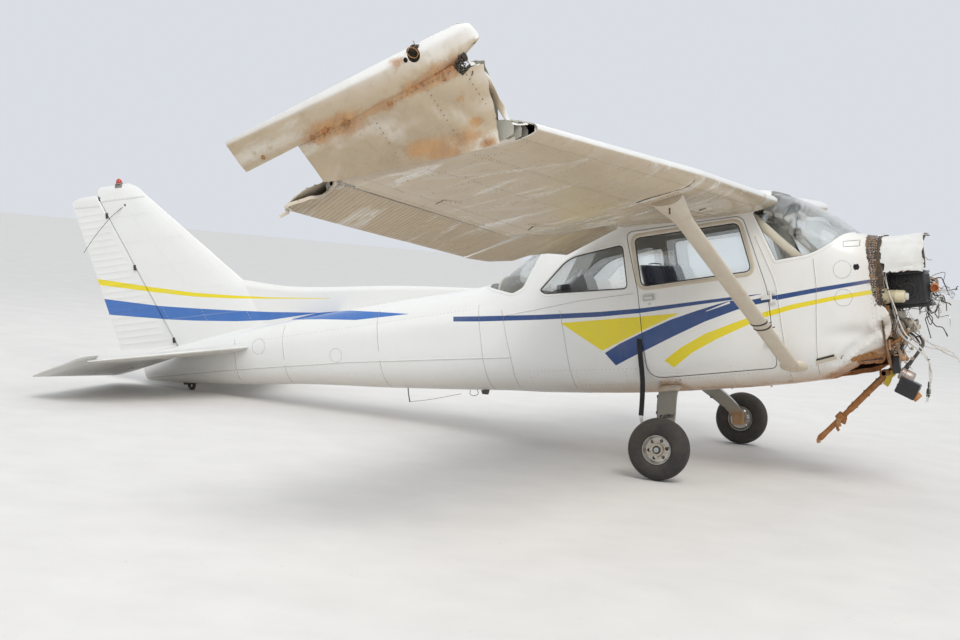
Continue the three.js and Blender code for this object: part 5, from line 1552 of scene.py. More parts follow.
@dataclass(frozen=True)
class Hull:
    """The fuselage's outer surface."""

    # x, belly z, top z, half width, waist z, lower roundness, upper roundness
    sections: tuple[tuple[float, ...], ...] = (
        (0, 365, 1345, 480, 900, 3.2, 4.5),
        (-110, 355, 1372, 492, 900, 3.4, 4.2),
        (-340, 340, 1552, 516, 905, 3.6, 3.6),
        (-540, 332, 1682, 533, 915, 3.8, 4.2),
        (-760, 325, 1770, 548, 930, 4, 7),
        (-1100, 322, 1796, 555, 940, 4, 8),
        (-1700, 338, 1788, 555, 950, 4, 8),
        (-2290, 374, 1705, 522, 950, 3.6, 6),
        (-2700, 408, 1490, 476, 930, 3.2, 3.6),
        (-3080, 448, 1305, 430, 905, 3, 3),
        (-4030, 542, 1255, 330, 905, 2.8, 2.6),
        (-4970, 645, 1200, 235, 925, 2.6, 2.4),
        (-5470, 680, 1165, 180, 930, 2.4, 2.4),
        (-6120, 745, 1085, 105, 935, 2.3, 2.3),
        (-6500, 800, 1040, 60, 930, 2.2, 2.2),
    )
    # Dents: middle x, y, z, reach along each, and depth
    dents: tuple[tuple[float, ...], ...] = (
        (-215, -490, 652, 150, 200, 60, 34), (4, -470, 700, 66, 200, 52, 24),
        (-300, -480, 560, 110, 200, 50, 12),
        (-40, 300, 420, 130, 200, 80, 22),
        (-1930, -535, 620, 210, 120, 120, 3), (-2560, -480, 760, 160, 120, 160, 4),
        (-3500, -370, 900, 230, 140, 120, 4),
        (-4400, -270, 900, 260, 120, 140, 4), (-2200, 520, 820, 220, 120, 150, 4),
        (-900, 545, 720, 160, 120, 130, 4),
        (-2900, 0, 430, 200, 200, 90, 7), (-1250, -250, 325, 220, 160, 80, 6),
        (-5600, 150, 900, 160, 120, 100, 3),
    )

    # The long fold across the nose on the right, as x and z
    fold: tuple[tuple[float, float], ...] = (
        (-338, 424), (-280, 464), (-201, 516), (-94, 586), (-22, 615), (64, 660),
    )

    def parameters(self, xs: np.ndarray) -> np.ndarray:
        """Return the section's numbers at stations along x."""
        table = np.array(self.sections, float)[::-1]
        inside = np.clip(xs, table[0, 0], table[-1, 0])
        return monotone(table[:, 0], table[:, 1:], inside)

    def surface(self, xs: np.ndarray, angles: np.ndarray, inset: float = 0.0,
                dented: bool = True) -> np.ndarray:
        """Return points of the skin.

        Args:
            xs: Stations, n of them.
            angles: Angles from the keel, positive to the left, m of them.
            inset: How far inside the outer skin.
            dented: Whether the dents are in it.

        Returns:
            An n by m grid of points.
        """
        belly, top, half, waist, low, high = (c[:, None] for c in self.parameters(xs).T)
        s, c = np.sin(angles)[None], -np.cos(angles)[None]
        power = np.where(c < 0, low, high)
        reach = (np.abs(s) ** power + np.abs(c) ** power) ** (-1 / power)
        height = np.where(c < 0, waist - belly, top - waist) - inset
        y = (half - inset) * reach * s
        z = waist + height * reach * c
        grid = np.stack([np.broadcast_to(xs[:, None], y.shape), y, z], -1)
        if not dented:
            return grid
        inward = np.stack([np.zeros_like(y), -s * np.ones_like(y), -c * np.ones_like(z)], -1)
        return grid + inward * self.dent(grid)[..., None]

    def dent(self, points: np.ndarray) -> np.ndarray:
        """Return how deep the skin is pressed in at points."""
        depth = np.zeros(points.shape[:-1])
        for *middle, rx, ry, rz, amount in self.dents:
            depth += amount * bump_at(points, middle, (rx, ry, rz))
        x, y, z = points[..., 0], points[..., 1], points[..., 2]
        buckle = smoothstep(-520, -40, x) * smoothstep(760, 470, z)
        depth += buckle * (2.6 * np.sin(x / 31 + z / 23 + y / 160) + 1.6 * np.sin(x / 17 - z / 41))
        near = smoothstep(-430, -300, x) * smoothstep(-150, -300, y)
        crease = z - np.interp(x, [p[0] for p in self.fold], [p[1] for p in self.fold])
        depth += near * 0.5 * np.clip(-crease, 0, 110)
        depth += near * 26 * (np.exp(-((np.maximum(crease, 0) - 44) / 34) ** 2) - 0.18)
        depth -= 15 * near * valley(x, z, (-84, 704), (64, 786), 20)
        depth -= 13 * near * valley(x, z, (-84, 704), (-16, 628), 15)
        quilt = 0.9 * np.sin(points[..., 0] / 118) * np.sin(points[..., 2] / 96)
        return depth + quilt * smoothstep(-200, -700, points[..., 0])

    def side_point(self, x: float, z: float, side: int, inset: float = 0.0) -> np.ndarray:
        """Return the point of the skin at a station and height on one side."""
        belly, top, half, waist, low, high = self.parameters(np.array([x]))[0]
        height = (waist - belly if z < waist else top - waist) - inset
        power = low if z < waist else high
        level = min(abs(z - waist) / height, 1.0)
        y = (half - inset) * (1 - level**power) ** (1 / power)
        point = np.array([x, side * y, z])
        angle = math.atan2(side * y / (half - inset), -(z - waist) / height)
        inward = np.array([0, -math.sin(angle), math.cos(angle)])
        return point + inward * float(self.dent(point))

    def side_line(self, path: Sequence[tuple[float, float]], side: int, step: float = 12.0,
                  lift: float = 0.0):
        """Return points and normals along a line drawn on the side.

        Args:
            path: Corners of the line as x and z.
            side: Which side of the aircraft.
            step: Distance between the points.
            lift: How far outside the skin.

        Returns:
            Points and outward unit normals.
        """
        points = []
        for (x0, z0), (x1, z1) in zip(path, path[1:]):
            count = max(1, round(math.hypot(x1 - x0, z1 - z0) / step))
            points += [(x0 + (x1 - x0) * k / count, z0 + (z1 - z0) * k / count) for k in range(count)]
        points.append(path[-1])
        base = np.array([self.side_point(x, z, side) for x, z in points])
        ahead = np.array([self.side_point(x + 4, z, side) for x, z in points]) - base
        above = np.array([self.side_point(x, z + 4, side) for x, z in points]) - base
        normals = np.cross(ahead, above) * -side
        normals *= -1.0
        normals /= np.linalg.norm(normals, axis=1)[:, None]
        flip = np.sign(normals[:, 1] * side)
        normals *= np.where(flip == 0, 1, flip)[:, None]
        return base + normals * lift, normals

    def hoop(self, x: float, start: float, end: float, count: int) -> tuple[np.ndarray, np.ndarray]:
        """Return points and normals round the fuselage at one station, between two angles."""
        angles = np.linspace(start, end, count)
        here = self.surface(np.array([x - 3, x + 3]), angles)
        round_it = np.gradient(here.mean(0), axis=0)
        along = here[1] - here[0]
        normals = np.cross(round_it, along)
        normals /= np.linalg.norm(normals, axis=1)[:, None]
        middle = here.mean(0)
        outwards = np.stack([np.zeros(count), middle[:, 1], middle[:, 2] - 900], 1)
        normals *= np.sign((normals * outwards).sum(1))[:, None]
        return middle, normals


HULL = Hull()


@dataclass(frozen=True)
class Openings:
    """Side outlines of the doors and windows, as x, z and corner radius."""

    door: Outline = field(default_factory=lambda: rounded([
        (-1728, 464, 120), (-1731, 1130, 0), (-1778, 1566, 55), (-898, 1586, 60), (-770, 1030, 60),
        (-760, 466, 50),
    ], 8))
    door_window: Outline = field(default_factory=lambda: rounded([
        (-1722, 1518, 45), (-930, 1544, 50), (-862, 1176, 60), (-1706, 1148, 55),
    ], 8))
    side_window: Outline = field(default_factory=lambda: rounded([
        (-1812, 1482, 45), (-2262, 1430, 90), (-2535, 1206, 30), (-2486, 1172, 20), (-1806, 1145, 45),
    ], 8))
    windshield: Outline = field(default_factory=lambda: rounded([
        (-70, 1385), (-200, 1370, 30), (-330, 1290, 60), (-450, 1245, 60), (-694, 1226, 12),
        (-832, 1600, 10),
        (-705, 1725), (-705, 1900), (100, 1900),
    ], 6))
    rear_window: Outline = field(default_factory=lambda: rounded([
        (-2345, 1900), (-2350, 1640), (-2472, 1520, 40), (-2668, 1232, 30), (-2770, 1195, 20),
        (-3040, 1278, 14),
        (-3060, 1900),
    ], 6))
    baggage: Outline = field(default_factory=lambda: rounded([
        (-2780, 640, 45), (-2780, 1010, 45), (-2400, 1030, 45), (-2400, 625, 45),
    ], 8))


OPEN = Openings()


def through(outline: Outline, side: int) -> Solid:
    """Return what lies inside a side outline on the right, on the left, or on both for 0."""
    low, high = {0: (-WIDE, WIDE), RIGHT: (-WIDE, -50), LEFT: (50, WIDE)}[side]
    return prism(outline, low, high)


class FuselageSkins:
    """The skins, doors and glazing of the cabin and the tail boom."""

    CABIN_WALL = 35.0
    TAIL_WALL = 10.0
    MOVING_GAP = 5.0
    CABIN_END = -3080.0
    NOSE_ZONE = -470.0

    def __init__(self, shop: Workshop, palette: Palette, rivets: Rivets) -> None:
        """Keep the tools.

        Args:
            shop: Makes the pieces.
            palette: Gives the materials.
            rivets: Sets the heads.
        """
        self.shop = shop
        self.palette = palette
        self.rivets = rivets

    def tube(
        self, start: float, end: float, step: float, outer: float, inner: float, around: int = 144,
        fine: float = 0
    ) -> Solid:
        """Return a closed wall of the fuselage between two stations and two insets, finer at the nose."""
        stations = np.array([s[0] for s in HULL.sections], float)
        xs = np.arange(end, start, step)
        xs = np.unique(np.concatenate([xs, [start, end], stations[(stations > end) & (stations < start)]]))
        keep = np.concatenate([[True], np.diff(xs) > step * 0.2])
        xs = xs[keep]
        if fine:
            xs = np.unique(np.concatenate([xs[xs < self.NOSE_ZONE], np.arange(self.NOSE_ZONE, start, fine),
                                           [start]]))
        angles = np.linspace(0, 2 * math.pi, around, endpoint=False)
        return shell(HULL.surface(xs, angles, outer), HULL.surface(xs, angles, inner))

    def rust_mask(self, points: np.ndarray) -> np.ndarray:
        """Return where the skin has rusted: the torn belly edge, the sills and round the legs."""
        x, _, z = points.T
        belly = HULL.parameters(x)[:, 0]
        top = 506 + 0.3 * (x + 195)
        nose = smoothstep(-225, -185, x) * smoothstep(top + 6, top - 22, z) * 0.72
        edge = smoothstep(62, 12, z - np.interp(x, [-420, -195, 0],
                                                [345, 436, 430])) * smoothstep(-520, -380, x)
        keel = smoothstep(belly + 62, belly + 8, z) * smoothstep(-2350, -1400, x) * 0.34
        corner = 0.7 * edge
        leg = 0.35 * bump_at(points, (-1560, -430, 380), (150, 200, 70))
        return np.clip(nose + keel + corner + leg, 0, 1)

    def grime_mask(self, points: np.ndarray) -> np.ndarray:
        """Return where dust has settled or been thrown up."""
        x, _, z = points.T
        belly = HULL.parameters(x)[:, 0]
        low = smoothstep(belly + 130, belly + 8, z) * 0.7 * (0.12 + 0.88 * smoothstep(-2700, -1900, x))
        nose = smoothstep(-260, 0, x) * 0.25
        return np.clip(low + nose, 0, 1)

    def masks(self) -> dict[str, Callable[[np.ndarray], np.ndarray]]:
        """Return the masks of the fuselage's paint."""
        return {"rust": self.rust_mask, "grime": self.grime_mask}

    def finishes(self) -> list[bpy.types.Material]:
        """Return paint outside, trim inside and grey on the cut edges."""
        return [self.palette.side_paint(), self.palette.tone(Tones.LINER.value),
                self.palette.tone(Tones.JAMB.value)]

    def cabin(self) -> None:
        """Build the cabin's skin with its openings."""
        shell_ = self.tube(0, self.CABIN_END, 34.0, 0, self.CABIN_WALL, 176, 11.0)
        torn = ragged([(60, 300), (-150, 300), (-118, 372), (-70, 392), (-52, 430), (-18, 470), (6, 560),
                       (60, 560)],
                      14, 5, 3, 3)
        corner = ragged([(60, 300), (-430, 300), (-410, 346), (-330, 372), (-195, 436), (-60, 428),
                         (60, 432)],
                        15, 5, 8, 2)
        vent = ragged([(-133 + 23 * math.cos(t), 1132 + 23 * math.sin(t))
                       for t in np.linspace(0, 2 * math.pi, 11)[:-1]],
                      9, 4, 21, 0)
        tools = [
            through(grow(OPEN.door, self.MOVING_GAP), 0), through(OPEN.side_window, 0),
            through(OPEN.windshield, 0),
            through(OPEN.rear_window, 0), through(grow(OPEN.baggage, self.MOVING_GAP), LEFT),
            prism(torn, -WIDE, WIDE),
            prism(corner, -WIDE, 120), prism(vent, -WIDE, -300),
        ]
        skin = carve(shell_, tools)
        self.shop.make("cabin_skin", skin, self.finishes(), Slot.WHITE,
                       replaces=("cabin_shell", "cabin_roof"),
                       masks=self.masks())

    def tail_boom(self) -> None:
        """Build the tail boom, open where the elevator's tube and the rudder's post pass through."""
        boom = self.tube(self.CABIN_END - 0.3, -6500, 46.0, 0, self.TAIL_WALL, 120)
        tools = [rod((-6100, -WIDE, 1000), (-6100, WIDE, 1000), 30, 24),
                 rod((-6020, 0, 680), (-6320, 0, 1420), 19, 20)]
        skin = carve(boom, tools)
        self.shop.make("tail_boom_skin", skin, self.finishes(), Slot.WHITE, replaces=("tailcone",),
                       masks=self.masks())
        rim = HULL.surface(np.array([-6502.0, -6494.0]), np.linspace(0, 2 * math.pi, 40, endpoint=False),
                           1.5)
        cap = np.concatenate([rim, HULL.surface(np.array([-6494.0]),
                                                np.linspace(0, 2 * math.pi, 40, endpoint=False), 30)])
        self.shop.make("tail_boom_end", loft(cap[::-1]), [self.palette.tone(Tones.WHITE.value)], Slot.WHITE)

    def door(self, side: int) -> None:
        """Build a door: its skin, window frame, seal, glass, hinges and handle."""
        word = "right" if side == RIGHT else "left"
        body = f"door_{word}"
        wall = self.tube(-700, -1840, 30.0, 0, self.CABIN_WALL)
        panel = carve(wall, [through(OPEN.door, side)], Carving.KEEP)
        panel = carve(panel, [through(OPEN.door_window, side)])
        self.shop.make(f"{body}_skin", panel, self.finishes(), Slot.WHITE, body, (f"door_{word}",),
                       masks=self.masks())
        for z in (660, 980):
            self.hinge(f"{body}_hinge_{z}", (-745, 562), side, z, body)
        self.pane(f"{body}_glass", OPEN.door_window, side, body, (f"door_glass_{word}",))
        self.window_frame(f"{body}_window", OPEN.door_window, side, body, 26.0)
        self.edge_strip(f"{body}_edge", grow(OPEN.door, -9), side, body, 13.0, Slot.WHITE)
        self.handle(side, body, word)

    def hinge(self, name: str, pivot: tuple[float, float], side: int, z: float, body: str) -> None:
        """Build the moving leaf of a hinge."""
        x, y = pivot[0], side * pivot[1]
        leaf = rounded([(x - 72, z - 17, 8), (x - 72, z + 17, 8), (x - 4, z + 15, 3), (x - 4, z - 15, 3)])
        ends = sorted((y - side * 9, y + side * 4))
        solid = joined([
            rod((x, y, z - 18), (x, y, z + 18), 9, 20), prism(leaf, *ends),
            *(rod((x - k, y + side * 2, z + d), (x - k, y + side * 6.5, z + d), 3.4, 8)
              for k in (24, 56) for d in (-8, 8)),
        ])
        self.shop.make(name, solid, [self.palette.tone(Tones.WHITE.value)], Slot.WHITE, body, bevel=1.2)

    def frame_hinges(self) -> None:
        """Build the fixed knuckles of all hinges."""
        solids = []
        for pivot, side, levels in (((-745, 562), RIGHT, (660, 980)), ((-745, 562), LEFT, (660, 980)),
                                    ((-2386, 522), LEFT, (720, 930))):
            x, y = pivot[0], side * pivot[1]
            for z in levels:
                for way in (RIGHT, LEFT):
                    near, far = z + way * 18.6, z + way * 45
                    ends = sorted((y - side * 34, y + side * 4))
                    low, high = sorted((near, far))
                    solids += [rod((x, y, low), (x, y, high), 9, 20),
                               block((x + 2, ends[0], low), (x + 34, ends[1], high)),
                               rod((x + 24, y + side * 2, (low + high) / 2),
                                   (x + 24, y + side * 7, (low + high) / 2), 3.6, 8)]
        self.shop.make("hinge_knuckles", joined(solids), [self.palette.tone(Tones.WHITE.value)], Slot.WHITE,
                       bevel=0.8)

    def pane(self, name: str, outline: Outline, side: int, body: str, replaces: Sequence[str]) -> None:
        """Build a curved pane that sits just inside the skin."""
        xs = [u for u, _ in outline]
        wall = self.tube(min(max(xs) + 30, 20), min(xs) - 30, 24.0, 12, 17, 160)
        glass = carve(wall, [through(grow(outline, -0.3), side)], Carving.KEEP)
        edges = np.array(dense_outline(outline, 30))

        def near_edge(points: np.ndarray) -> np.ndarray:
            """Return how dusty the pane is, which grows towards its edge."""
            gap = np.linalg.norm(points[:, None, [0, 2]] - edges[None], axis=2).min(1)
            return smoothstep(70, 8, gap) * 0.5

        self.shop.make(name, glass.all_of(Kind.OUTER), [self.palette.glass()], Slot.GLASS, body, replaces,
                       masks={"grime": near_edge})

    def strip_on_side(self, outline: Outline, side: int, width: float, height: float,
                      lift: float = 0.0) -> Solid:
        """Return a flat strip round an outline on the skin."""
        points, normals = HULL.side_line(dense_outline(outline, 14) + [outline[0]], side, 14.0, lift)
        return ribbon(points[:-1], normals[:-1], width, height, True)

    def window_frame(
        self, name: str, outline: Outline, side: int, body: str, width: float,
        paint: bpy.types.Material | None = None
    ) -> None:
        """Build the pressed frame and the rubber of a side window."""
        frame = self.strip_on_side(grow(outline, width / 2 + 4), side, width, 3.2)
        finish = paint or self.palette.tone(Tones.BEIGE.value)
        self.shop.make(f"{name}_frame", frame, [finish], Slot.WHITE, body)
        seal = self.strip_on_side(grow(outline, -3), side, 13, 3.0, -4.0)
        self.shop.make(f"{name}_seal", seal, [self.palette.tone(Tones.SEAL.value)], Slot.BLACK, body)

    def edge_strip(self, name: str, outline: Outline, side: int, body: str, width: float,
                   slot: Slot) -> None:
        """Build a raised strip that follows an outline."""
        strip = self.strip_on_side(outline, side, width, 1.1)
        self.shop.make(name, strip, [self.palette.side_paint()], slot, body)

    def handle(self, side: int, body: str, word: str) -> None:
        """Build the dished plate and paddle of a door handle."""
        skin = 556.0
        plate = rounded([(-1700, 1040, 18), (-1700, 1092, 18), (-1604, 1092, 18), (-1604, 1040, 18)], 8)
        rim = carve(prism(plate, *sorted((side * 546, side * (skin + 5)))),
                    [prism(grow(plate, -7), *sorted((side * (skin - 1), side * (skin + 9))))])
        paddle_line = rounded([(-1690, 1053, 9), (-1690, 1079, 9), (-1620, 1079, 9), (-1620, 1053, 9)], 6)
        paddle = prism(paddle_line, *sorted((side * (skin - 2), side * (skin + 9))))
        lock = rod((-1652, side * (skin - 4), 1018), (-1652, side * (skin + 3), 1018), 9, 20)
        screws = [rod((x, side * (skin - 4), z), (x, side * (skin + 6.4), z), 3, 8)
                  for x in (-1695, -1609) for z in (1046, 1086)]
        self.shop.make(f"{body}_handle", joined([rim, paddle, lock, *screws]),
                       [self.palette.tone(Tones.ALLOY.value)],
                       Slot.BRIGHT, body, (f"door_handle_{word}",), bevel=1.5)

    def baggage_door(self) -> None:
        """Build the baggage door with its hinges, handle and edge strip."""
        wall = self.tube(-2330, -2850, 30.0, 0, self.CABIN_WALL)
        panel = carve(wall, [through(OPEN.baggage, LEFT)], Carving.KEEP)
        self.shop.make("baggage_door_skin", panel, self.finishes(), Slot.WHITE, "baggage_door",
                       ("baggage_door",),
                       masks=self.masks())
        for z in (720, 930):
            self.hinge(f"baggage_hinge_{z}", (-2386, 522), LEFT, z, "baggage_door")
        self.edge_strip("baggage_door_edge", grow(OPEN.baggage, -9), LEFT, "baggage_door", 12.0, Slot.WHITE)
        y = float(HULL.side_point(-2735, 830, LEFT)[1])
        latch = joined([rod((-2735, y - 6, 830), (-2735, y + 4, 830), 17, 24),
                        rod((-2735, y + 2, 830), (-2735, y + 8, 830), 7, 12)])
        self.shop.make("baggage_door_latch", latch, [self.palette.tone(Tones.ALLOY.value)], Slot.BRIGHT,
                       "baggage_door", bevel=1)

    def glazing(self) -> None:
        """Build the fixed glazing with its frames."""
        self.pane("windshield_pane", OPEN.windshield, 0, ROOT, ("windshield",))
        self.pane("rear_window_pane", OPEN.rear_window, 0, ROOT, ("rear_window",))
        for side, word in ((RIGHT, "right"), (LEFT, "left")):
            self.pane(f"side_window_{word}_pane", OPEN.side_window, side, ROOT, (f"side_window_{word}",))
            self.window_frame(f"side_window_{word}", OPEN.side_window, side, ROOT, 13.0,
                              self.palette.side_paint())
            for label, outline in (("windshield", OPEN.windshield), ("rear_window", OPEN.rear_window)):
                shown = [p for p in dense_outline(outline, 14)
                         if p[1] < HULL.parameters(np.array([p[0]]))[0, 1] - 12]
                points, normals = self.run(shown, side)
                strip = ribbon(points, normals, 24.0, 1.6)
                self.shop.make(f"{label}_retainer_{word}", strip, [self.palette.side_paint()], Slot.WHITE)
                inner = [p for p in dense_outline(grow(outline, -8), 14)
                         if p[1] < HULL.parameters(np.array([p[0]]))[0, 1] - 16]
                points, normals = self.run(inner, side)
                seal = ribbon(points - normals * 5, normals, 14.0, 3.0)
                self.shop.make(f"{label}_seal_{word}", seal, [self.palette.tone(Tones.SEAL.value)],
                               Slot.BLACK)

    def run(self, path: Outline, side: int) -> tuple[np.ndarray, np.ndarray]:
        """Return points and normals along the longest unbroken stretch of an outline."""
        gaps = [math.dist(a, b) for a, b in zip(path, path[1:] + path[:1])]
        start = (int(np.argmax(gaps)) + 1) % len(path)
        path = path[start:] + path[:start]
        base = np.array([HULL.side_point(x, z, side) for x, z in path])
        normals = []
        for (x, z), p in zip(path, base):
            ahead = HULL.side_point(x + 4, z, side) - p
            above = HULL.side_point(x, z - 4, side) - p
            n = np.cross(ahead, above)
            n = n if n[1] * side > 0 else -n
            normals.append(n / np.linalg.norm(n))
        return base, np.array(normals)

    def seams(self) -> None:
        """Build lap joints, access plates and all rivet lines of the fuselage."""
        laps, heads, plates, dirt = [], [], [], []
        for side in (RIGHT, LEFT):
            lines = [
                [(-3082, 470), (-3082, 1150)], [(-2873, 1090), (-2853, 852), (-2836, 700), (-2836, 470)],
                [(-2374, 1040), (-2357, 810), (-2342, 420)],
                [(-424, 1225), (-420, 1033), (-466, 533), (-480, 380)],
                [(-819, 1428), (-720, 1130), (-703, 1044), (-687, 663), (-679, 382)],
                [(-5480, 1080), (-5480, 720)],
                [(-6500, 820), (-5480, 818), (-4321, 790), (-3271, 736), (-2838, 712)],
                [(-2860, 1040), (-2200, 1096), (-1770, 1106)], [(-4030, 790), (-4030, 560)],
                [(-4970, 818), (-4970, 670)],
                [(-4030, 1190), (-4030, 860)], [(-4970, 1150), (-4970, 860)],
            ]
            for line in lines:
                points, normals = HULL.side_line(line, side, 24.0)
                laps.append(ribbon(points, normals, 17.0, 0.9))
                dirt.append(ribbon(points + normals * 0.55, normals, 2.8, 0.8))
                heads.append(self.pitch(HULL.side_line(line, side, 6.0, 0.8), 26.0))
            extra = [[(-2780, 600), (-1800, 545)], [(-1800, 430), (-2300, 455)], [(-640, 450), (-60, 470)],
                     [(-660, 560), (-60, 1060)] if side == RIGHT else [(-640, 560), (-80, 560)],
                     [(-60, 520), (-40, 1290)], [(-6100, 880), (-5480, 800)],
                     [(-5480, 1040), (-3100, 1120)],
                     [(-1850, 1110), (-1850, 1500)], [(-860, 440), (-1500, 440)]]
            for line in extra[:3] + extra[4:]:
                heads.append(self.pitch(HULL.side_line(line, side, 6.0), 34.0))
            for (x, z), r in (((-229, 1124), 62), ((-238, 925), 60), ((-5223, 999), 66),
                              ((-4450, 860), 58)):
                ring = [(x + r * math.cos(t), z + r * math.sin(t)) for t in np.linspace(0, 2 * math.pi, 33)]
                points, normals = HULL.side_line(ring, side, 11.0)
                plates.append(ribbon(points[:-1], normals[:-1], 7.0, 1.3, True))
                dirt.append(ribbon(points[:-1] + normals[:-1] * 0.9, normals[:-1], 2.2, 0.8, True))
                heads.append(self.pitch((points + normals, normals), r * 0.72))
        for x in (-1100, -1500, -1900, -2290):
            heads.append(self.pitch(HULL.hoop(x, 2.35, 2 * math.pi - 2.35, 260), 34.0))
        for x in (-700, -1100, -1500, -1900, -2300, -2700, -3082, -4030, -4970):
            heads.append(self.pitch(HULL.hoop(x, -0.95, 0.95, 260), 34.0))
        paint = self.palette.side_paint()
        self.shop.make("fuselage_laps", joined(laps), [paint], Slot.WHITE, masks=self.masks())
        self.shop.make("fuselage_plates", joined(plates), [paint], Slot.WHITE)
        self.shop.make("fuselage_seam_dirt", joined(dirt), [self.palette.tone(Tones.SEAM.value)],
                       Slot.WHITE)
        self.rivets.set_along("fuselage_rivets", [h for h in heads if len(h[0])], tone=Tones.HEADS)

    @staticmethod
    def pitch(line: tuple[np.ndarray, np.ndarray], step: float) -> tuple[np.ndarray, np.ndarray]:
        """Return evenly spaced places along a line."""
        points, normals = line
        run = np.concatenate([[0], np.cumsum(np.linalg.norm(np.diff(points, axis=0), axis=1))])
        at = np.arange(step / 2, run[-1], step)
        place = np.stack([np.interp(at, run, points[:, k]) for k in range(3)], 1)
        facing = np.stack([np.interp(at, run, normals[:, k]) for k in range(3)], 1)
        return place, facing / (np.linalg.norm(facing, axis=1)[:, None] + 1e-9)

    def nose_lips(self) -> None:
        """Build the bared strip by the firewall, the torn lip beside it, and the small parts on the right."""
        bared = ragged([(9, 1400), (-64, 1400), (-62, 1300), (-50, 1160), (-44, 1000), (-38, 930),
                        (-8, 846), (9, 830)],
                       13, 6, 44, 0)
        strip = carve(self.tube(9, -90, 10.0, -2.2, 1.5, 176), [through(bared, RIGHT)], Carving.KEEP)
        self.shop.make("bared_flange", strip, [self.palette.tone(Tones.PITCH.value)], Slot.DARK,
                       masks={"rust": lambda p: 0.22 + 0 * p[:, 0]})
        draw = np.random.default_rng(31)
        heads, scraps = [], []
        for row in (-14, -33):
            places = np.array([HULL.side_point(row + draw.uniform(-4, 4), z, RIGHT)
                               for z in np.arange(880, 1330, 17.0)])
            heads.append((places + (0, -2.6, 0), np.tile((0.0, -1.0, 0.1), (len(places), 1))))
        for z in np.arange(860, 1330, 36.0):
            at = HULL.side_point(-30 + draw.uniform(-16, 22), z, RIGHT) + (0, -3, 0)
            path = spline(np.cumsum(np.vstack([at, draw.normal(0, 9, (3, 3)) * (1, 0.5, 1)]), 0), 9)
            scraps.append(ribbon(path, np.tile((0.1, -1.0, 0.15), (9, 1)), float(draw.uniform(5, 13)), 1.2))
        self.rivets.set_along("flange_rivets", heads, tone=Tones.ALLOY, slot=Slot.BRIGHT, radius=4.0,
                              height=2.0, sides=8)
        self.shop.make("flange_scraps", joined(scraps), [self.palette.tone(Tones.GREY.value)], Slot.DARK)
        lip = ragged([(-24, 872), (6, 846), (42, 818), (60, 786), (64, 700), (50, 632), (20, 600),
                      (-24, 560)], 15, 4, 9, 1)
        skin = carve(self.tube(72, -40, 7.0, -1.6, 2.4, 200), [through(lip, RIGHT)], Carving.KEEP)
        self.shop.make("torn_side_lip", skin, self.finishes(), Slot.WHITE, masks=self.masks())
        wide = grow([(-213, 1283), (-213, 1321), (-102, 1319), (-102, 1277)], 0.1)
        frame = self.strip_on_side(wide, RIGHT, 5.0, 1.6)
        slot = [(-480, 491), (-476, 505), (-352, 527), (-352, 512)]
        backing = prism([(-488, 462), (-476, 510), (-346, 532), (-338, 490)], -520, -430)
        plate = carve(backing, [self.tube(-300, -540, 20.0, -2.0, 4.0)], Carving.KEEP)
        # The slot's mouth and the disc behind the vent hole are dark sheets: painted shade inside these
        # openings.
        mouth = carve(prism(slot, -520, -430), [self.tube(-300, -540, 20.0, -3.4, 6.0)], Carving.KEEP)
        depth = prism([(-133 + 34 * math.cos(t), 1132 + 34 * math.sin(t))
                       for t in np.linspace(0, 2 * math.pi, 13)[:-1]],
                      -468, -462)
        dark = self.palette.tone(Tones.PITCH.value)
        self.shop.make("nose_plate_frame", frame, [self.palette.tone(Tones.SEAM.value)], Slot.DARK)
        self.shop.make("nose_slot", joined([mouth, depth]), [dark], Slot.DARK)
        self.shop.make("nose_slot_plate", plate, [self.palette.tone(Tones.BEIGE.value)], Slot.WHITE)

    def build(self) -> None:
        """Build everything."""
        self.cabin()
        self.nose_lips()
        self.tail_boom()
        for side in (RIGHT, LEFT):
            self.door(side)
        self.baggage_door()
        self.frame_hinges()
        self.glazing()
        self.seams()


# Wings


def half_thickness(f: np.ndarray | float) -> np.ndarray | float:
    """Return the section's half thickness at a part of the chord, against the chord."""
    return 0.6 * (0.2969 * np.sqrt(f) - 0.126 * f - 0.3516 * f**2 + 0.2843 * f**3 - 0.1036 * f**4)


def camber_line(f: np.ndarray | float) -> np.ndarray | float:
    """Return the height of the section's middle line at a part of the chord."""
    return np.where(np.asarray(f) < 0.4, 0.125 * (0.8 * f - f * f), 0.0556 * (0.2 + 0.8 * f - f * f))


WING_REAR = 0.71
AILERON_AT = 0.77
RIGHT_ROWS = (
    (440, -650, 1671, 1626, 1.5), (1000, -650, 1690, 1626, 2), (1400, -650, 1703, 1626, 4),
    (1750, -650, 1714, 1626, 7), (2200, -650, 1729, 1626, 9), (2600, -653, 1742, 1615, 10),
    (3600, -737, 1788, 1434, 10), (5460, -895, 1873, 1097, 10),
)
LEFT_ROWS = ((440, -650, 1671, 1626, 1.5), (1200, -650, 1694, 1626, 1.5), (1900, -650, 1716, 1626, 1.5))
OUTER_ROWS = ((4700, -831, 1838, 1235, 10, 0), (5390, -846, 1878, 1166, 10, 5.2))
CAP_ROWS = (
    (5399.6, -945, 1860, 1214, 10, 5.2, 0.94), (5440, -822, 1884, 1354, 10, 5.3, 0.88),
    (5510, -830, 1887, 1349, 10, 6.4, 0.62), (5545, -880, 1882, 1288, 10, 6, 0.2),
)
RIGHT_FLAP = ((590, 0.71, 20, 104), (1000, 0.71, 20, 104), (1400, 0.71, 19, 104), (1750, 0.71, 18, 104),
              (2200, 0.71, 16, 104), (2592, 0.71, 13, 102))
LEFT_FLAP = ((590, 0.71, 20, 104), (1850, 0.71, 20, 104))
RIGHT_AILERON = ((2628, 0.77, 14, 82), (3600, 0.77, 18, 74), (4600, 0.77, 24, 64), (5060, 0.77, 27, 60),
                 (5440, 0.77, 29, 56))


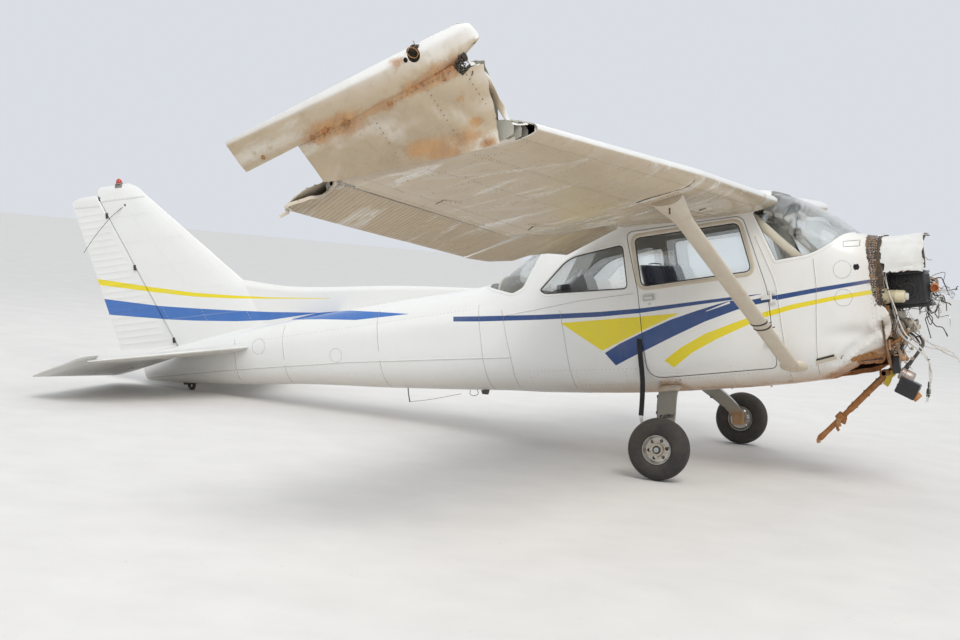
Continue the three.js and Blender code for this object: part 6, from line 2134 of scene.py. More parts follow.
@dataclass(frozen=True)
class Lifting:
    """A wing's sections: distance out, leading edge x and z, chord and nose-up angle."""

    rows: tuple[tuple[float, ...], ...]
    side: int

    def at(self, outs: np.ndarray) -> np.ndarray:
        """Return the rows between those of the table."""
        table = np.array(self.rows, float)
        outs = np.asarray(outs, float)
        i = np.clip(np.searchsorted(table[:, 0], outs) - 1, 0, len(table) - 2)
        t = (outs - table[i, 0]) / (table[i + 1, 0] - table[i, 0])
        return table[i] + (table[i + 1] - table[i]) * t[:, None]

    def axes(self, rows: np.ndarray) -> tuple[np.ndarray, np.ndarray, np.ndarray]:
        """Return leading edge points, backward and upward unit vectors of sections."""
        angle = np.radians(rows[:, 4])
        skew = np.radians(rows[:, 5]) if rows.shape[1] > 5 else np.zeros(len(rows))
        base = np.stack([rows[:, 1], self.side * rows[:, 0], rows[:, 2]], 1)
        back = np.stack([-np.cos(angle), self.side * np.tan(skew), -np.sin(angle)], 1)
        back /= np.linalg.norm(back, axis=1)[:, None]
        return base, back, np.stack([-np.sin(angle), np.zeros(len(rows)), np.cos(angle)], 1)

    def place(self, outs: Sequence[float], parts: Sequence[float], levels: Sequence[float]) -> np.ndarray:
        """Return points at distances out, parts of the chord and parts of the half thickness."""
        outs, parts, levels = (np.asarray(v, float) for v in (outs, parts, levels))
        rows = self.at(outs)
        base, back, up = self.axes(rows)
        rise = rows[:, 3] * (camber_line(parts) + levels * half_thickness(parts))
        return base + back * (parts * rows[:, 3])[:, None] + up * rise[:, None]

    def loops(
        self,
        outs: np.ndarray,
        rear: Callable[[float], float],
        inset: float = 0.0,
        count: int = 44,
        dents: Callable[[np.ndarray, np.ndarray, int], np.ndarray] | None = None,
        depth: np.ndarray | None = None,
        rows: np.ndarray | None = None,
    ) -> np.ndarray:
        """Return rings round the section at distances out.

        Args:
            outs: Distances out.
            rear: Where the section ends, as a part of the chord, at a distance out.
            inset: How far inside the skin.
            count: Points along each side.
            dents: Outward shift of the skin at distances, parts of the chord, and side up or down.
            depth: Section depth against the chord, and the same for the camber.
            rows: Sections to use instead of the table's.

        Returns:
            The rings, as an n by m grid of points.
        """
        rows = self.at(outs) if rows is None else rows
        base, back, up = self.axes(rows)
        depths = np.ones(len(rows)) if depth is None else depth
        rings = []
        for i, out in enumerate(outs):
            chord = rows[i, 3]
            start = 2 * inset / chord
            parts = start + (rear(out) - start) * np.linspace(0, 1, count) ** 1.7
            sides = []
            for way in (1, -1):
                half = np.maximum(chord * depths[i] * half_thickness(parts) - inset, 1.2)
                if dents is not None:
                    half = half + dents(np.full(count, out), parts, way)
                rise = chord * depths[i] * camber_line(parts) + way * half
                sides.append(base[i] + back[i] * (parts * chord)[:, None] + up[i] * rise[:, None])
            rings.append(np.vstack([sides[0][::-1], sides[1][1:]]))
        return np.array(rings)


RIGHT_WING = Lifting(RIGHT_ROWS, RIGHT)
LEFT_WING = Lifting(LEFT_ROWS, LEFT)
OUTER_WING = Lifting(OUTER_ROWS, RIGHT)
CAP = Lifting(CAP_ROWS, RIGHT)


@dataclass(frozen=True)
class Crease:
    """The fold across the right wing, from the leading edge to the rear spar on the lower skin."""

    front: np.ndarray
    rear: np.ndarray
    fold: float = 62.0

    def along(self) -> np.ndarray:
        """Return the fold's direction."""
        line = self.rear - self.front
        return line / np.linalg.norm(line)

    def beyond(self, lean: float, shift: float) -> Solid:
        """Return a block on the outer side of a plane through the fold."""
        along = self.along()
        up = np.array([0, 0, 1.0])
        up -= along * (up @ along)
        up /= np.linalg.norm(up)
        out = np.cross(along, up)
        out *= -math.copysign(1, out[1])
        face = out * math.cos(math.radians(lean)) + up * math.sin(math.radians(lean))
        tall = np.cross(face, along)
        size = 1500.0
        corners = []
        for depth in (shift, shift + 2 * size):
            corners.append([self.front + along * a * size + tall * b * size + face * depth
                            for a, b in ((-1, -1), (1, -1), (1, 1), (-1, 1))])
        return loft(corners)

    def matrix(self) -> Matrix:
        """Return the turn that folds the tip up."""
        here = Matrix.Translation(Vector(self.front))
        return here @ Matrix.Rotation(math.radians(self.fold), 4, Vector(self.along())) @ here.inverted()


CREASE = Crease(
    RIGHT_WING.place([4960], [0.02], [-1])[0], RIGHT_WING.place([5255], [AILERON_AT], [-1])[0],
)


@dataclass
class RightWing:
    """The right wing, its folded tip, its flap and its aileron."""

    shop: Workshop
    palette: Palette
    rivets: Rivets
    skin: float = 8.0
    rib_step: float = 380.0
    # Folds of the lower skin: out and part of the chord at both ends, width and depth
    folds: tuple[tuple[float, ...], ...] = (
        (4196, 0.58, 4020, 0.5, 18, -5), (4020, 0.5, 3870, 0.52, 22, 5), (3300, 0.6, 2800, 0.57, 18, -6),
        (2800, 0.58, 2690, 0.5, 15, 5), (2490, 0.55, 2380, 0.6, 14, -5), (5050, 0.56, 4650, 0.34, 30, 8),
        (4900, 0.62, 4520, 0.43, 26, -9), (4800, 0.72, 4250, 0.6, 34, 7), (4560, 0.2, 4150, 0.42, 40, -6),
        (3900, 0.3, 3500, 0.45, 46, 6), (3650, 0.66, 3250, 0.5, 30, -6), (2980, 0.24, 2650, 0.4, 40, 5),
        (4980, 0.3, 4700, 0.22, 22, -8),
    )

    def dents(self, out: np.ndarray, f: np.ndarray, way: int) -> np.ndarray:
        """Return how far the skin stands out, in millimetres."""
        rib = np.sin(np.pi * out / self.rib_step) ** 2
        middle = np.sin(np.pi * np.clip((f - 0.03) / 0.66, 0, 1))
        shift = -1.3 * rib * middle
        chordwise = f * 1500
        hurt = smoothstep(3300, 4900, out)
        waves = np.sin(out / 83 + chordwise / 121 + 1.7 * np.sin(out / 310))
        waves = waves + 0.6 * np.sin(out / 47 - chordwise / 70)
        shift = shift + (1.2 + 3.2 * hurt) * waves * middle * (1.0 if way < 0 else 0.5)
        if way < 0:
            for o0, f0, o1, f1, width, depth in self.folds:
                shift = shift + depth * valley(out, chordwise, (o0, f0 * 1500), (o1, f1 * 1500), width)
        return shift * smoothstep(0.0, 0.06, f)

    def rear(self, out: float) -> float:
        """Return where the fixed wing ends, in front of the flap and then of the aileron."""
        return WING_REAR if out < 2610 else AILERON_AT

    def stations(self, low: float, high: float, step: float) -> np.ndarray:
        """Return distances out with both sides of the step behind the flap."""
        outs = np.concatenate([np.arange(low, high, step), [low, high, 2600.0, 2621.0]])
        outs = np.unique(outs[(outs >= low) & (outs <= high)])
        return outs[(outs <= 2600) | (outs >= 2621)]

    def finishes(self) -> list[bpy.types.Material]:
        """Return the paint and the primed inside."""
        inside = self.palette.tone(Tones.ZINC.value)
        return [self.palette.wing_paint(), inside, inside]

    def rust(self, points: np.ndarray) -> np.ndarray:
        """Return where the wing has rusted: the tip rib's line, the lamp, the crease and the torn edges."""
        spots = (
            (-1181, -5228, 2100, 80, 0.62), (-1100, -5206, 2125, 70, 0.8), (-1263, -5251, 2064, 66, 0.5),
            (-1403, -5277, 2000, 42, 0.75), (-1600, -5328, 1935, 100, 0.62), (-1703, -5352, 1906, 85, 0.85),
            (-1765, -5364, 1883, 45, 0.7), (-1325, -5307, 2176, 40, 0.6), (-1337, -5157, 1778, 80, 0.62),
            (-1240, -5110, 1775, 120, 0.5), (-1119, -5094, 1815, 90, 0.5), (-1035, -5037, 1785, 45, 0.85),
            (-1060, -5090, 1880, 40, 0.6), (-1100, -5150, 1985, 32, 0.55), (-2004, -5421, 1820, 24, 0.5),
            (-1350, -5290, 2140, 26, 0.6), (-1620, -2720, 1534, 40, 0.5), (-1750, -3240, 1556, 36, 0.45),
            (-1757, -4196, 1620, 34, 0.5), (-1659, -2861, 1541, 36, 0.45), (-652, -858, 1689, 22, 0.6),
            (-1000, -4960, 1890, 35, 0.5), (-960, -1400, 1611, 26, 0.35), (-1300, -3000, 1590, 60, 0.2),
        )
        mask = np.zeros(len(points))
        for x, y, z, reach, amount in spots:
            mask = np.maximum(mask, amount * bump_at(points, (x, y, z), (reach, reach * 0.55, reach * 0.6)))
        line = self.line_distance(points, ((-1060, -5199, 2140), (-1687, -5340, 1900)))
        wide = 18 + 26 * smoothstep(-1450, -1100, points[:, 0])
        along = 0.55 + 0.25 * smoothstep(-1500, -1120, points[:, 0])
        return np.maximum(mask, along * np.exp(-(line / wide) ** 2))

    @staticmethod
    def line_distance(points: np.ndarray, line: tuple[Point, Point]) -> np.ndarray:
        """Return how far points are from a line between two points."""
        a, b = (np.array(p, float) for p in line)
        t = np.clip(((points - a) @ (b - a)) / ((b - a) @ (b - a)), 0, 1)
        return np.linalg.norm(points - a - t[:, None] * (b - a), axis=1)

    def grime(self, points: np.ndarray) -> np.ndarray:
        """Return where the tip and the root are stained."""
        _, y, z = points.T
        tip = 0.35 * smoothstep(-5000, -5200, y) * smoothstep(2250, 1850, z)
        return tip + 0.3 * bump_at(points, (-1500, -5100, 1740), (260, 160, 60))

    def masks(self) -> dict[str, Callable[[np.ndarray], np.ndarray]]:
        """Return the masks of the wing's paint."""
        return {"rust": self.rust, "grime": self.grime}

    def grooved(self) -> dict[str, Callable[[np.ndarray], np.ndarray]]:
        """Return the masks of a surface with pressed beads, darker in a line beside each bead."""
        def lines(points: np.ndarray) -> np.ndarray:
            """Return the grime mask, darker in a line beside each bead."""
            phase = (-points[:, 1] / 50.0) % 1.0 - 0.5
            beside = np.exp(-(((np.abs(phase) * 50 - 11) / 4.5) ** 2))
            return self.grime(points) + 0.62 * beside

        return {"rust": self.rust, "grime": lines}

    def main_panel(self) -> None:
        """Build the wing up to the fold."""
        outs = self.stations(440, 5460, 38.0)
        body = loft(RIGHT_WING.loops(outs, self.rear, dents=self.dents))
        inner = self.stations(440, 5460, 180.0)
        inner[0], inner[-1] = 380.0, 5520.0
        rows = RIGHT_WING.at(np.clip(inner, 440, 5460))
        rows[:, 0] = inner
        hollow = loft(RIGHT_WING.loops(inner, lambda out: self.rear(out) - 0.012, 8.0, 30, self.dents,
                                       rows=rows))
        tear = ragged([(-600, -4850), (-890, -4858), (-945, -4915), (-925, -4965), (-1010, -5010),
                       (-600, -5160)],
                      22, 9, 4, 2)
        bite = carve(prism(tear, 1700, 2100, "z"), [CREASE.beyond(31, -70)], Carving.KEEP)
        skin = carve(body, [hollow, CREASE.beyond(31, -0.15), bite])
        skin = carve(skin, [self.hull_block()])
        self.shop.make("wing_right_skin", skin, self.finishes(), Slot.WHITE, replaces=("wing_right",),
                       masks=self.masks())
        spar = loft([RIGHT_WING.place([out] * 4, [0.25, 0.25, 0.262, 0.262], [0.9, -0.9, -0.9, 0.9])
                     for out in (620, 2600, 4700)])
        self.shop.make("wing_right_spar", spar, [self.palette.tone(Tones.ZINC.value)], Slot.BRIGHT)
        rear = loft([RIGHT_WING.place([out] * 4, [0.69, 0.69, 0.7, 0.7], [0.8, -0.8, -0.8, 0.8])
                     for out in (620, 4500)])
        self.shop.make("wing_right_rear_spar", rear, [self.palette.tone(Tones.ZINC.value)], Slot.BRIGHT)

    @staticmethod
    def hull_block() -> Solid:
        """Return the fuselage as a solid that wings are cut against."""
        xs = np.linspace(-3200, 40, 90)
        rings = HULL.surface(xs, np.linspace(0, 2 * math.pi, 72, endpoint=False), -0.5, False)
        return loft(rings)

    def tip_panel(self) -> None:
        """Build the folded outer panel with its torn leading edge and its rib."""
        outs = np.linspace(4700, 5390, 40)

        def rear(out: float) -> float:
            """Return the part of the chord at which the panel ends."""
            return AILERON_AT + (0.82 - AILERON_AT) * (out - 4700) / 690

        def dents(out: np.ndarray, f: np.ndarray, way: int) -> np.ndarray:
            """Return how far the folded panel's skin is pushed out or in."""
            chordwise = f * 1200
            shift = 2.4 * np.sin(out / 41 + chordwise / 66) + 1.6 * np.sin(out / 23 - chordwise / 90)
            if way < 0:
                for line, width, depth in (
                    (((5340, 420), (5060, 250)), 14, 7), (((5330, 300), (5080, 180)), 12, -8),
                    (((5120, 900), (5250, 420)), 30, 6), (((5090, 500), (5060, 820)), 20, -6),
                    (((5300, 700), (5180, 820)), 26, 5), (((5385, 300), (5100, 330)), 10, -6),
                ):
                    shift = shift + depth * valley(out, chordwise, *line, width)
            return shift * smoothstep(0, 0.06, f) * smoothstep(0, 8, 5394 - out)

        body = loft(OUTER_WING.loops(outs, rear, dents=dents))
        inside = np.linspace(4700, 5378, 12)
        rows = OUTER_WING.at(inside)
        inside[0] = rows[0, 0] = 4640
        hollow = loft(OUTER_WING.loops(inside, lambda out: rear(out) - 0.012, self.skin, 26, dents,
                                       rows=rows))
        torn = ragged([
            (-600, -4700), (-1060, -4800), (-1012, -4930), (-972, -5035), (-937, -5121), (-892, -5245),
            (-868, -5330),
            (-905, -5348), (-972, -5340), (-985, -5420), (-600, -5420),
        ], 26, 7, 8, 2)
        kept = carve(carve(body, [hollow, prism(torn, 1500, 2300, "z")]), [CREASE.beyond(-31, 0.15)],
                     Carving.KEEP)
        self.shop.make("wing_tip_skin", kept.moved(CREASE.matrix()), self.finishes(), Slot.DIRTY,
                       replaces=("wing_tip_panel",), masks=self.masks())

    def tip_cap(self) -> None:
        """Build the moulded tip, open in two layers at its trailing edge."""
        outs = np.array([5399.6, 5410, 5425, 5440, 5460, 5480, 5500, 5510, 5520, 5529, 5536, 5541, 5544,
                         5545.5])
        table = np.array(CAP_ROWS, float)
        rows = monotone(table[:, 0], table, outs)
        rows[:, 0] = outs
        rows[-1, 6] = 0.1

        def dents(out: np.ndarray, f: np.ndarray, way: int) -> np.ndarray:
            """Return how far the moulding's skin stands off, more at its open end."""
            open_end = smoothstep(0.5, 0.93, f) ** 1.5 * (5 if way < 0 else 3)
            return open_end - 3.2 + 0.9 * np.sin(f * 37 + out / 30)

        body = loft(CAP.loops(outs, lambda _: 0.93, 0, 48, dents, rows[:, 6], rows))
        inside = np.array([5404, 5430, 5470, 5505, 5524])
        inner_rows = monotone(table[:, 0], table, inside)
        hollow = loft(CAP.loops(inside, lambda _: 1.0, 5.0, 40, None, inner_rows[:, 6], inner_rows))
        back = CREASE.matrix().inverted()
        holes = []
        for point, radius, depth in (((-1256, -5286, 2207), 29, 60), ((-1292, -5300, 2182), 10, 60),
                                     ((-1240, -5278, 2196), 7, 50)):
            flat = np.array(back @ Vector(point))
            holes.append(rod(flat + np.array([0, 18, -34]), flat + np.array([0, -10, depth]), radius, 24))
        skin = carve(body, [hollow, *holes])
        self.shop.make("wing_tip_moulding", skin.moved(CREASE.matrix()), self.finishes(), Slot.WHITE,
                       replaces=("wing_tip_cap",), masks=self.masks())
        ring = np.array((-1256, -5286, 2207), float)
        inward = np.array([0.1, 0.55, 0.45])
        inward /= np.linalg.norm(inward)
        aside = np.cross(inward, (1.0, 0.0, 0.0))
        aside /= np.linalg.norm(aside)
        across = np.cross(inward, aside)
        turn = np.linspace(0, 2 * math.pi, 33)[:-1, None]
        round_ = np.cos(turn) * aside + np.sin(turn) * across
        rim = ribbon(ring + round_ * 28 - inward * 1.5, np.tile(-inward, (32, 1)), 5.0, 2.0, True)
        cup = turned([(20, 6), (21, 24), (24, 26), (30, 25), (38, 6)], ring, ring + inward, 28)
        self.shop.make("tip_lamp_ring", rim, [self.palette.tone(Tones.RUSTY.value)], Slot.RUSTY)
        self.shop.make("tip_lamp_cup", cup, [self.palette.tone(Tones.DARK.value)], Slot.DARK)
        draw = np.random.default_rng(6)
        wires = []
        for k in range(5):
            sag = np.cumsum(np.vstack([ring + inward * 26, draw.normal(0, 12, (5, 3)) - inward * 5
                                       * (k % 2)]), 0)
            wires.append(pipe(spline(sag, 20), 1.6, 6))
        self.shop.make("tip_lamp_wires", joined(wires), [self.palette.tone(Tones.DARK.value)], Slot.DARK)

    def torn_edge(self) -> None:
        """Build the peeled strips, the lamp debris and the ribs in the gap beside the fold."""
        strips, dark, wires = [], [], []
        draw = np.random.default_rng(12)
        paths = (
            (((-1020, -5078, 2140), (-1002, -5058, 2080), (-984, -5024, 2005), (-968, -4986, 1940),
              (-950, -4940, 1886),
              (-925, -4896, 1866), (-900, -4862, 1870)), 34, 2.0),
            (((-1050, -5150, 2150), (-1034, -5122, 2142), (-1020, -5084, 2138)), 26, 1.8),
        )
        for path, width, thick in paths:
            points = spline(path, 26)
            tangent = np.gradient(points, axis=0)
            tangent /= np.linalg.norm(tangent, axis=1)[:, None]
            wave = np.stack([0.25 * np.sin(np.arange(26) / 2.1), -0.8 + 0.3 * np.cos(np.arange(26) / 3),
                             0.5 + 0 * np.arange(26)], 1)
            normals = wave - tangent * (wave * tangent).sum(1)[:, None]
            normals /= np.linalg.norm(normals, axis=1)[:, None]
            curl = points + normals * (4 * np.sin(np.arange(26) / 1.7))[:, None]
            strips.append(ribbon(curl, normals, width, thick))
        self.shop.make("torn_leading_edge", joined(strips), [self.palette.wing_paint()], Slot.WHITE,
                       masks=self.masks())
        start = np.array((-1085, -5200, 2165.0))
        for _ in range(9):
            walk = np.cumsum(np.vstack([start + draw.normal(0, 14, 3),
                                        draw.normal(0, 17, (5, 3)) + (6, 4, -7)]), 0)
            wires.append(pipe(spline(walk, 24), float(draw.uniform(1.6, 3.2)), 6))
        self.shop.make("tip_lamp_debris", joined(wires), [self.palette.tone(Tones.DARK.value)], Slot.DARK)
        dark.append(turned([(0, 24), (4, 30), (20, 34), (24, 30), (30, 18)], (-1075, -5175, 2170),
                           (-1040, -5150, 2205), 20))
        dark.append(rod((-1095, -5190, 2150), (-1050, -5165, 2172), 11, 12))
        self.shop.make("tip_lamp_holder", joined(dark), [self.palette.tone(Tones.DARK.value)], Slot.DARK)
        ribs = []
        for out in (4836, 4905, 4990):
            outline = RIGHT_WING.place([out] * 10, [0.06, 0.12, 0.18, 0.24, 0.24, 0.18, 0.12, 0.09, 0.06,
                                                    0.05],
                                       [0.8, 0.85, 0.88, 0.9, -0.9, -0.88, -0.85, -0.8, -0.7, 0.1])
            ribs.append(loft([outline + (0, 1.2, 0), outline - (0, 1.2, 0)]))
        self.shop.make("bare_ribs", joined(ribs), [self.palette.tone(Tones.ZINC.value)], Slot.BRIGHT)

    def moving_rings(self, table: tuple[tuple[float, ...], ...], wing: Lifting, outs: np.ndarray,
                     bead: float,
                     inset: float = 0.0, count: int = 16) -> np.ndarray:
        """Return rings round a flap or aileron.

        Args:
            table: Distance out, part of the chord in front, angle below level, and nose height.
            wing: The wing that it hangs on.
            outs: Distances out.
            bead: How far the pressed beads stand out.
            inset: How far inside the skin.
            count: Points along each side.

        Returns:
            The rings, as an n by m grid of points.
        """
        rows = np.stack([np.interp(outs, [r[0] for r in table], [r[k] for r in table]) for k in range(4)],
                        1)
        hinge = wing.place(outs, rows[:, 1], [-1] * len(outs))
        hinge[:, 0] -= 0.3
        chord = wing.at(outs)[:, 3]
        rings = []
        for i, out in enumerate(outs):
            length = chord[i] * (1 - rows[i, 1]) - 0.3
            height = rows[i, 3]
            angle = math.radians(rows[i, 2])
            back = np.array([-math.cos(angle), 0, -math.sin(angle)])
            up = np.array([-math.sin(angle), 0, math.cos(angle)])
            phase = (out / 50.0) % 1.0 - 0.5
            ridge = bead * math.exp(-((phase * 50 / 7.0) ** 2))
            top_s = np.array([0.0, 0.02, 0.05, 0.1, 0.2, 0.3, *np.linspace(0.4, 1, count - 6)]) * length
            profile_s = np.array([0, 0.06, 0.3, 1.0]) * length
            nose = [0.5 * height, 0.99 * height, 0.85 * height, 5]
            top_h = monotone(profile_s, np.array(nose, float)[:, None], top_s)[:, 0]
            low_s = np.linspace(1, 0, count) * length
            fade_top = smoothstep(0.1, 0.16, top_s / length) * smoothstep(0.99, 0.93, top_s / length)
            fade_low = smoothstep(0.06, 0.12, low_s / length) * smoothstep(0.99, 0.93, low_s / length)
            low_h = 0.4 * height * (1 - smoothstep(0, 0.05, low_s / length)) ** 2 - ridge * fade_low
            top_h = top_h + ridge * fade_top
            if inset:
                top_s = np.clip(top_s, 4 * inset, length - 8 * inset)
                low_s = np.clip(low_s, 4 * inset, length - 8 * inset)
                top_h = np.maximum(top_h - inset, 2.4)
                low_h = np.minimum(low_h + inset, 1.6 + 0.5 * height
                                   * (1 - smoothstep(0, 0.05, low_s / length)) ** 2)
            s = np.concatenate([top_s, low_s])
            h = np.concatenate([top_h, low_h])
            rings.append(hinge[i] + back * s[:, None] + up * h[:, None])
        return np.array(rings)

    @staticmethod
    def beaded(low: float, high: float) -> np.ndarray:
        """Return distances out that resolve the beads."""
        places = [k * 50 + 25 + d for k in range(int(low // 50) - 1, int(high // 50) + 1)
                  for d in (-18, -10, -5.5, 0, 5.5, 10)]
        outs = np.array([p for p in places if low + 2 < p < high - 2] + [low, high], float)
        return np.unique(outs)

    def flap(self) -> None:
        """Build the drooping flap with its pressed beads."""
        outs = self.beaded(590, 2592)
        solid = loft(self.moving_rings(RIGHT_FLAP, RIGHT_WING, outs, 4.2))
        self.shop.make("flap_right_skin", solid, [self.palette.wing_paint()], Slot.DIRTY,
                       replaces=("flap_right",),
                       masks=self.grooved())

    @staticmethod
    def aileron_under(places: np.ndarray) -> np.ndarray:
        """Return the height of the aileron's lower side over places in plan."""
        outs = -places[:, 1]
        table = np.array(RIGHT_AILERON, float)
        part, angle = (np.interp(outs, table[:, 0], table[:, k]) for k in (1, 2))
        hinge = RIGHT_WING.place(outs, part, [-1] * len(outs))
        return hinge[:, 2] - np.tan(np.radians(angle)) * (hinge[:, 0] - places[:, 0])

    def gap_covers(self) -> None:
        """Lay the lower skin's rear lip over the gap in front of the flap and the aileron."""
        lips = []
        for low, high, part in ((600, 2590, WING_REAR), (2632, 5010, AILERON_AT)):
            outs = np.arange(low, high, 10.0)
            for level in (-1, 1):
                edge = RIGHT_WING.place(outs, [part] * len(outs), [level] * len(outs))
                back = edge - RIGHT_WING.place(outs, [part - 0.02] * len(outs), [level] * len(outs))
                back /= np.linalg.norm(back, axis=1)[:, None]
                away = np.cross(np.gradient(edge, axis=0), back)
                away /= np.linalg.norm(away, axis=1)[:, None]
                away *= level * np.sign(away[:, 2:])
                lips.append(ribbon(edge + back * 4, away, 44.0, 1.6))
        self.shop.make("wing_rear_lips", joined(lips), [self.palette.wing_paint()], Slot.DIRTY,
                       masks=self.masks())

    def wounds(self) -> None:
        """Lay the small tears and holes of the lower skin: dark strips of painted shade where the skin is
        open, each with a bent bright lip.
        """
        dark, bright = [], []
        for a, b, c in (
            ((-1010, -1326, 1609), (-939, -1423, 1614), 12),
            ((-1737, -2733, 1524), (-1675, -2806, 1535), 9),
            ((-1675, -2806, 1535), (-1600, -2628, 1532), 10),
            ((-1713, -4151, 1622), (-1644, -4198, 1632), 8),
            ((-1644, -4198, 1632), (-1623, -4008, 1622), 11),
            ((-1661, -2930, 1545), (-1625, -2717, 1535), 7),
        ):
            ends = np.array([a, b], float)
            path = ends[0] + (ends[1] - ends[0]) * np.linspace(0, 1, 14)[:, None]
            path += np.stack([5 * np.sin(np.arange(14) * 1.9), 4 * np.cos(np.arange(14) * 1.3),
                              0 * np.arange(14)], 1)
            down = np.tile((0.0, 0.0, -1.0), (14, 1))
            # The dark strip is painted shade inside the tear.
            dark.append(ribbon(path + (0, 0, -1.2), down, float(c), 1.0))
            bright.append(ribbon(path + (c * 0.55, 0, -1.6), down, 4.0, 2.6))
        self.shop.make("wing_tears", joined(dark), [self.palette.tone(Tones.DARK.value)], Slot.DARK)
        self.shop.make("wing_tear_lips", joined(bright), [self.palette.tone(Tones.BEIGE.value)], Slot.DIRTY)

    def aileron(self) -> None:
        """Build the aileron with its torn outer end."""
        outs = self.beaded(2628, 5440)
        body = loft(self.moving_rings(RIGHT_AILERON, RIGHT_WING, outs, 4.6))
        inner = np.linspace(2640, 5500, 40)
        hollow_rings = self.moving_rings(RIGHT_AILERON, RIGHT_WING, np.clip(inner, 2628, 5440), 0.0, 4.0)
        hollow_rings[:, :, 1] = -inner[:, None]
        torn = ragged([
            (-1500, -5240), (-1745, -5232), (-1782, -5190), (-1828, -5180), (-1862, -5262), (-1905, -5345),
            (-1940, -5368), (-1968, -5290), (-2005, -5330), (-2030, -5285), (-2300, -5270), (-2300, -5600),
            (-1500, -5600),
        ], 18, 6, 11, 3)
        skin = carve(body, [loft(hollow_rings), prism(torn, 1200, 2200, "z"), CREASE.beyond(31, -12)])
        self.shop.make("aileron_right_skin", skin, self.finishes(), Slot.DIRTY, replaces=("aileron_right",),
                       masks=self.grooved())
        outline = np.array([(-1745, -5232), (-1782, -5190), (-1828, -5180), (-1862, -5262), (-1905, -5345),
                            (-1940, -5368),
                            (-1968, -5290), (-2000, -5318)], float)
        flat = spline(np.hstack([outline, np.zeros((8, 1))]), 60)
        flat[:, 2] = self.aileron_under(flat[:, :2]) - 1.0
        along = np.gradient(flat, axis=0)
        away = np.cross(along, (0.0, 0.0, 1.0))
        away /= np.linalg.norm(away, axis=1)[:, None]
        hang = 7 + 4 * np.sin(np.arange(60) / 2.3)
        lip = ribbon(flat - np.stack([0 * hang, 0 * hang, hang * 0.5], 1), away, 15.0, 1.2)
        folded = ribbon(flat + away * 9 + (0, 0, 2.0), np.tile((0.0, 0.0, -1.0), (60, 1)), 16.0, 1.4)
        self.shop.make("aileron_torn_edge", joined([lip, folded]), [self.palette.tone(Tones.BEIGE.value)],
                       Slot.DIRTY)
        y = -5150.0
        bracket = carve(block((-1830, y - 3, 1660), (-1740, y + 3, 1712)), [
            rod((-1800, y - 9, 1688), (-1800, y + 9, 1688), 10, 20),
            rod((-1765, y - 9, 1690), (-1765, y + 9, 1690), 6, 16)])
        bolts = [rod((x, y - 9, z), (x, y + 2, z), 5, 6) for x, z in ((-1820, 1672), (-1780, 1702),
                                                                      (-1750, 1668))]
        self.shop.make("aileron_bracket", joined([bracket, *bolts]),
                       [self.palette.tone(Tones.SHEATH.value)], Slot.WHITE, bevel=1)

    def details(self) -> None:
        """Build inspection plates, laps and rivet lines of the wing."""
        heads, plates = [], []

        def lower(
            outs: Sequence[float], parts: Sequence[float], level: int = -1
        ) -> tuple[np.ndarray, np.ndarray]:
            """Return points on the dented skin and its outward normals there."""
            outs, parts = np.asarray(outs, float), np.asarray(parts, float)
            rows = RIGHT_WING.at(outs)
            base, back, up = RIGHT_WING.axes(rows)
            half = rows[:, 3] * half_thickness(parts) + self.dents(outs, parts, level)
            rise = rows[:, 3] * camber_line(parts) + level * half
            points = base + back * (parts * rows[:, 3])[:, None] + up * rise[:, None]
            return points, np.tile(up.mean(0) * level, (len(outs), 1))

        for level in (-1, 1):
            for part in (0.06, 0.25, 0.262, 0.45, 0.69):
                outs = np.arange(620, 4900 + 300 * part, 4.0)
                heads.append(FuselageSkins.pitch(lower(outs, [part] * len(outs), level), 30.0))
            for out in (640, 1020, 1400, 1780, 2160, 2540, 2920, 3300, 3680, 4060, 4440, 4820):
                parts = np.linspace(0.06, 0.69, 240)
                heads.append(FuselageSkins.pitch(lower([out] * 240, parts, level), 34.0))
        for out, part in ((900, 0.45), (1780, 0.5), (2430, 0.36), (3190, 0.22), (3560, 0.5), (4250, 0.5)):
            turn = np.linspace(0, 2 * math.pi, 33)[:-1]
            points, normals = lower(out + 68 * np.cos(turn), part + 68 * np.sin(turn) / 1500)
            plates.append(ribbon(points, normals, 8.0, 1.4, True))
        self.shop.make("wing_plates", joined(plates), [self.palette.wing_paint()], Slot.WHITE)
        self.rivets.set_along("wing_rivets", heads, tone=Tones.BROWN_HEADS, slot=Slot.DIRTY)
        matrix = np.array(CREASE.matrix())
        tip = []
        for part, level in ((0.26, -1), (0.1, -1), (0.5, -1), (0.26, 1), (0.5, 1)):
            outs = np.arange(5060 + 150 * part, 5380, 3.0)
            tip.append((OUTER_WING.place(outs, [part] * len(outs), [level * 1.02] * len(outs)), level))
        parts = np.linspace(0.12, 0.8, 240)
        tip.append((OUTER_WING.place([5372] * 240, parts, [-1.02] * 240), -1))
        folded = []
        for points, level in tip:
            moved = points @ matrix[:3, :3].T + matrix[:3, 3]
            normal = matrix[:3, :3] @ np.array([-math.sin(math.radians(10)), 0,
                                                math.cos(math.radians(10))]) * level
            folded.append(FuselageSkins.pitch((moved, np.tile(normal, (len(moved), 1))), 27.0))
        self.rivets.set_along("wing_tip_rivets", folded, tone=Tones.BROWN_HEADS, slot=Slot.DIRTY)
        bolts, cups = [], []
        for x, y, z in ((-1149, -5209, 2075), (-1398, -5274, 1996), (-1601, -5327, 1932),
                        (-1765, -5364, 1883), (-2004, -5421, 1820)):
            point = np.array((x, y, z), float)
            normal = np.array([0.05, -0.87, -0.48])
            bolts.append(turned([(-3, 4), (0, 7), (4, 7), (6, 4)], point + normal * 2, point - normal * 4,
                                10))
            cups.append(turned([(0, 12), (1, 13.5), (2, 12)], point + normal * 0.5, point - normal * 2, 14))
        self.shop.make("tip_screws", joined(bolts + cups), [self.palette.tone(Tones.RUSTY.value)],
                       Slot.RUSTY)

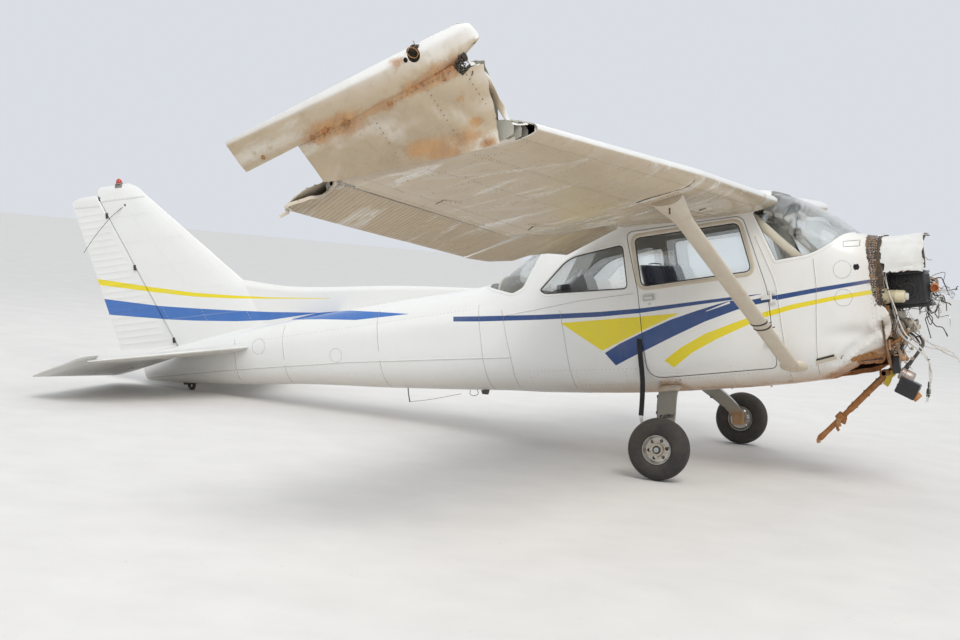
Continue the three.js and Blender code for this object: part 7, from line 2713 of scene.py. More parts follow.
    def build(self) -> None:
        """Build everything."""
        self.main_panel()
        self.tip_panel()
        self.tip_cap()
        self.torn_edge()
        self.flap()
        self.aileron()
        self.gap_covers()
        self.wounds()
        self.details()


@dataclass
class LeftStub:
    """What is left of the left wing, and its flap."""

    shop: Workshop
    palette: Palette
    rivets: Rivets
    tear: tuple[tuple[float, float], ...] = (
        (-400, 1610), (-720, 1660), (-800, 1600), (-900, 1745), (-1060, 1690), (-1180, 1800), (-1330, 1740),
        (-1500, 1830), (-1640, 1760), (-1800, 1800), (-2000, 1730), (-2500, 1760), (-2500, 2300),
        (-400, 2300),
    )

    def build(self) -> None:
        """Build the torn stub, its ribs, its spar end and its flap."""
        maker = RightWing(self.shop, self.palette, self.rivets)

        def dents(out: np.ndarray, f: np.ndarray, way: int) -> np.ndarray:
            """Return how far the stub's skin is pushed out or in, more towards the break."""
            hurt = smoothstep(1300, 1800, out)
            wave = np.sin(out / 53 + f * 17) + 0.7 * np.sin(out / 29 - f * 25)
            return (-1.2 * np.sin(np.pi * out / 380) ** 2 + 9 * hurt * wave
                    * (0.6 if way > 0 else 1.0)) * smoothstep(0, 0.07, f)

        outs = np.linspace(440, 1900, 56)
        body = loft(LEFT_WING.loops(outs, lambda _: WING_REAR, dents=dents))
        inner = np.linspace(440, 1900, 12)
        rows = LEFT_WING.at(inner)
        inner[0], inner[-1] = 380, 1960
        rows[:, 0] = inner
        hollow = loft(LEFT_WING.loops(inner, lambda _: WING_REAR - 0.012, 8.0, 26, dents, rows=rows))
        torn = prism(ragged(list(self.tear), 34, 14, 21, 2), 1000, 2200, "z")
        skin = carve(body, [hollow, torn, maker.hull_block()])
        self.shop.make("wing_left_skin", skin, maker.finishes(), Slot.WHITE, replaces=("wing_left_stub",))
        spar = loft([LEFT_WING.place([out] * 4, [0.25, 0.25, 0.27, 0.27], [0.93, -0.93, -0.93, 0.93])
                     for out in (600, 1300, 1845)])
        bent = spar.bent(lambda v: v + np.stack([-30 * smoothstep(1500, 1850, v[:, 1]), 0 * v[:, 1],
                                                 -18 * smoothstep(1550, 1850, v[:, 1])], 1))
        ribs = []
        for out in (1180, 1560):
            parts = np.linspace(0.03, 0.68, 26)
            top = LEFT_WING.place([out] * 26, parts, [0.9] * 26)
            low = LEFT_WING.place([out] * 26, parts[::-1], [-0.9] * 26)
            web = np.vstack([top, low])
            holes = [rod((LEFT_WING.place([out], [p], [0])[0] + (0, -9, 0)),
                         LEFT_WING.place([out], [p], [0])[0] + (0, 9, 0), r, 24)
                     for p, r in ((0.13, 44), (0.36, 52), (0.52, 38))]
            ribs.append(carve(loft([web + (0, 1.3, 0), web - (0, 1.3, 0)]), holes))
        self.shop.make("wing_left_bones", joined([bent, *ribs]), [self.palette.tone(Tones.ZINC.value)],
                       Slot.BRIGHT)
        rings = maker.moving_rings(LEFT_FLAP, LEFT_WING, maker.beaded(590, 1850), 2.6)
        flap = carve(loft(rings), [prism(ragged(list(self.tear), 30, 8, 23, 2), 1000, 2200, "z")])
        self.shop.make("flap_left_skin", flap, maker.finishes(), Slot.DIRTY, replaces=("flap_left",))
        heads = []
        for level in (-1, 1):
            for part in (0.06, 0.25, 0.45, 0.69):
                outs = np.arange(620, 1560, 4.0)
                points = LEFT_WING.place(outs, [part] * len(outs), [level * 1.01] * len(outs))
                heads.append(FuselageSkins.pitch((points, np.tile((0, 0, float(level)), (len(outs), 1))),
                                                 30.0))
            for out in (640, 1020, 1400):
                parts = np.linspace(0.06, 0.69, 240)
                points = LEFT_WING.place([out] * 240, parts, [level * 1.01] * 240)
                heads.append(FuselageSkins.pitch((points, np.tile((0, 0, float(level)), (240, 1))), 34.0))
        self.rivets.set_along("wing_left_rivets", heads, finish=self.palette.wing_paint())
        wires = []
        draw = np.random.default_rng(31)
        for x, z in ((-1100, 1735), (-1160, 1705), (-1700, 1700), (-880, 1700)):
            walk = np.cumsum(np.vstack([(x, 1640, z), draw.normal(0, 16, (6, 3)) + (0, 28, -5)]), 0)
            wires.append(pipe(spline(walk, 26), 3.0, 8))
        self.shop.make("wing_left_cables", joined(wires), [self.palette.tone(Tones.DARK.value)], Slot.DARK)


@dataclass
class Struts:
    """The right wing's strut with its cuffs, and both foot plates."""

    shop: Workshop
    palette: Palette
    rivets: Rivets
    foot: tuple[float, float, float] = (-642, 561, 474)
    head: tuple[float, float, float] = (-905, 2429, 1612)

    def rings(self, sizes: Sequence[tuple[float, float, float]], side: int, count: int = 40) -> np.ndarray:
        """Return rings along the strut: place along it, chord and thickness."""
        foot = np.array(self.foot, float) * (1, side, 1)
        head = np.array(self.head, float) * (1, side, 1)
        along = head - foot
        length = np.linalg.norm(along)
        along /= length
        back = np.array([-1.0, 0, 0])
        back -= along * (back @ along)
        back /= np.linalg.norm(back)
        up = np.cross(along, back)
        turn = np.linspace(0, 2 * math.pi, count, endpoint=False)
        reach = np.where(np.cos(turn) > 0, 0.56, 0.44)
        rings = []
        for at, chord, thick in sizes:
            centre = foot + along * (at if at < 0 else at * length)
            rings.append(centre + back * (reach * chord * np.cos(turn))[:, None] + up
                         * (thick / 2 * np.sin(turn))[:, None])
        return np.array(rings)

    def build(self) -> None:
        """Build everything."""
        knots = np.array([(0.0, 112, 47), (0.02, 118, 50), (0.86, 118, 50), (0.91, 132, 62),
                          (0.94, 152, 77),
                          (0.97, 182, 97), (1.02, 222, 122)], float)
        places = np.concatenate([np.linspace(0, 0.86, 12), np.linspace(0.875, 1.02, 14)])
        sizes = monotone(knots[:, 0], knots, places)
        tube = loft(self.rings([(-12, 96, 44), *map(tuple, sizes)], RIGHT))
        wing = loft(RIGHT_WING.loops(np.linspace(1700, 3000, 20), lambda out: 0.9, -0.4))
        strut = carve(tube, [wing])
        crack = spline(np.array([(-1045, -2687, 1610), (-957, -2697, 1626), (-869, -2672, 1643),
                                 (-735, -2611, 1677),
                                 (-678, -2671, 1712)], float), 40)
        crack += np.stack([4 * np.sin(np.arange(40) * 1.1), 3 * np.cos(np.arange(40) * 0.7),
                           0 * np.arange(40)], 1)
        # Dark strips: painted shade in the crack along the wing's lower skin and in the hole at the strut's
        # head.
        slit = ribbon(crack + (0, -1.5, -2.0), np.tile((0.0, -0.5, -0.87), (40, 1)), 6.0, 1.2)
        hole = ribbon(np.array([(-900, -2466, 1571), (-910, -2430, 1555), (-923, -2395, 1539)], float)
                      + (0, -1, -2),
                      np.tile((0.0, 0.4, -0.9), (3, 1)), 22.0, 1.2)
        self.shop.make("strut_head_cracks", joined([slit, hole]), [self.palette.tone(Tones.DARK.value)],
                       Slot.DARK)
        paint = self.palette.tone(Tones.BEIGE.value)
        self.shop.make("strut_right_tube", strut, [paint], Slot.DIRTY, replaces=("strut_right",),
                       masks={"rust": lambda p: 0.35 * bump_at(p, (-650, -600, 500), (90, 70, 70)) + 0.5
                              * bump_at(p, (-880, -2300, 1560), (26, 30, 26))})
        bands = []
        for at in (0.262, 0.292):
            ring = self.rings([(at, 124, 56), (at + 0.0035, 127, 59), (at + 0.007, 124, 56)], RIGHT)
            bands.append(loft(ring))
        foot = np.array(self.foot) * (1, RIGHT, 1)
        head = np.array(self.head) * (1, RIGHT, 1)
        for at in (0.262, 0.292):
            p = foot + (head - foot) * at + np.array([62, 0, -6])
            bands.append(rod(p, p + np.array([16, -3, 2]), 4, 8))
        self.shop.make("strut_clips", joined(bands), [self.palette.tone(Tones.BLACK.value)], Slot.BLACK)
        for side, word in ((RIGHT, "right"), (LEFT, "left")):
            self.foot_plate(side, word, paint)

    def foot_plate(self, side: int, word: str, paint: bpy.types.Material) -> None:
        """Build the oval fairing where a strut meets the fuselage."""
        x, _, z = self.foot
        rings = []
        for grow_by, lift in ((1.06, -3), (1.04, 1.5), (0.96, 7), (0.8, 15), (0.6, 21), (0.45, 24)):
            ring = []
            for k in range(44):
                turn = 2 * math.pi * k / 44
                px = x + 96 * grow_by * math.cos(turn)
                pz = z - 6 + 46 * grow_by * math.sin(turn) - 9.6 * grow_by * math.cos(turn)
                point = HULL.side_point(px, pz, side)
                ring.append(point + np.array([0, side * lift, -0.35 * lift]))
            rings.append(ring)
        parts = [loft(rings)]
        if side == LEFT:
            y = side * 561
            plate = rounded([(x - 30, z - 14, 8), (x - 30, z + 26, 18), (x + 30, z + 26, 18),
                             (x + 30, z - 14, 8)], 6)
            for off in (-12, 12):
                cheek = prism([(u, v) for u, v in plate], *sorted((y - side * 60, y + side * 44)))
                cheek = carve(cheek, [rod((x - 60, y + side * 26, z + 8), (x + 60, y + side * 26, z + 8), 7,
                                          20)])
                parts.append(cheek.bent(lambda v, off=off: np.stack([x + off + (v[:, 0] - x) * 0.12,
                                                                     v[:, 1], v[:, 2]], 1)))
        nodes = ("strut_foot_left",) if side == LEFT else ()
        self.shop.make(f"strut_{word}_foot_fairing", joined(parts), [paint], Slot.DIRTY, replaces=nodes,
                       bevel=0.8,
                       masks={"rust": lambda p: 0.3 * bump_at(p, (x, side * 540, 440), (120, 60, 26))})
        heads = []
        for k in range(8):
            turn = 2 * math.pi * (k + 0.5) / 8
            px, pz = x + 88 * math.cos(turn), z - 6 + 41 * math.sin(turn) - 8.8 * math.cos(turn)
            point = HULL.side_point(px, pz, side)
            heads.append(point + np.array([0, side * 8, 0]))
        self.rivets.set_along(f"strut_{word}_screws", [(np.array(heads),
                                                        np.tile((0, float(side), -0.2), (8, 1)))],
                              tone=Tones.ALLOY, slot=Slot.BRIGHT, radius=4.5, height=3.0, sides=10)


# Tail


def section_rings(
    bases: np.ndarray, chords: np.ndarray, depths: np.ndarray, up: Point, rear: float, inset: float = 0.0,
    count: int = 30, dents: Callable[[int, np.ndarray, int], np.ndarray] | None = None,
) -> np.ndarray:
    """Return rings round symmetric sections that run straight back.

    Args:
        bases: Leading edge points.
        chords: Chord of each section.
        depths: Thickness of each section against the usual one.
        up: The direction across the section.
        rear: Where the sections end, as a part of the chord.
        inset: How far inside the skin.
        count: Points along each side.
        dents: Outward shift for a section, its parts of the chord and its side.

    Returns:
        The rings, as an n by m grid of points.
    """
    back, across = np.array([-1.0, 0, 0]), np.array(up, float)
    rings = []
    for i, (base, chord, depth) in enumerate(zip(bases, chords, depths)):
        start = 2 * inset / chord
        parts = start + (rear - start) * np.linspace(0, 1, count) ** 1.7
        sides = []
        for way in (1, -1):
            half = np.maximum(chord * depth * half_thickness(parts) - inset, 1.2)
            if dents is not None:
                half = half + dents(i, parts, way)
            sides.append(base + back * (parts * chord)[:, None] + across * (way * half)[:, None])
        rings.append(np.vstack([sides[0][::-1], sides[1][1:]]))
    return np.array(rings)


def blade_ring(front: float, back: float, half: float, ridge: float, count: int = 18) -> np.ndarray:
    """Return a control surface's section as (x, height) pairs, round in front and thin behind.

    Args:
        front: x of the hinge.
        back: x of the trailing edge.
        half: Half the height at the hinge.
        ridge: Height of the pressed bead here.
        count: Points along each side.

    Returns:
        The section, round once.
    """
    part = np.linspace(0, 1, count) ** 1.15
    fade = smoothstep(0.06, 0.13, part) * smoothstep(0.995, 0.94, part)
    height = half + (2 - half) * part + ridge * fade
    xs = front + (back - front) * part
    turn = np.radians(np.linspace(-72, 72, 9))
    nose = np.stack([front + half * np.cos(turn), half * np.sin(turn)], 1)
    top = np.stack([xs, height], 1)
    low = np.stack([xs, -height], 1)[::-1]
    return np.vstack([top, low, nose])


@dataclass
class Tail:
    """Stabilizers, elevator, fin, dorsal fin, rudder and what is fixed to them."""

    shop: Workshop
    palette: Palette
    rivets: Rivets
    droop: float = 13.0
    hinge: tuple[float, float] = (-6100.0, 1000.0)
    slope: float = -653 / 1290
    stabilizer_rows: tuple[tuple[float, float, float], ...] = (
        (40, -5275, 0.62), (200, -5335, 0.62), (1640, -5880, 0.6), (1700, -5925, 0.5), (1722, -5985, 0.25),
    )
    fin_rows: tuple[tuple[float, float, float, float], ...] = (
        (1070, -5180, -6128, 42), (1523, -5365, -6357, 36), (2440, -6342, -6822, 21),
        (2535, -6440, -6850, 16),
        (2572, -6520, -6830, 7),
    )
    rudder_rows: tuple[tuple[float, float, float], ...] = (
        (1085, -6770, 24), (1180, -6790, 24), (2400, -7135, 20), (2470, -7150, 17), (2505, -7060, 6),
    )

    def coats(self) -> list[bpy.types.Material]:
        """Return the paint and the primed inside."""
        inside = self.palette.tone(Tones.ZINC.value)
        return [self.palette.tone(Tones.WHITE.value), inside, inside]

    def stabilizer(self, side: int, word: str) -> None:
        """Build one half of the stabilizer."""
        table = np.array(self.stabilizer_rows, float)
        outs = np.unique(np.concatenate([np.linspace(40, 1640, 62), np.linspace(1640, 1722, 9)]))
        rows = monotone(table[:, 0], table, outs)

        def dents(i: int, parts: np.ndarray, way: int) -> np.ndarray:
            """Return how far the tailplane's skin sinks between its ribs."""
            out = outs[i]
            quilt = -1.1 * np.sin(np.pi * out / 240) ** 2 * np.sin(np.pi * parts / 0.7)
            hurt = 5 * valley(np.full(len(parts), out), parts * 700, (1350, 60), (1230, 300), 18)
            return (quilt + 0.7 * np.sin(out / 61 + parts * 19) - hurt
                    * (way > 0)) * smoothstep(0, 0.06, parts)

        bases = np.stack([rows[:, 1], side * outs, np.full(len(outs), 1000.0)], 1)
        chords = (rows[:, 1] - self.hinge[0] + -34) / 0.7
        body = loft(section_rings(bases, chords, rows[:, 2], (0, 0, 1), 0.7, dents=dents))
        keep = outs < 1480
        inner = section_rings(bases[keep], chords[keep], rows[keep, 2], (0, 0, 1), 0.69, 6.0, 24)
        inner[0, :, 1] = side * 10
        horn = block((-6300, min(side * 1495, side * 1900), 800),
                     (-5900, max(side * 1495, side * 1900), 1200))
        boom = loft(HULL.surface(np.linspace(-6150, -4900, 30),
                                 np.linspace(0, 2 * math.pi, 60, endpoint=False), -0.5, False))
        skin = carve(body, [loft(inner), horn, boom])
        self.shop.make(f"stabilizer_{word}_skin", skin, self.coats(), Slot.WHITE,
                       replaces=(f"stabilizer_{word}",),
                       masks={"grime": lambda p: 0.35 * smoothstep(1010, 985, p[:, 2]),
                              "rust": lambda p: 0 * p[:, 0]})
        lines = []
        for way in (1, -1):
            for part in (0.07, 0.3, 0.5, 0.66):
                at = np.linspace(210, 1640, 500)
                near = monotone(table[:, 0], table, at)
                chord = (near[:, 1] - self.hinge[0] - 34) / 0.7
                height = chord * near[:, 2] * half_thickness(part) + 0.4
                points = np.stack([near[:, 1] - part * chord, side * at, 1000 + way * height], 1)
                lines.append(FuselageSkins.pitch((points, np.tile((0, 0, float(way)), (500, 1))), 28.0))
            for out in (230, 470, 710, 950, 1190, 1430, 1640):
                row = monotone(table[:, 0], table, np.array([float(out)]))[0]
                chord = (row[1] - self.hinge[0] - 34) / 0.7
                parts = np.linspace(0.05, 0.68, 200)
                height = chord * row[2] * half_thickness(parts) + 0.4
                points = np.stack([row[1] - parts * chord, np.full(200, side * out), 1000 + way * height],
                                  1)
                lines.append(FuselageSkins.pitch((points, np.tile((0, 0, float(way)), (200, 1))), 26.0))
        self.rivets.set_along(f"stabilizer_{word}_rivets", lines,
                              finish=self.palette.tone(Tones.WHITE.value))

    def elevator(self) -> None:
        """Build the drooping elevator with its pressed beads, horns, tab and torque tube."""
        paint = self.palette.tone(Tones.WHITE.value)
        turn = Matrix.Translation((self.hinge[0], 0, self.hinge[1]))
        turn = turn @ Matrix.Rotation(math.radians(-self.droop), 4, "Y") @ turn.inverted()
        parts = []
        for side in (RIGHT, LEFT):
            outs = [o for k in range(3, 31) for o in (k * 48 + d for d in (-18, -10, -5.5, 0, 5.5, 10))
                    if 152 < o < 1498]
            outs = np.array([150.0, *sorted(outs), 1500.0])
            rings = []
            for out in outs:
                back = np.interp(out, (150, 235, 1500), (-6560, -6672, -6462))
                half = np.interp(out, (150, 1500), (25, 21))
                phase = (out / 48.0 + 0.5) % 1.0 - 0.5
                ring = blade_ring(self.hinge[0], back, half, 3.6 * math.exp(-((phase * 48 / 7.0) ** 2)))
                rings.append(np.stack([ring[:, 0], np.full(len(ring), side * out),
                                       self.hinge[1] + ring[:, 1]], 1))
            parts.append(loft(rings))
            horn = []
            for out, half, front, back in ((1500.5, 21, -5905, -6460), (1640, 18.5, -5907, -6440),
                                           (1690, 16, -5915, -6428),
                                           (1712, 11, -5940, -6412), (1722, 5, -5970, -6395)):
                corners = [(front, 0), (front - 14, 0.55 * half), (front - 60, half), (-6100, half),
                           (back, 2)]
                top = monotone(np.arange(5.0), np.array(corners, float), np.linspace(0, 4, 22))
                ring = np.vstack([top, (top * (1, -1))[::-1][:-1]])
                horn.append(np.stack([ring[:, 0], np.full(len(ring), side * out),
                                      self.hinge[1] + ring[:, 1]], 1))
            parts.append(loft(horn))
        parts.append(rod((self.hinge[0], -160, self.hinge[1]), (self.hinge[0], 160, self.hinge[1]), 22, 24))
        solid = joined(parts).moved(turn)
        self.shop.make("elevator_skin", solid, [paint], Slot.WHITE, "elevator", ("elevator",),
                       masks={"grime": lambda p: 0.3 * smoothstep(1000, 880, p[:, 2]),
                              "rust": lambda p: 0 * p[:, 0]})
        tab = [block((-6560, -900, 985), (-6554, -300, 1012)),
               rod((-6400, -420, 978), (-6600, -420, 986), 3.2, 8),
               block((-6420, -436, 974), (-6380, -404, 984))]
        self.shop.make("elevator_tab", joined(tab[1:]).moved(turn), [self.palette.tone(Tones.ALLOY.value)],
                       Slot.BRIGHT, "elevator",
                       bevel=0.8)
        heads = []
        for side in (RIGHT, LEFT):
            outs = np.arange(170, 1490, 3.0)
            half = np.interp(outs, (150, 1500), (25, 21))
            for way in (1, -1):
                points = np.stack([np.full(len(outs), self.hinge[0] - 22), side * outs,
                                   self.hinge[1] + way * (half - 0.8)], 1)
                matrix = np.array(turn)
                moved = points @ matrix[:3, :3].T + matrix[:3, 3]
                heads.append(FuselageSkins.pitch((moved, np.tile(matrix[:3, :3] @ (0, 0, way),
                                                                 (len(outs), 1))), 24.0))
        self.rivets.set_along("elevator_rivets", heads, body="elevator", finish=paint)

    def fin(self) -> None:
        """Build the fin and the dorsal fin in front of it."""
        table = np.array(self.fin_rows, float)
        zs = np.unique(np.concatenate([np.linspace(1070, 2440, 56), np.linspace(2440, 2572, 12)]))
        rows = np.stack([np.interp(zs, table[:, 0], table[:, k]) for k in range(4)], 1)
        top = zs >= 2440
        rows[top] = monotone(table[2:, 0], table[2:], zs[top])

        def dents(i: int, parts: np.ndarray, _: int) -> np.ndarray:
            """Return how far the fin's skin sinks between its ribs."""
            z = zs[i]
            quilt = -1.1 * np.sin(np.pi * (z - 1523) / 300) ** 2
            quilt = quilt * np.sin(np.pi * np.minimum(parts / 0.62, 1))
            return (quilt + 0.8
                    * np.sin(z / 73 + parts * 15)) * smoothstep(0, 0.06, parts) * smoothstep(2572, 2500, z)

        bases = np.stack([rows[:, 1], np.zeros(len(zs)), zs], 1)
        chords = (rows[:, 1] - rows[:, 2]) / 0.62
        depths = rows[:, 3] / (chords * half_thickness(0.62))
        body = loft(section_rings(bases, chords, depths, (0, 1, 0), 0.62, dents=dents))
        inner_z = np.linspace(1070, 2420, 12)
        inner_rows = np.stack([np.interp(inner_z, table[:, 0], table[:, k]) for k in range(4)], 1)
        inner_chords = (inner_rows[:, 1] - inner_rows[:, 2]) / 0.62
        inner = section_rings(
            np.stack([inner_rows[:, 1], np.zeros(12), inner_z], 1), inner_chords,
            inner_rows[:, 3] / (inner_chords * half_thickness(0.62)), (0, 1, 0), 0.612, 6.0, 22,
        )
        inner[0, :, 2] = 1040
        along = np.array([self.slope, 0, 1.0]) / math.hypot(self.slope, 1)
        hinge_low = np.array([-6156.0, 0, 1063])
        groove = rod(hinge_low - along * 400, hinge_low + along * 1700, 30, 32)
        fin = carve(body, [loft(inner), groove])
        coats = [self.palette.side_paint(), *self.coats()[1:]]
        self.shop.make("fin_skin", fin, coats, Slot.WHITE, replaces=("fin",))
        ridge = np.array([(-3180, 1284, 4), (-3940, 1384, 8), (-4933, 1479, 13), (-5480, 1600, 18)], float)
        xs = np.linspace(-3180, -5480, 60)
        shape = monotone(-ridge[:, 0], ridge, -xs)
        rings = []
        for _, z, half in shape:
            x = xs[len(rings)]
            hull = [HULL.side_point(x, 1050 + 0 * half, side)[2] for side in (RIGHT, LEFT)]
            low = min(1050.0, min(hull))
            section = np.array([(1.6 * half, low), (1.35 * half, low + 0.45 * (z - low)),
                                (1.05 * half, z - 14), (0.85 * half, z - 5),
                                (0.45 * half, z - 1), (0, z)])
            section = spline(np.c_[section, np.zeros(6)], 16)[:, :2]
            ring = np.vstack([section, (section * (-1, 1))[::-1][1:]])
            rings.append(np.stack([np.full(len(ring), x), ring[:, 0], ring[:, 1]], 1))
        self.shop.make("dorsal_fin", loft(rings), [self.palette.side_paint()], Slot.WHITE)
        lines = []
        for way in (1, -1):
            for z in (1320, 1560, 1800, 2040, 2280, 2436):
                row = [np.interp(z, table[:, 0], table[:, k]) for k in range(4)]
                chord = (row[1] - row[2]) / 0.62
                parts = np.linspace(0.06, 0.6, 220)
                half = chord * (row[3] / (chord * half_thickness(0.62))) * half_thickness(parts)
                points = np.stack([row[1] - parts * chord, way * (half + 0.3), np.full(220, float(z))], 1)
                lines.append(FuselageSkins.pitch((points, np.tile((0, float(way), 0), (220, 1))), 24.0))
            for part in (0.08, 0.35, 0.59):
                at = np.linspace(1240, 2420, 400)
                near = np.stack([np.interp(at, table[:, 0], table[:, k]) for k in range(4)], 1)
                chord = (near[:, 1] - near[:, 2]) / 0.62
                half = near[:, 3] / half_thickness(0.62) * half_thickness(part)
                points = np.stack([near[:, 1] - part * chord, way * (half + 0.3), at], 1)
                lines.append(FuselageSkins.pitch((points, np.tile((0, float(way), 0), (400, 1))), 27.0))
        self.rivets.set_along("fin_rivets", lines, finish=self.palette.tone(Tones.WHITE.value))
        self.fin_fairing(table)

    def fin_fairing(self, table: np.ndarray) -> None:
        """Build the lap, the screws and the dark gaps of the fin."""
        strips, gaps, screws = [], [], []
        for way in (1, -1):
            for z0, z1 in ((2432, 2450),):
                parts = np.linspace(0.03, 0.6, 40)
                points = []
                for part in parts:
                    z = z0 + (z1 - z0) * part
                    row = [np.interp(z, table[:, 0], table[:, k]) for k in range(4)]
                    chord = (row[1] - row[2]) / 0.62
                    half = row[3] / half_thickness(0.62) * half_thickness(part)
                    points.append((row[1] - part * chord, way * (half + 0.6), z))
                strips.append(ribbon(np.array(points), np.tile((0, float(way), 0), (40, 1)), 16, 1.2))
                screws.append(FuselageSkins.pitch((np.array(points) + (0, way * 1.0, 6),
                                                   np.tile((0, float(way), 0), (40, 1))), 48.0))
            for z in (1130, 1813, 2310):
                x = -6156 + self.slope * (z - 1063)
                half = np.interp(z, table[:, 0], table[:, 3])
                gaps.append(block((x + 6, way * half - 5, z - 26), (x + 30, way * half + 1.5, z + 22)))
                gaps.append(rod((x + 12, way * (half - 3), z), (x + 12, way * (half + 5), z), 5, 8))
        self.shop.make("fin_laps", joined(strips), [self.palette.tone(Tones.WHITE.value)], Slot.WHITE)
        self.shop.make("fin_hinge_gaps", joined(gaps), [self.palette.tone(Tones.DARK.value)], Slot.DARK)
        for a, b, count in (((-5633, -24, 1608), (-5515, -25, 1474), 5),
                            ((-6112, -27, 1098), (-5453, -147, 1088), 15)):
            ends = np.array([a, b], float)
            row = ends[0] + (ends[1] - ends[0]) * np.linspace(0, 1, count)[:, None]
            screws.append((row, np.tile((0.0, -0.97, 0.25), (count, 1))))
        self.rivets.set_along("fin_screws", screws, tone=Tones.ALLOY, slot=Slot.BRIGHT, radius=4.0,
                              height=2.0, sides=8)
        whisker = spline([(-6558, -20, 2384), (-6695, -60, 2290), (-6840, -116, 2140), (-6952, -168, 1990)],
                         30)
        mount = joined([pipe(whisker, 2.4, 8), rod((-6556, -12, 2386), (-6562, -34, 2378), 9, 12)])
        self.shop.make("fin_antenna_rod", mount, [self.palette.tone(Tones.DARK.value)], Slot.DARK)

    def rudder(self) -> None:
        """Build the rudder with its pressed beads, post and top fitting."""
        table = np.array(self.rudder_rows, float)
        zs = [z for k in range(18, 42) for z in (k * 60 + d for d in (-22, -11, -6, 0, 6, 11))
              if 1087 < z < 2440]
        zs = np.array([1085.0, *sorted(zs), 2445, 2458, 2470, 2484, 2494, 2501, 2505])
        rings = []
        for z in zs:
            back, half = monotone(table[:, 0], table[:, 1:], np.array([z]))[0] if z > 2400 else (
                np.interp(z, table[:, 0], table[:, 1]), np.interp(z, table[:, 0], table[:, 2]))
            phase = (z / 60.0 + 0.5) % 1.0 - 0.5
            bead = 2.8 * math.exp(-((phase * 60 / 8.0) ** 2)) * smoothstep(2400, 2350, z)
            ring = blade_ring(-6156 + self.slope * (z - 1063), back, half, bead)
            rings.append(np.stack([ring[:, 0], ring[:, 1], np.full(len(ring), z)], 1))
        along = np.array([self.slope, 0, 1.0]) / math.hypot(self.slope, 1)
        low = np.array([-6156.0, 0, 1063])
        post = rod(low - along * 50, low + along * 60, 17, 20)
        self.shop.make("rudder_skin", joined([loft(rings), post]), [self.palette.side_paint()], Slot.WHITE,
                       "rudder",
                       ("rudder",))
        fittings, strips, screws = [], [], []
        for way in (1, -1):
            path = []
            for part in np.linspace(0.02, 0.94, 30):
                z = 2404 + 16 * part
                front = -6156 + self.slope * (z - 1063)
                back = float(np.interp(z, table[:, 0], table[:, 1]))
                half = float(np.interp(z, table[:, 0], table[:, 2]))
                path.append((front + (back - front) * part, way * (half + (2 - half) * part + 0.6), z))
            strips.append(ribbon(np.array(path), np.tile((0, float(way), 0), (30, 1)), 14, 1.2))
            screws.append(FuselageSkins.pitch((np.array(path) + (0, way * 1.0, 5),
                                               np.tile((0, float(way), 0), (30, 1))), 42.0))
        fittings.append(block((-6852, -14, 2452), (-6806, 14, 2500)))
        fittings.append(rod((-6830, -20, 2478), (-6830, 20, 2478), 7, 12))
        self.shop.make("rudder_lap", joined(strips), [self.palette.tone(Tones.WHITE.value)], Slot.WHITE,
                       "rudder")
        self.shop.make("rudder_fitting", joined(fittings), [self.palette.tone(Tones.DARK.value)], Slot.DARK,
                       "rudder", bevel=2)
        self.rivets.set_along("rudder_screws", screws, "rudder", Tones.ALLOY, Slot.BRIGHT, 4.0, 2.0, 8)

    def small_parts(self) -> None:
        """Build the beacon, the tie-down ring and the tail's end."""
        lens = turned([(9, 33), (12, 27), (20, 27.5), (34, 25), (44, 20), (50, 12), (53, 4)],
                      (-6622, 0, 2575), (-6622, 0, 2628), 36)
        ribs = [pipe(np.array([(-6622 + 27.4 * math.cos(a), 27.4 * math.sin(a), 2575 + z)
                               for a in np.linspace(0, 2 * math.pi, 36)]), 0.8, 6)
                for z in (18, 24, 30)]
        self.shop.make("beacon_lens", joined([lens, *ribs]), [self.palette.tone(Tones.RED.value)], Slot.RED,
                       replaces=("beacon",))
        base = joined([turned([(0, 35), (3, 36), (8, 35), (10, 31)], (-6622, 0, 2574), (-6622, 0, 2584),
                              36),
                       prism(rounded([(-6658, 2538, 4), (-6658, 2576, 8), (-6586, 2576, 8),
                                      (-6586, 2538, 4)], 4), -20, 20)])
        self.shop.make("beacon_base", base, [self.palette.tone(Tones.GREY.value)], Slot.GREY, bevel=1.0)
        x = -6060
        outline = rounded([(x - 42, 790, 3), (x - 42, 712, 34), (x - 10, 678, 26), (x + 24, 678, 22),
                           (x + 42, 726, 26), (x + 42, 790, 3)], 7)
        ring = carve(prism(outline, -9, 9), [rod((x, -20, 714), (x, 20, 714), 14, 24)])
        pad = prism(rounded([(x - 70, -28, 10), (x - 70, 28, 10), (x + 70, 28, 10), (x + 70, -28, 10)], 5),
                    728, 806, "z")
        hull = loft(HULL.surface(np.linspace(-6180, -5800, 12),
                                 np.linspace(0, 2 * math.pi, 60, endpoint=False), 2.0, False))
        pad = carve(pad, [hull])
        self.shop.make("tail_skid_ring", joined([ring, pad]), [self.palette.tone(Tones.DARK.value)],
                       Slot.DARK, replaces=("tail_skid",), bevel=1.2)

    def build(self) -> None:
        """Build everything."""
        self.stabilizer(RIGHT, "right")
        self.stabilizer(LEFT, "left")
        self.elevator()
        self.fin()
        self.rudder()
        self.small_parts()


# Undercarriage


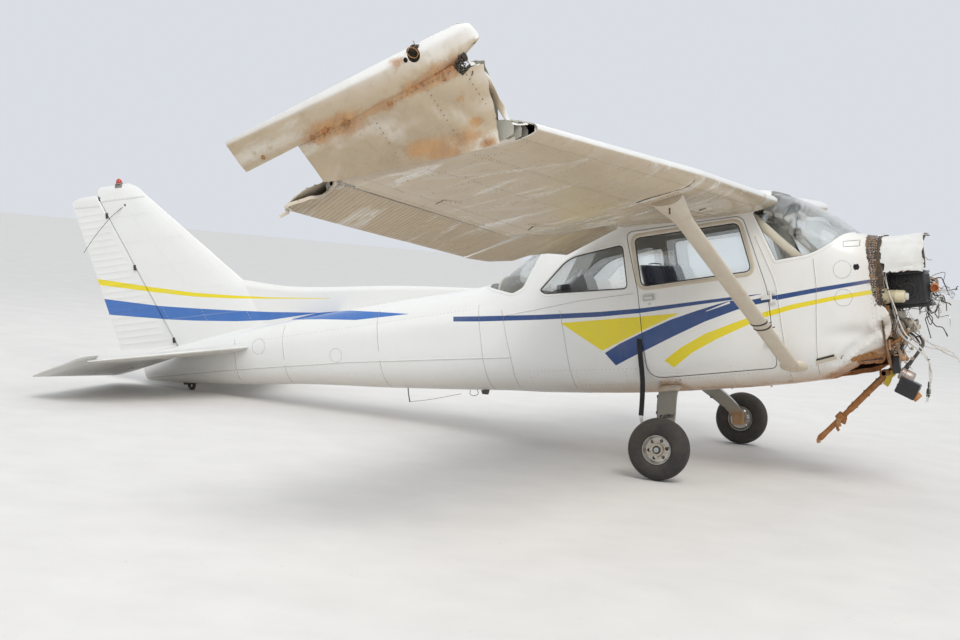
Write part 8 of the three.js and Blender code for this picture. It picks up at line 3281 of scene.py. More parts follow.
def revolved(profile: Sequence[tuple[float, float]], centre: Point, sides: int) -> Solid:
    """Return a closed outline turned round a line along y.

    Args:
        profile: The outline, as (radius, shift along y).
        centre: A point of the line.
        sides: How many steps round.

    Returns:
        The ring, closed both ways.
    """
    turn = 2 * math.pi * np.arange(sides) / sides
    flat = np.array(profile, float)
    count = len(flat)
    x = centre[0] + np.cos(turn)[:, None] * flat[None, :, 0]
    z = centre[2] + np.sin(turn)[:, None] * flat[None, :, 0]
    y = centre[1] + np.broadcast_to(flat[None, :, 1], x.shape)
    verts = np.stack([x, y, z], -1).reshape(-1, 3)
    faces = [
        (k * count + j, k * count + (j + 1) % count, (k + 1) % sides * count + (j + 1) % count,
         (k + 1) % sides * count + j)
        for k in range(sides) for j in range(count)
    ]
    return Solid(verts, faces, [Kind.OUTER.value] * len(faces)).outward()


@dataclass
class Undercarriage:
    """Spring legs, axles, brakes, hubs and tyres."""

    shop: Workshop
    palette: Palette
    rivets: Rivets
    axle_x: float = -1478.0
    wheel_y: float = 1265.0

    def leg(self, side: int, word: str) -> None:
        """Build one flat spring leg, its top fairing and its brake pipe."""
        rows = np.array([(395, 380, 72, -1588), (500, 358, 71, -1583), (700, 276, 70, -1551),
                         (900, 176, 64, -1509),
                         (1060, 90, 57, -1486), (1138, 47, 52, -1478)], float)
        path = monotone(rows[:, 0], rows, np.linspace(395, 1138, 34))
        slope = np.gradient(path[:, :2], axis=0)
        slope /= np.linalg.norm(slope, axis=1)[:, None]
        rings = []
        corner = [(1, 0.55), (0.975, 0.93), (0.9, 1.0), (-0.9, 1.0), (-0.975, 0.93), (-1, 0.55),
                  (-1, -0.55), (-0.975, -0.93),
                  (-0.9, -1.0), (0.9, -1.0), (0.975, -0.93), (1, -0.55)]
        for (y, z, half, x), (dy, dz) in zip(path, slope):
            rings.append([(x + u * half, side * (y - v * 11 * dz), z + v * 11 * dy) for u, v in corner])
        blade = loft(rings)
        flange = prism(rounded([(-1528, -45, 10), (-1428, -45, 10), (-1428, 62, 10), (-1528, 62, 10)], 4),
                       1128, 1150)
        flange = flange if side == LEFT else flange.mirrored()
        tone = self.palette.tone(Tones.GREY.value if side == RIGHT else Tones.TRIM.value)
        self.shop.make(f"leg_{word}_spring", joined([blade, flange]), [tone], Slot.SPRING,
                       replaces=(f"gear_leg_{word}",),
                       masks={"rust": lambda p: 0.4 * smoothstep(120, 40, p[:, 2]),
                              "grime": lambda p: 0.4 * smoothstep(260, 60, p[:, 2])})
        edges = []
        for sign in (1, -1):
            line = np.array([(x + sign * (half + 0.6), side * y, z) for y, z, half, x in path[2:-2]])
            edges.append(ribbon(line, np.tile((float(sign), 0, 0), (len(line), 1)), 15, 1.0))
        self.shop.make(f"leg_{word}_edges", joined(edges), [self.palette.tone(Tones.ALLOY.value)],
                       Slot.BRIGHT)
        pipe_line = [(x - half - 6, side * (y - 4), z - 4) for y, z, half, x in path[3:-3:4]]
        pipe_line += [(self.axle_x - 30, side * 1150, 40), (self.axle_x + 40, side * 1186, 36)]
        brake = [pipe(spline(pipe_line, 50), 3.2, 8)]
        for k in (8, 18, 27):
            y, z, half, x = path[k]
            brake.append(block(*[np.array(c) for c in ((x - half - 12, min(side * (y - 14), side * (y + 8)),
                                                        z - 14),
                                                       (x - half + 8, max(side * (y - 14), side * (y + 8)),
                                                        z + 8))]))
        self.shop.make(f"brake_pipe_{word}", joined(brake), [self.palette.tone(Tones.DARK.value)],
                       Slot.DARK)
        if side == RIGHT:
            self.torn_patch(path)
        self.cuff(side, word, path)

    def torn_patch(self, path: np.ndarray) -> None:
        """Build the dark torn tape round the near leg."""
        pieces = []
        for at, width, off, lift in ((0.66, 30, 0.1, 13.2), (0.69, 18, -0.3, 13.8), (0.64, 12, 0.45, 14.4)):
            y, z, half, x = path[int(at * (len(path) - 1))]
            xs = np.linspace(-0.8, 0.85, 18)
            wave = 5 * np.sin(xs * 6 + at * 30) + 3 * np.sin(xs * 17)
            line = np.stack([x + xs * half * 0.95 + off * 8,
                             np.full(18, -(y + lift * 0.35)) - 0.3 * wave * 0.2,
                             z + lift * 0.9 + wave * 0.5], 1)
            line[:, 1] -= 0.42 * wave
            pieces.append(ribbon(line, np.tile((0.0, -0.44, 0.9), (18, 1)), width, 1.4))
        self.shop.make("leg_right_torn_tape", joined(pieces), [self.palette.tone(Tones.BLACK.value)],
                       Slot.BLACK)

    def cuff(self, side: int, word: str, path: np.ndarray) -> None:
        """Build the fairing where a leg leaves the belly."""
        rings = []
        for at, grow_x, grow_z in ((0, 1.3, 24), (2, 1.2, 19), (4, 1.12, 16), (5, 1.06, 13), (6, 1.04, 12)):
            y, z, half, x = path[at]
            ring = []
            for k in range(40):
                turn = 2 * math.pi * k / 40
                u, v = math.cos(turn), math.sin(turn)
                u, v = math.copysign(abs(u) ** 0.6, u), math.copysign(abs(v) ** 0.8, v)
                ring.append((x + u * half * grow_x, side * (y + 8 + v * grow_z * 0.45), z + v * grow_z + 6))
            rings.append(ring)
        self.shop.make(f"leg_{word}_fairing", loft(rings), [self.palette.tone(Tones.JAMB.value)],
                       Slot.DIRTY,
                       masks={"rust": lambda p: 0.45 * smoothstep(400, 330, p[:, 2]),
                              "grime": lambda p: 0.5 + 0 * p[:, 0]})
        spots = [(-1650, 430), (-1600, 418), (-1540, 418), (-1500, 432)]
        points = np.array([HULL.side_point(x, z, side) for x, z in spots])
        self.rivets.set_along(f"leg_{word}_screws", [(points, np.tile((0, side * 0.5, -0.8), (4, 1)))],
                              tone=Tones.DARK, slot=Slot.DARK,
                              radius=6, height=3, sides=10)

    def axle(self, side: int, word: str) -> None:
        """Build one axle with its bolts and brake."""
        x = self.axle_x
        plate = prism(rounded([(x - 48, -44, 10), (x + 48, -44, 10), (x + 48, 50, 10), (x - 48, 50, 10)],
                              4), 1150.3, 1164)
        torque = prism(rounded([(x - 40, -34, 14), (x + 90, -34, 8), (x + 90, 34, 8), (x - 40, 34, 14)], 5),
                       1164, 1171)
        caliper = carve(
            prism(rounded([(x + 56, -34, 10), (x + 90, -34, 12), (x + 90, 34, 12), (x + 56, 34, 10)], 4),
                  1166, 1197),
            [rod((x, 1173.5, 0), (x, 1186.5, 0), 81, 72)],
        )
        dark = [rod((x, 1150, 0), (x, 1338, 0), 19, 32), caliper]
        bright = [plate, torque]
        for u, v in ((-34, -30), (34, -30), (34, 36), (-34, 36)):
            bright.append(turned([(0, 0), (0, 7), (7, 7), (9, 4), (9, 0)], (x + u, 1164, v),
                                 (x + u, 1180, v), 6))
        for v in (-20, 20):
            bright.append(turned([(0, 0), (0, 6), (8, 6), (8, 0)], (x + 73, 1197, v), (x + 73, 1212, v), 6))
            dark.append(rod((x + 73, 1150, v), (x + 73, 1166, v), 8, 14))
        dark.append(rod((x + 73, 1152, -8), (x + 73, 1166, 8), 14, 20))
        ways = [s if side == LEFT else s.mirrored() for s in (joined(dark), joined(bright))]
        self.shop.make(f"axle_{word}_stub", ways[0], [self.palette.tone(Tones.STEEL.value)], Slot.DARK,
                       replaces=(f"axle_{word}",), bevel=0.8)
        self.shop.make(f"axle_{word}_plates", ways[1], [self.palette.tone(Tones.ALLOY.value)], Slot.BRIGHT,
                       bevel=0.8,
                       masks={"rust": lambda p: 0.3 + 0 * p[:, 0]})

    def tyre(self, side: int, word: str) -> None:
        """Build one worn tyre with its grooves and bead lines."""
        groove = ((-44, 3.2), (-15, 3.2), (15, 3.2), (44, 3.2))
        profile = []
        for turn in np.radians(np.linspace(-128, 128, 73)):
            c, s = math.cos(turn), math.sin(turn)
            radius = 152 + 65.5 * math.copysign(abs(c) ** 0.8, c)
            shift = 80 * math.copysign(abs(s) ** 0.8, s)
            for at, deep in groove:
                radius -= deep * math.exp(-(((shift - at) / 2.6) ** 2)) if radius > 200 else 0
            line = math.exp(-(((radius - 168) / 2.2) ** 2)) + math.exp(-(((radius - 128) / 2.2) ** 2))
            radius -= 0.9 * line
            profile.append((radius, shift))
        profile += [(102.3, 52), (102.3, 40), (113, 36), (128, 46), (150, 58), (185, 50), (200, 0),
                    (185, -50), (150, -58),
                    (128, -46), (113, -36), (102.3, -40), (102.3, -52)]
        solid = revolved(profile, (self.axle_x, side * self.wheel_y, 0), 120)
        self.shop.make(f"tyre_{word}_casing", solid, [self.palette.tone(Tones.TYRE.value)], Slot.TYRE,
                       f"wheel_{word}", (f"tyre_{word}",),
                       smooth=50,
                       masks={"grime": lambda p: 0.5 * bump_at(p, (self.axle_x, side * self.wheel_y, 0),
                                                               (190, 60, 190)),
                                         "rust": lambda p: 0 * p[:, 0]})

    def hub(self, side: int, word: str) -> None:
        """Build one split rim, its disc, bolts and grease cap."""
        x, y = self.axle_x, self.wheel_y
        body = f"wheel_{word}"
        outline = [(19.5, -70), (34, -70), (34, -89), (76, -89), (76, -81), (46, -81), (46, -28), (84, -24),
                   (94, -48), (98, -60),
                   (102, -60), (102, 66), (99, 66), (97, 60), (90, 40), (84, 30), (60, 31), (46, 34),
                   (44, 52), (42, 58), (19.5, 58)]
        wheel = revolved(outline, (x, y, 0), 96)
        holes = []
        for k in range(6):
            turn = math.pi / 3 * k
            u, v = 65 * math.cos(turn), 65 * math.sin(turn)
            holes.append(rod((x + u, y - 45, v), (x + u, y + 60, v), 13, 24))
        wheel = carve(wheel, holes)
        wheel = wheel if side == LEFT else wheel.mirrored()
        self.shop.make(f"rim_{word}", wheel, [self.palette.tone(Tones.CAST.value)], Slot.BRIGHT, body,
                       (f"hub_{word}",), smooth=30,
                       masks={"grime": lambda p: 0.55 * smoothstep(96, 40, np.hypot(p[:, 0] - x, p[:, 2])),
                              "rust": lambda p: 0 * p[:, 0]})
        bright, dark = [], []
        bright.append(revolved([(86.5, 33), (99.5, 66.2), (101.6, 67.5), (101.6, 69.2), (98.5, 69),
                                (84, 34)], (x, y, 0), 72))
        for k in range(12):
            turn = math.pi / 6 * (k + 0.5)
            u, v = 92.5 * math.cos(turn), 92.5 * math.sin(turn)
            bright.append(turned([(0, 0), (0, 3.6), (3, 3.6), (4, 2), (4, 0)], (x + u, y + 48, v),
                                 (x + u, y + 54, v), 8))
        for k in range(3):
            turn = 2 * math.pi / 3 * k + 0.5
            u, v = 52 * math.cos(turn), 52 * math.sin(turn)
            bright.append(turned([(0, 0), (0, 6), (10, 6), (12, 4), (12, 0)], (x + u, y + 29, v),
                                 (x + u, y + 44, v), 6))
        dark.append(turned([(0, 30), (5, 30), (8, 26), (14, 24), (16, 14), (17, 4)], (x, y + 56, 0),
                           (x, y + 74, 0), 32))
        for tone, parts, label, slot in ((Tones.ALLOY, bright, "rim_ring", Slot.BRIGHT),
                                         (Tones.DARK, dark, "grease_cap", Slot.DARK)):
            whole = joined(parts)
            whole = whole if side == LEFT else whole.mirrored()
            self.shop.make(f"{label}_{word}", whole, [self.palette.tone(tone.value)], slot, body, smooth=30)
        valve = rod((x + 84, y + 36, 8), (x + 78, y + 62, 9), 3, 8)
        valve = valve if side == LEFT else valve.mirrored()
        self.shop.make(f"valve_{word}", valve, [self.palette.tone(Tones.BLACK.value)], Slot.BLACK, body)

    def belly(self) -> None:
        """Build the aerials, the drain and the tie-down under the belly."""
        dark = []

        def under(x: float) -> np.ndarray:
            """Return the lowest point of the hull at x."""
            ring = HULL.surface(np.array([x]), np.linspace(0, 2 * math.pi, 180, endpoint=False))[0]
            return ring[ring[:, 2].argmin()] * (1, 0, 1)

        low = under(-3899)
        dark.append(pipe(spline([low + (0, -120, 8), low + (0, -122, -40), low + (6, -124, -112)], 12), 4.5,
                         8))
        dark.append(pipe(spline([low + (6, -124, -108), low + (180, -122, -104), low + (470, -118, -78)],
                                30), 1.8, 6))
        low = under(-3205)
        outline = [(-3240, low[2] + 6), (-3170, low[2] + 6), (-3185, low[2] - 34), (-3232, low[2] - 26)]
        dark.append(prism(rounded([(u, v, 5) for u, v in outline], 3), -150, -132))
        low = under(-3310)
        loop = [low + (-30, -130, 5), low + (-36, -132, -28), low + (0, -134, -44), low + (36, -132, -28),
                low + (30, -130, 5)]
        dark.append(pipe(spline(loop, 24), 2.4, 8))
        self.shop.make("belly_aerials", joined(dark), [self.palette.tone(Tones.BLACK.value)], Slot.BLACK,
                       bevel=0)
        light = []
        for x, y, tall in ((-1640, -150, 26), (-900, -110, 20), (-1250, 100, 22)):
            low = under(x)
            light.append(turned([(0, 14), (3, 14), (6, 8), (tall, 7), (tall + 2, 4)], low + (0, y, 8),
                                low + (0, y, -20), 14))
        self.shop.make("belly_drains", joined(light), [self.palette.tone(Tones.ALLOY.value)], Slot.BRIGHT)

    def build(self) -> None:
        """Build everything."""
        for side, word in ((RIGHT, "right"), (LEFT, "left")):
            self.leg(side, word)
            self.axle(side, word)
            self.tyre(side, word)
            self.hub(side, word)
        self.belly()


# Nose


@dataclass
class NoseBay:
    """Everything left in front of the firewall."""

    shop: Workshop
    palette: Palette
    rivets: Rivets

    def paint(self, tone: Tones) -> bpy.types.Material:
        """Return a finish."""
        return self.palette.tone(tone.value)

    @staticmethod
    def box(low: Point, high: Point, radius: float, axis: str = "x") -> Solid:
        """Return a block with round edges along one axis."""
        picks = {"x": (1, 2, 0), "y": (0, 2, 1), "z": (0, 1, 2)}[axis]
        u, v, w = picks
        corners = [(low[u], low[v], radius), (high[u], low[v], radius), (high[u], high[v], radius),
                   (low[u], high[v], radius)]
        return prism(rounded(corners, 5), low[w], high[w], axis)

    def firewall(self) -> None:
        """Build the pressed plate, its ragged collar and the mount stubs."""
        angles = np.linspace(0, 2 * math.pi, 160, endpoint=False)
        ring = HULL.surface(np.array([-1.0]), angles, 6.0, False)[0]
        middle = np.array([0, 0, 0.5 * (ring[:, 2].max() + ring[:, 2].min())])
        front, back = [], []
        for scale in (1.0, 0.93, 0.9, 0.62, 0.6, 0.3, 0.28, 0.02):
            here = middle + (ring - middle) * (1, scale, scale)
            lift = 3.0 if scale in (0.93, 0.6, 0.3) else 0.0
            front.append(here * (0, 1, 1) + (13 + lift, 0, 0))
            back.append(here * (0, 1, 1) + (0.4, 0, 0))
        plate = loft([*back[::-1], *front])
        ribs = []
        for y in (-300, -150, 0, 150, 300):
            ribs.append(self.box((13, y - 9, 640), (19, y + 9, 1180), 6, "x"))
        self.shop.make("firewall_plate", joined([plate, *ribs]), [self.paint(Tones.STEEL)], Slot.DARK,
                       replaces=("firewall",),
                       masks={"rust": lambda p: 0.25 + 0.5 * smoothstep(700, 450, p[:, 2]),
                              "grime": lambda p: 0.6 + 0 * p[:, 0]})
        xs = np.linspace(1, 60, 10)
        outer = np.repeat(HULL.surface(np.array([-1.0]), angles, 2.0, False), len(xs), 0)
        inner = np.repeat(HULL.surface(np.array([-1.0]), angles, 7.0, False), len(xs), 0)
        for k, x in enumerate(xs):
            wave = (2.2 * np.sin(angles * 23 + k) + 1.6 * np.sin(angles * 51 - k)) * (k / 9)
            for grid in (outer, inner):
                grid[k, :, 0] = x
                grid[k, :, 1:] += (grid[k, :, 1:] - middle[1:]) / 600 * wave[:, None]
        edge = ragged([(-8, 400), (6, 440), (16, 450), (10, 520), (16, 640), (12, 760), (16, 830),
                       (26, 960), (38, 1080),
                       (28, 1190), (46, 1300), (24, 1400), (-8, 1400)], 16, 5, 41, 0)
        collar = carve(shell(outer, inner), [prism(edge, -900, 900)], Carving.KEEP)
        self.shop.make("firewall_collar", collar, [self.paint(Tones.DARK)], Slot.DARK,
                       masks={"rust": lambda p: 0.12 * smoothstep(760, 500, p[:, 2]),
                              "grime": lambda p: 0 * p[:, 0]})
        light, rods_ = [], []
        for y in (-250, 250):
            light.append(self.box((14, y - 42, 1088), (34, y + 42, 1172), 12))
        for y in (-320, 320):
            light.append(self.box((14, y - 42, 518), (34, y + 42, 602), 12))
        for tube, radius in ((((30, 250, 1130), (330, 215, 985)), 14),
                             (((30, 250, 1130), (150, 320, 980)), 14),
                             (((30, -320, 560), (150, -300, 640)), 14),
                             (((330, 215, 985), (352, -70, 940)), 12)):
            a, b = (np.array(p, float) for p in tube)
            bow = spline([a, (a + b) / 2 + (4, 3, -5), b], 14)
            rods_.append(pipe(bow, radius, 16))
        rods_.append(self.box((8, -392, 615), (52, -366, 838), 6, "z"))
        self.shop.make("mount_pads", joined(light), [self.paint(Tones.ALLOY)], Slot.BRIGHT, bevel=1.5,
                       masks={"rust": lambda p: 0.4 + 0 * p[:, 0]})
        self.shop.make("mount_tubes", joined(rods_), [self.paint(Tones.DARK)], Slot.DARK,
                       masks={"rust": lambda p: 0.45 + 0 * p[:, 0]})
        cap = turned([(0, 24), (4, 30), (16, 31), (34, 30), (60, 30), (88, 31), (92, 27), (92, 24),
                      (60, 22)], (338, -60, 938), (352, -160, 930), 32)
        self.shop.make("broken_pipe_end", cap, [self.paint(Tones.ORANGE)], Slot.RED)
        bolts = []
        for y in (-250, 250):
            for u, v in ((-28, -28), (28, -28), (28, 28), (-28, 28)):
                bolts.append(turned([(0, 0), (0, 7), (6, 7), (6, 4), (13, 4), (13, 0)],
                                    (34, y + u, 1130 + v), (50, y + u, 1130 + v), 6))
        for y in (-320, 320):
            for u, v in ((-28, -28), (28, -28), (28, 28), (-28, 28)):
                bolts.append(turned([(0, 0), (0, 7), (6, 7), (6, 4), (13, 4), (13, 0)],
                                    (34, y + u, 560 + v), (50, y + u, 560 + v), 6))
        self.shop.make("mount_bolts", joined(bolts), [self.paint(Tones.RUSTY)], Slot.RUSTY)
        self.flange_strip()

    def flange_strip(self) -> None:
        """Build the dark drilled strip and torn tabs down the near edge of the firewall."""
        tabs = []
        draw = np.random.default_rng(52)
        for z in np.arange(780, 1350, 27.0):
            edge = HULL.side_point(-2.0, z, RIGHT)
            y = edge[1]
            reach = float(draw.uniform(16, 42))
            lean = float(draw.uniform(-8, 12))
            path = spline([(2, y + 8, z), (12, y + 14, z + lean * 0.4),
                           (8 + reach, y + 18 + lean, z + lean)], 8)
            tabs.append(ribbon(path, np.tile((0.1, -1.0, 0.1), (8, 1)), float(draw.uniform(12, 21)), 1.6))
        self.shop.make("firewall_tabs", joined(tabs), [self.paint(Tones.DARK)], Slot.DARK)
        line = [HULL.side_point(-3.0, z, RIGHT) + (14, 9, 0) for z in np.arange(700, 1352, 4.0)]
        heads = FuselageSkins.pitch((np.array(line), np.tile((0.2, -1.0, 0), (len(line), 1))), 24.0)
        self.rivets.set_along("firewall_holes", [heads], tone=Tones.ALLOY, slot=Slot.BRIGHT, radius=4.2,
                              height=1.8, sides=8)

    def cowl(self) -> None:
        """Build the crumpled top of the engine cover that is left."""
        angles = np.linspace(0, 2 * math.pi, 200, endpoint=False)
        xs = np.linspace(8, 352, 34)
        base = HULL.surface(np.array([-1.0]), angles, 9.0, False)[0]
        inside = HULL.surface(np.array([-1.0]), angles, 14.0, False)[0]
        outer = np.repeat(base[None], len(xs), 0)
        inner = np.repeat(inside[None], len(xs), 0)
        for grid in (outer, inner):
            grid[:, :, 0] = xs[:, None]
            y, z = grid[..., 1], grid[..., 2]
            wave = 2.2 * np.sin(xs[:, None] / 31 + z / 42) + 1.5 * np.sin(xs[:, None] / 17 - z / 25 + 1.3)
            crease = -13 * np.exp(-(((z - 1262) + 0.1 * (xs[:, None] - 180)) / 8) ** 2)
            crease = crease - 10 * np.exp(-(((z - 1100) - 0.05 * (xs[:, None] - 180)) / 7) ** 2)
            tuck = (wave + crease) * smoothstep(10, 70, xs)[:, None]
            tuck = tuck * smoothstep(352, 300, xs)[:, None] * 0.8
            radial = np.stack([y, z - 900], -1)
            radial /= np.linalg.norm(radial, axis=-1)[..., None]
            grid[..., 1:] += np.minimum(radial * tuck[..., None], 6 * np.abs(radial))
        keep = ragged([(14.3, 1345), (14.3, 1245), (44, 1205), (30, 1160), (60, 1120), (40, 1075),
                       (250, 1066), (318, 1052),
                       (334, 1120), (318, 1190), (340, 1260), (322, 1345), (330, 1420), (14.3, 1420)], 18,
                       8, 61, 0)
        keep = [(max(u, 14.3), v) for u, v in keep]
        skin = carve(shell(outer, inner), [prism(keep, -900, 70)], Carving.KEEP)
        inside_paint = self.paint(Tones.ZINC)
        self.shop.make("cowl_skin", skin, [self.paint(Tones.WHITE), inside_paint, inside_paint], Slot.WHITE,
                       replaces=("cowl_remnant",),
                       masks={"rust": lambda p: 0.5 * bump_at(p, (320, -380, 1130), (30, 60, 70)),
                              "grime": lambda p: 0.25 * smoothstep(290, 340, p[:, 0])})
        frames = []
        for x, deep in ((326, 18), (50, 12)):
            picks = [p for p in base if p[2] > 1075 and p[1] < 60]
            picks.sort(key=lambda p: math.atan2(p[1], p[2] - 900))
            line = np.array([(x, p[1] * 0.965, 900 + (p[2] - 900) * 0.955) for p in picks])
            wave = np.sin(np.arange(len(line)) / 2.3) * 3
            line[:, 0] += wave
            radial = line - (x, 0, 900)
            radial[:, 0] = 0
            radial /= np.linalg.norm(radial, axis=1)[:, None]
            frames.append(ribbon(line, radial, deep, 3.0))
        self.shop.make("cowl_frames", joined(frames), [self.paint(Tones.DARK)], Slot.DARK)

    def boxes(self) -> None:
        """Build the battery box, the reservoir, the pump and the air box."""
        body = self.box((14.3, -255, 830), (300, 40, 1050), 14, "z")
        ribs = [self.box((x, -259, 850), (x + 9, -250, 1040), 3, "y") for x in range(40, 290, 30)]
        ribs += [self.box((296, y, 850), (304, y + 9, 1040), 3, "x") for y in range(-230, 30, 36)]
        shelf = self.box((14.3, -230, 806), (330, 20, 830), 8, "z")
        self.shop.make("battery_case", joined([body, *ribs, shelf]), [self.paint(Tones.PITCH)], Slot.BLACK,
                       replaces=("battery_box",),
                       bevel=1.5)
        lid = [self.box((14.3, -262, 1050), (306, 47, 1062), 12, "z"),
               self.box((30, -250, 1062), (290, 34, 1067), 14, "z")]
        lid += [turned([(0, 16), (5, 16), (8, 13), (8, 0)], (70 + 52 * k, -200, 1066),
                       (70 + 52 * k, -200, 1080), 20) for k in range(4)]
        self.shop.make("battery_lid", joined(lid), [self.paint(Tones.PITCH)], Slot.BLACK, bevel=1.2)
        port = turned([(0, 62), (4, 62), (8, 58), (16, 56), (20, 60), (24, 58), (24, 44), (12, 40), (10, 8),
                       (16, 6), (16, 0)],
                      (180, -256, 930), (180, -281, 930), 48)
        self.shop.make("battery_case_cap", port, [self.paint(Tones.PITCH)], Slot.BLACK)
        tank = turned([(0, 34), (6, 42), (14, 44), (50, 44), (54, 46), (60, 46), (64, 44), (108, 44),
                       (116, 40), (122, 26)],
                      (52, -372, 905), (172, -382, 890), 40)
        neck = turned([(0, 22), (10, 22), (10, 25), (24, 25), (26, 20)], (166, -381, 891), (192, -384, 888),
                      28)
        clamp = turned([(0, 56), (20, 56), (44, 50), (46, 40)], (14.3, -370, 907), (58, -372, 905), 36)
        self.shop.make("reservoir_tank", joined([tank]), [self.paint(Tones.CREAM)], Slot.CREAM,
                       replaces=("fluid_reservoir",),
                       masks={"grime": lambda p: 0.3 * smoothstep(900, 860, p[:, 2]),
                              "rust": lambda p: 0 * p[:, 0]})
        self.shop.make("reservoir_cap", joined([neck]), [self.paint(Tones.SHEATH)], Slot.WHITE)
        self.shop.make("reservoir_base", joined([clamp]), [self.paint(Tones.CREAM)], Slot.CREAM)
        mount = self.box((14.3, -250, 600), (120, -40, 790), 12, "y")
        pump = turned([(0, 30), (0, 52), (18, 52), (20, 46), (26, 46), (28, 52), (52, 52), (56, 44),
                       (74, 42), (78, 52), (86, 50), (88, 30)],
                      (120, -150, 690), (205, -165, 670), 36)
        elbow = turned([(0, 26), (10, 26), (12, 22), (24, 22), (26, 16)], (203, -165, 670),
                       (229, -180, 600), 24)
        fins = [turned([(0, 44), (4, 44)], (120 + k, -150, 690 + 0.1 * k), (130 + k, -151, 690), 30)
                for k in (0, 14)]
        self.shop.make("fuel_pump_body", joined([mount, pump, elbow, *fins]), [self.paint(Tones.CAST)],
                       Slot.DARK, replaces=("fuel_pump",),
                       bevel=1.5,
                       masks={"grime": lambda p: 0.55 + 0 * p[:, 0], "rust": lambda p: 0.1 + 0 * p[:, 0]})
        turn = Matrix.Translation((105, -215, 232)) @ Matrix.Rotation(0.55, 4, "Y")
        case = self.box((-75, -55, -60), (75, 55, 60), 12, "y")
        rims = [self.box((-79, -59, -8), (79, 59, -2), 10, "z"),
                self.box((-79, -59, 26), (79, 59, 31), 10, "z")]
        airbox = joined([case, *rims]).moved(turn)
        bracket = self.box((14.3, -262, 344), (66, -168, 470), 8, "x")
        self.shop.make("air_box", joined([airbox, bracket]), [self.paint(Tones.PITCH)], Slot.BLACK,
                       replaces=("carburettor_box",), bevel=1.2)
        duct = turned([(0, 40), (10, 46), (24, 46), (28, 42), (40, 42), (44, 46), (70, 46), (100, 46),
                       (108, 40)], (60, -215, 350), (150, -215, 290), 36)
        self.shop.make("air_duct", duct, [self.paint(Tones.STEEL)], Slot.DARK,
                       masks={"rust": lambda p: 0.3 + 0 * p[:, 0]})
        outlet = turned([(0, 30), (4, 34), (30, 35), (48, 34), (53, 30), (53, 26), (30, 24)],
                        (140, -215, 190), (172, -215, 148), 36)
        self.shop.make("outlet_ring", outlet, [self.paint(Tones.ORANGE)], Slot.RED,
                       masks={"rust": lambda p: 0.35 + 0 * p[:, 0]})

    def nose_leg(self) -> None:
        """Build the rusty broken leg with its collar and torn end."""
        tube = spline([(34, -100, 396), (-100, -102, 300), (-330, -104, 109), (-583, -105, -98)], 46)
        radius = np.full(46, 25.0)
        radius[28:] = 20.0
        radius[-4:] = (21, 23, 24, 22)
        radius[:3] = 26.0
        leg = [pipe(tube, radius, 22)]
        leg.append(turned([(0, 30), (3, 38), (52, 38), (56, 32)], (-388, -104, 66), (-436, -104, 26), 28))
        for k in (10, 17, 24):
            a, b = tube[k], tube[k + 1]
            leg.append(turned([(0, 27), (2, 30), (10, 30), (12, 27)], a, b + (b - a) * 0.4, 24))
        self.shop.make("nose_leg_tube", joined(leg), [self.paint(Tones.RUSTY)], Slot.RUSTY,
                       replaces=("nose_leg",),
                       masks={"rust": lambda p: 0.55 + 0.35 * np.sin(p[:, 0] / 37) ** 2,
                              "grime": lambda p: 0 * p[:, 0]})
        scraps, dark = [], []
        for path, width in ((((-410, -134, 50), (-425, -150, 20), (-420, -156, -16)), 34),
                            (((-380, -80, 60), (-392, -62, 20), (-404, -58, -6)), 26),
                            (((-560, -116, -76), (-590, -120, -108), (-584, -124, -128)), 30),
                            (((-430, -100, 0), (-446, -96, -30), (-436, -90, -52)), 22)):
            points = spline(path, 12)
            scraps.append(ribbon(points, np.tile((0.4, -0.8, 0.4), (12, 1)), width, 2.4))
        self.shop.make("nose_leg_scraps", joined(scraps), [self.paint(Tones.RUSTY)], Slot.RUSTY)
        fork = [rod((-40, -170, 350), (-150, -150, 262), 15, 18),
                rod((-40, -40, 350), (-150, -70, 262), 15, 18),
                self.box((-90, -190, 330), (-20, -20, 372), 10, "y"),
                rod((-60, -190, 350), (-60, -20, 350), 22, 20)]
        dark.extend(fork)
        self.shop.make("nose_leg_brace", joined(dark), [self.paint(Tones.DARK)], Slot.DARK, bevel=1.0,
                       masks={"rust": lambda p: 0.6 + 0 * p[:, 0]})

    def torn_belly(self) -> None:
        """Build the rolled and crumpled skin under the firewall, and the rag of metal beside it."""
        draw = np.random.default_rng(77)
        strips = []
        for k in range(9):
            x = -30 - 34 * k
            base = HULL.side_point(x, 478 + 4 * k, RIGHT)
            path = spline([base + (0, 6, 4), base + (12, 22, -18 - 2 * k),
                           base + (24 + 6 * draw.random(), 52, -30),
                           base + (10, 86, -22 + 14 * draw.random())], 14)
            strips.append(ribbon(path, np.tile((0.2, -0.7, -0.6), (14, 1)), 42, 1.8))
        self.shop.make("torn_belly_edge", joined(strips), [self.paint(Tones.RUSTY)], Slot.RUSTY,
                       masks={"rust": lambda p: 0.2 + 0 * p[:, 0]})
        grid = []
        for row in np.linspace(0, 1, 22):
            line = []
            for col in np.linspace(0, 1, 22):
                line.append((16 + 90 * row + 14 * math.sin(col * 9 + row * 5),
                             -330 + 240 * col + 10 * math.sin(row * 13),
                             640 - 190 * row + 22 * math.sin(col * 7 + row * 11) + 9 * math.sin(col * 21)))
            grid.append(line)
        top = np.array(grid)
        low = top + (0, 0, -2.2)
        sheet = loft([np.vstack([a, b[::-1]]) for a, b in zip(top, low)])
        self.shop.make("crumpled_baffle", sheet, [self.paint(Tones.STEEL)], Slot.DARK,
                       masks={"rust": lambda p: 0.5 + 0.3 * np.sin(p[:, 1] / 30),
                              "grime": lambda p: 0.7 + 0 * p[:, 0]})
        flag = spline([(8, -158, 352), (-18, -164, 330), (-40, -150, 292), (-62, -158, 262)], 16)
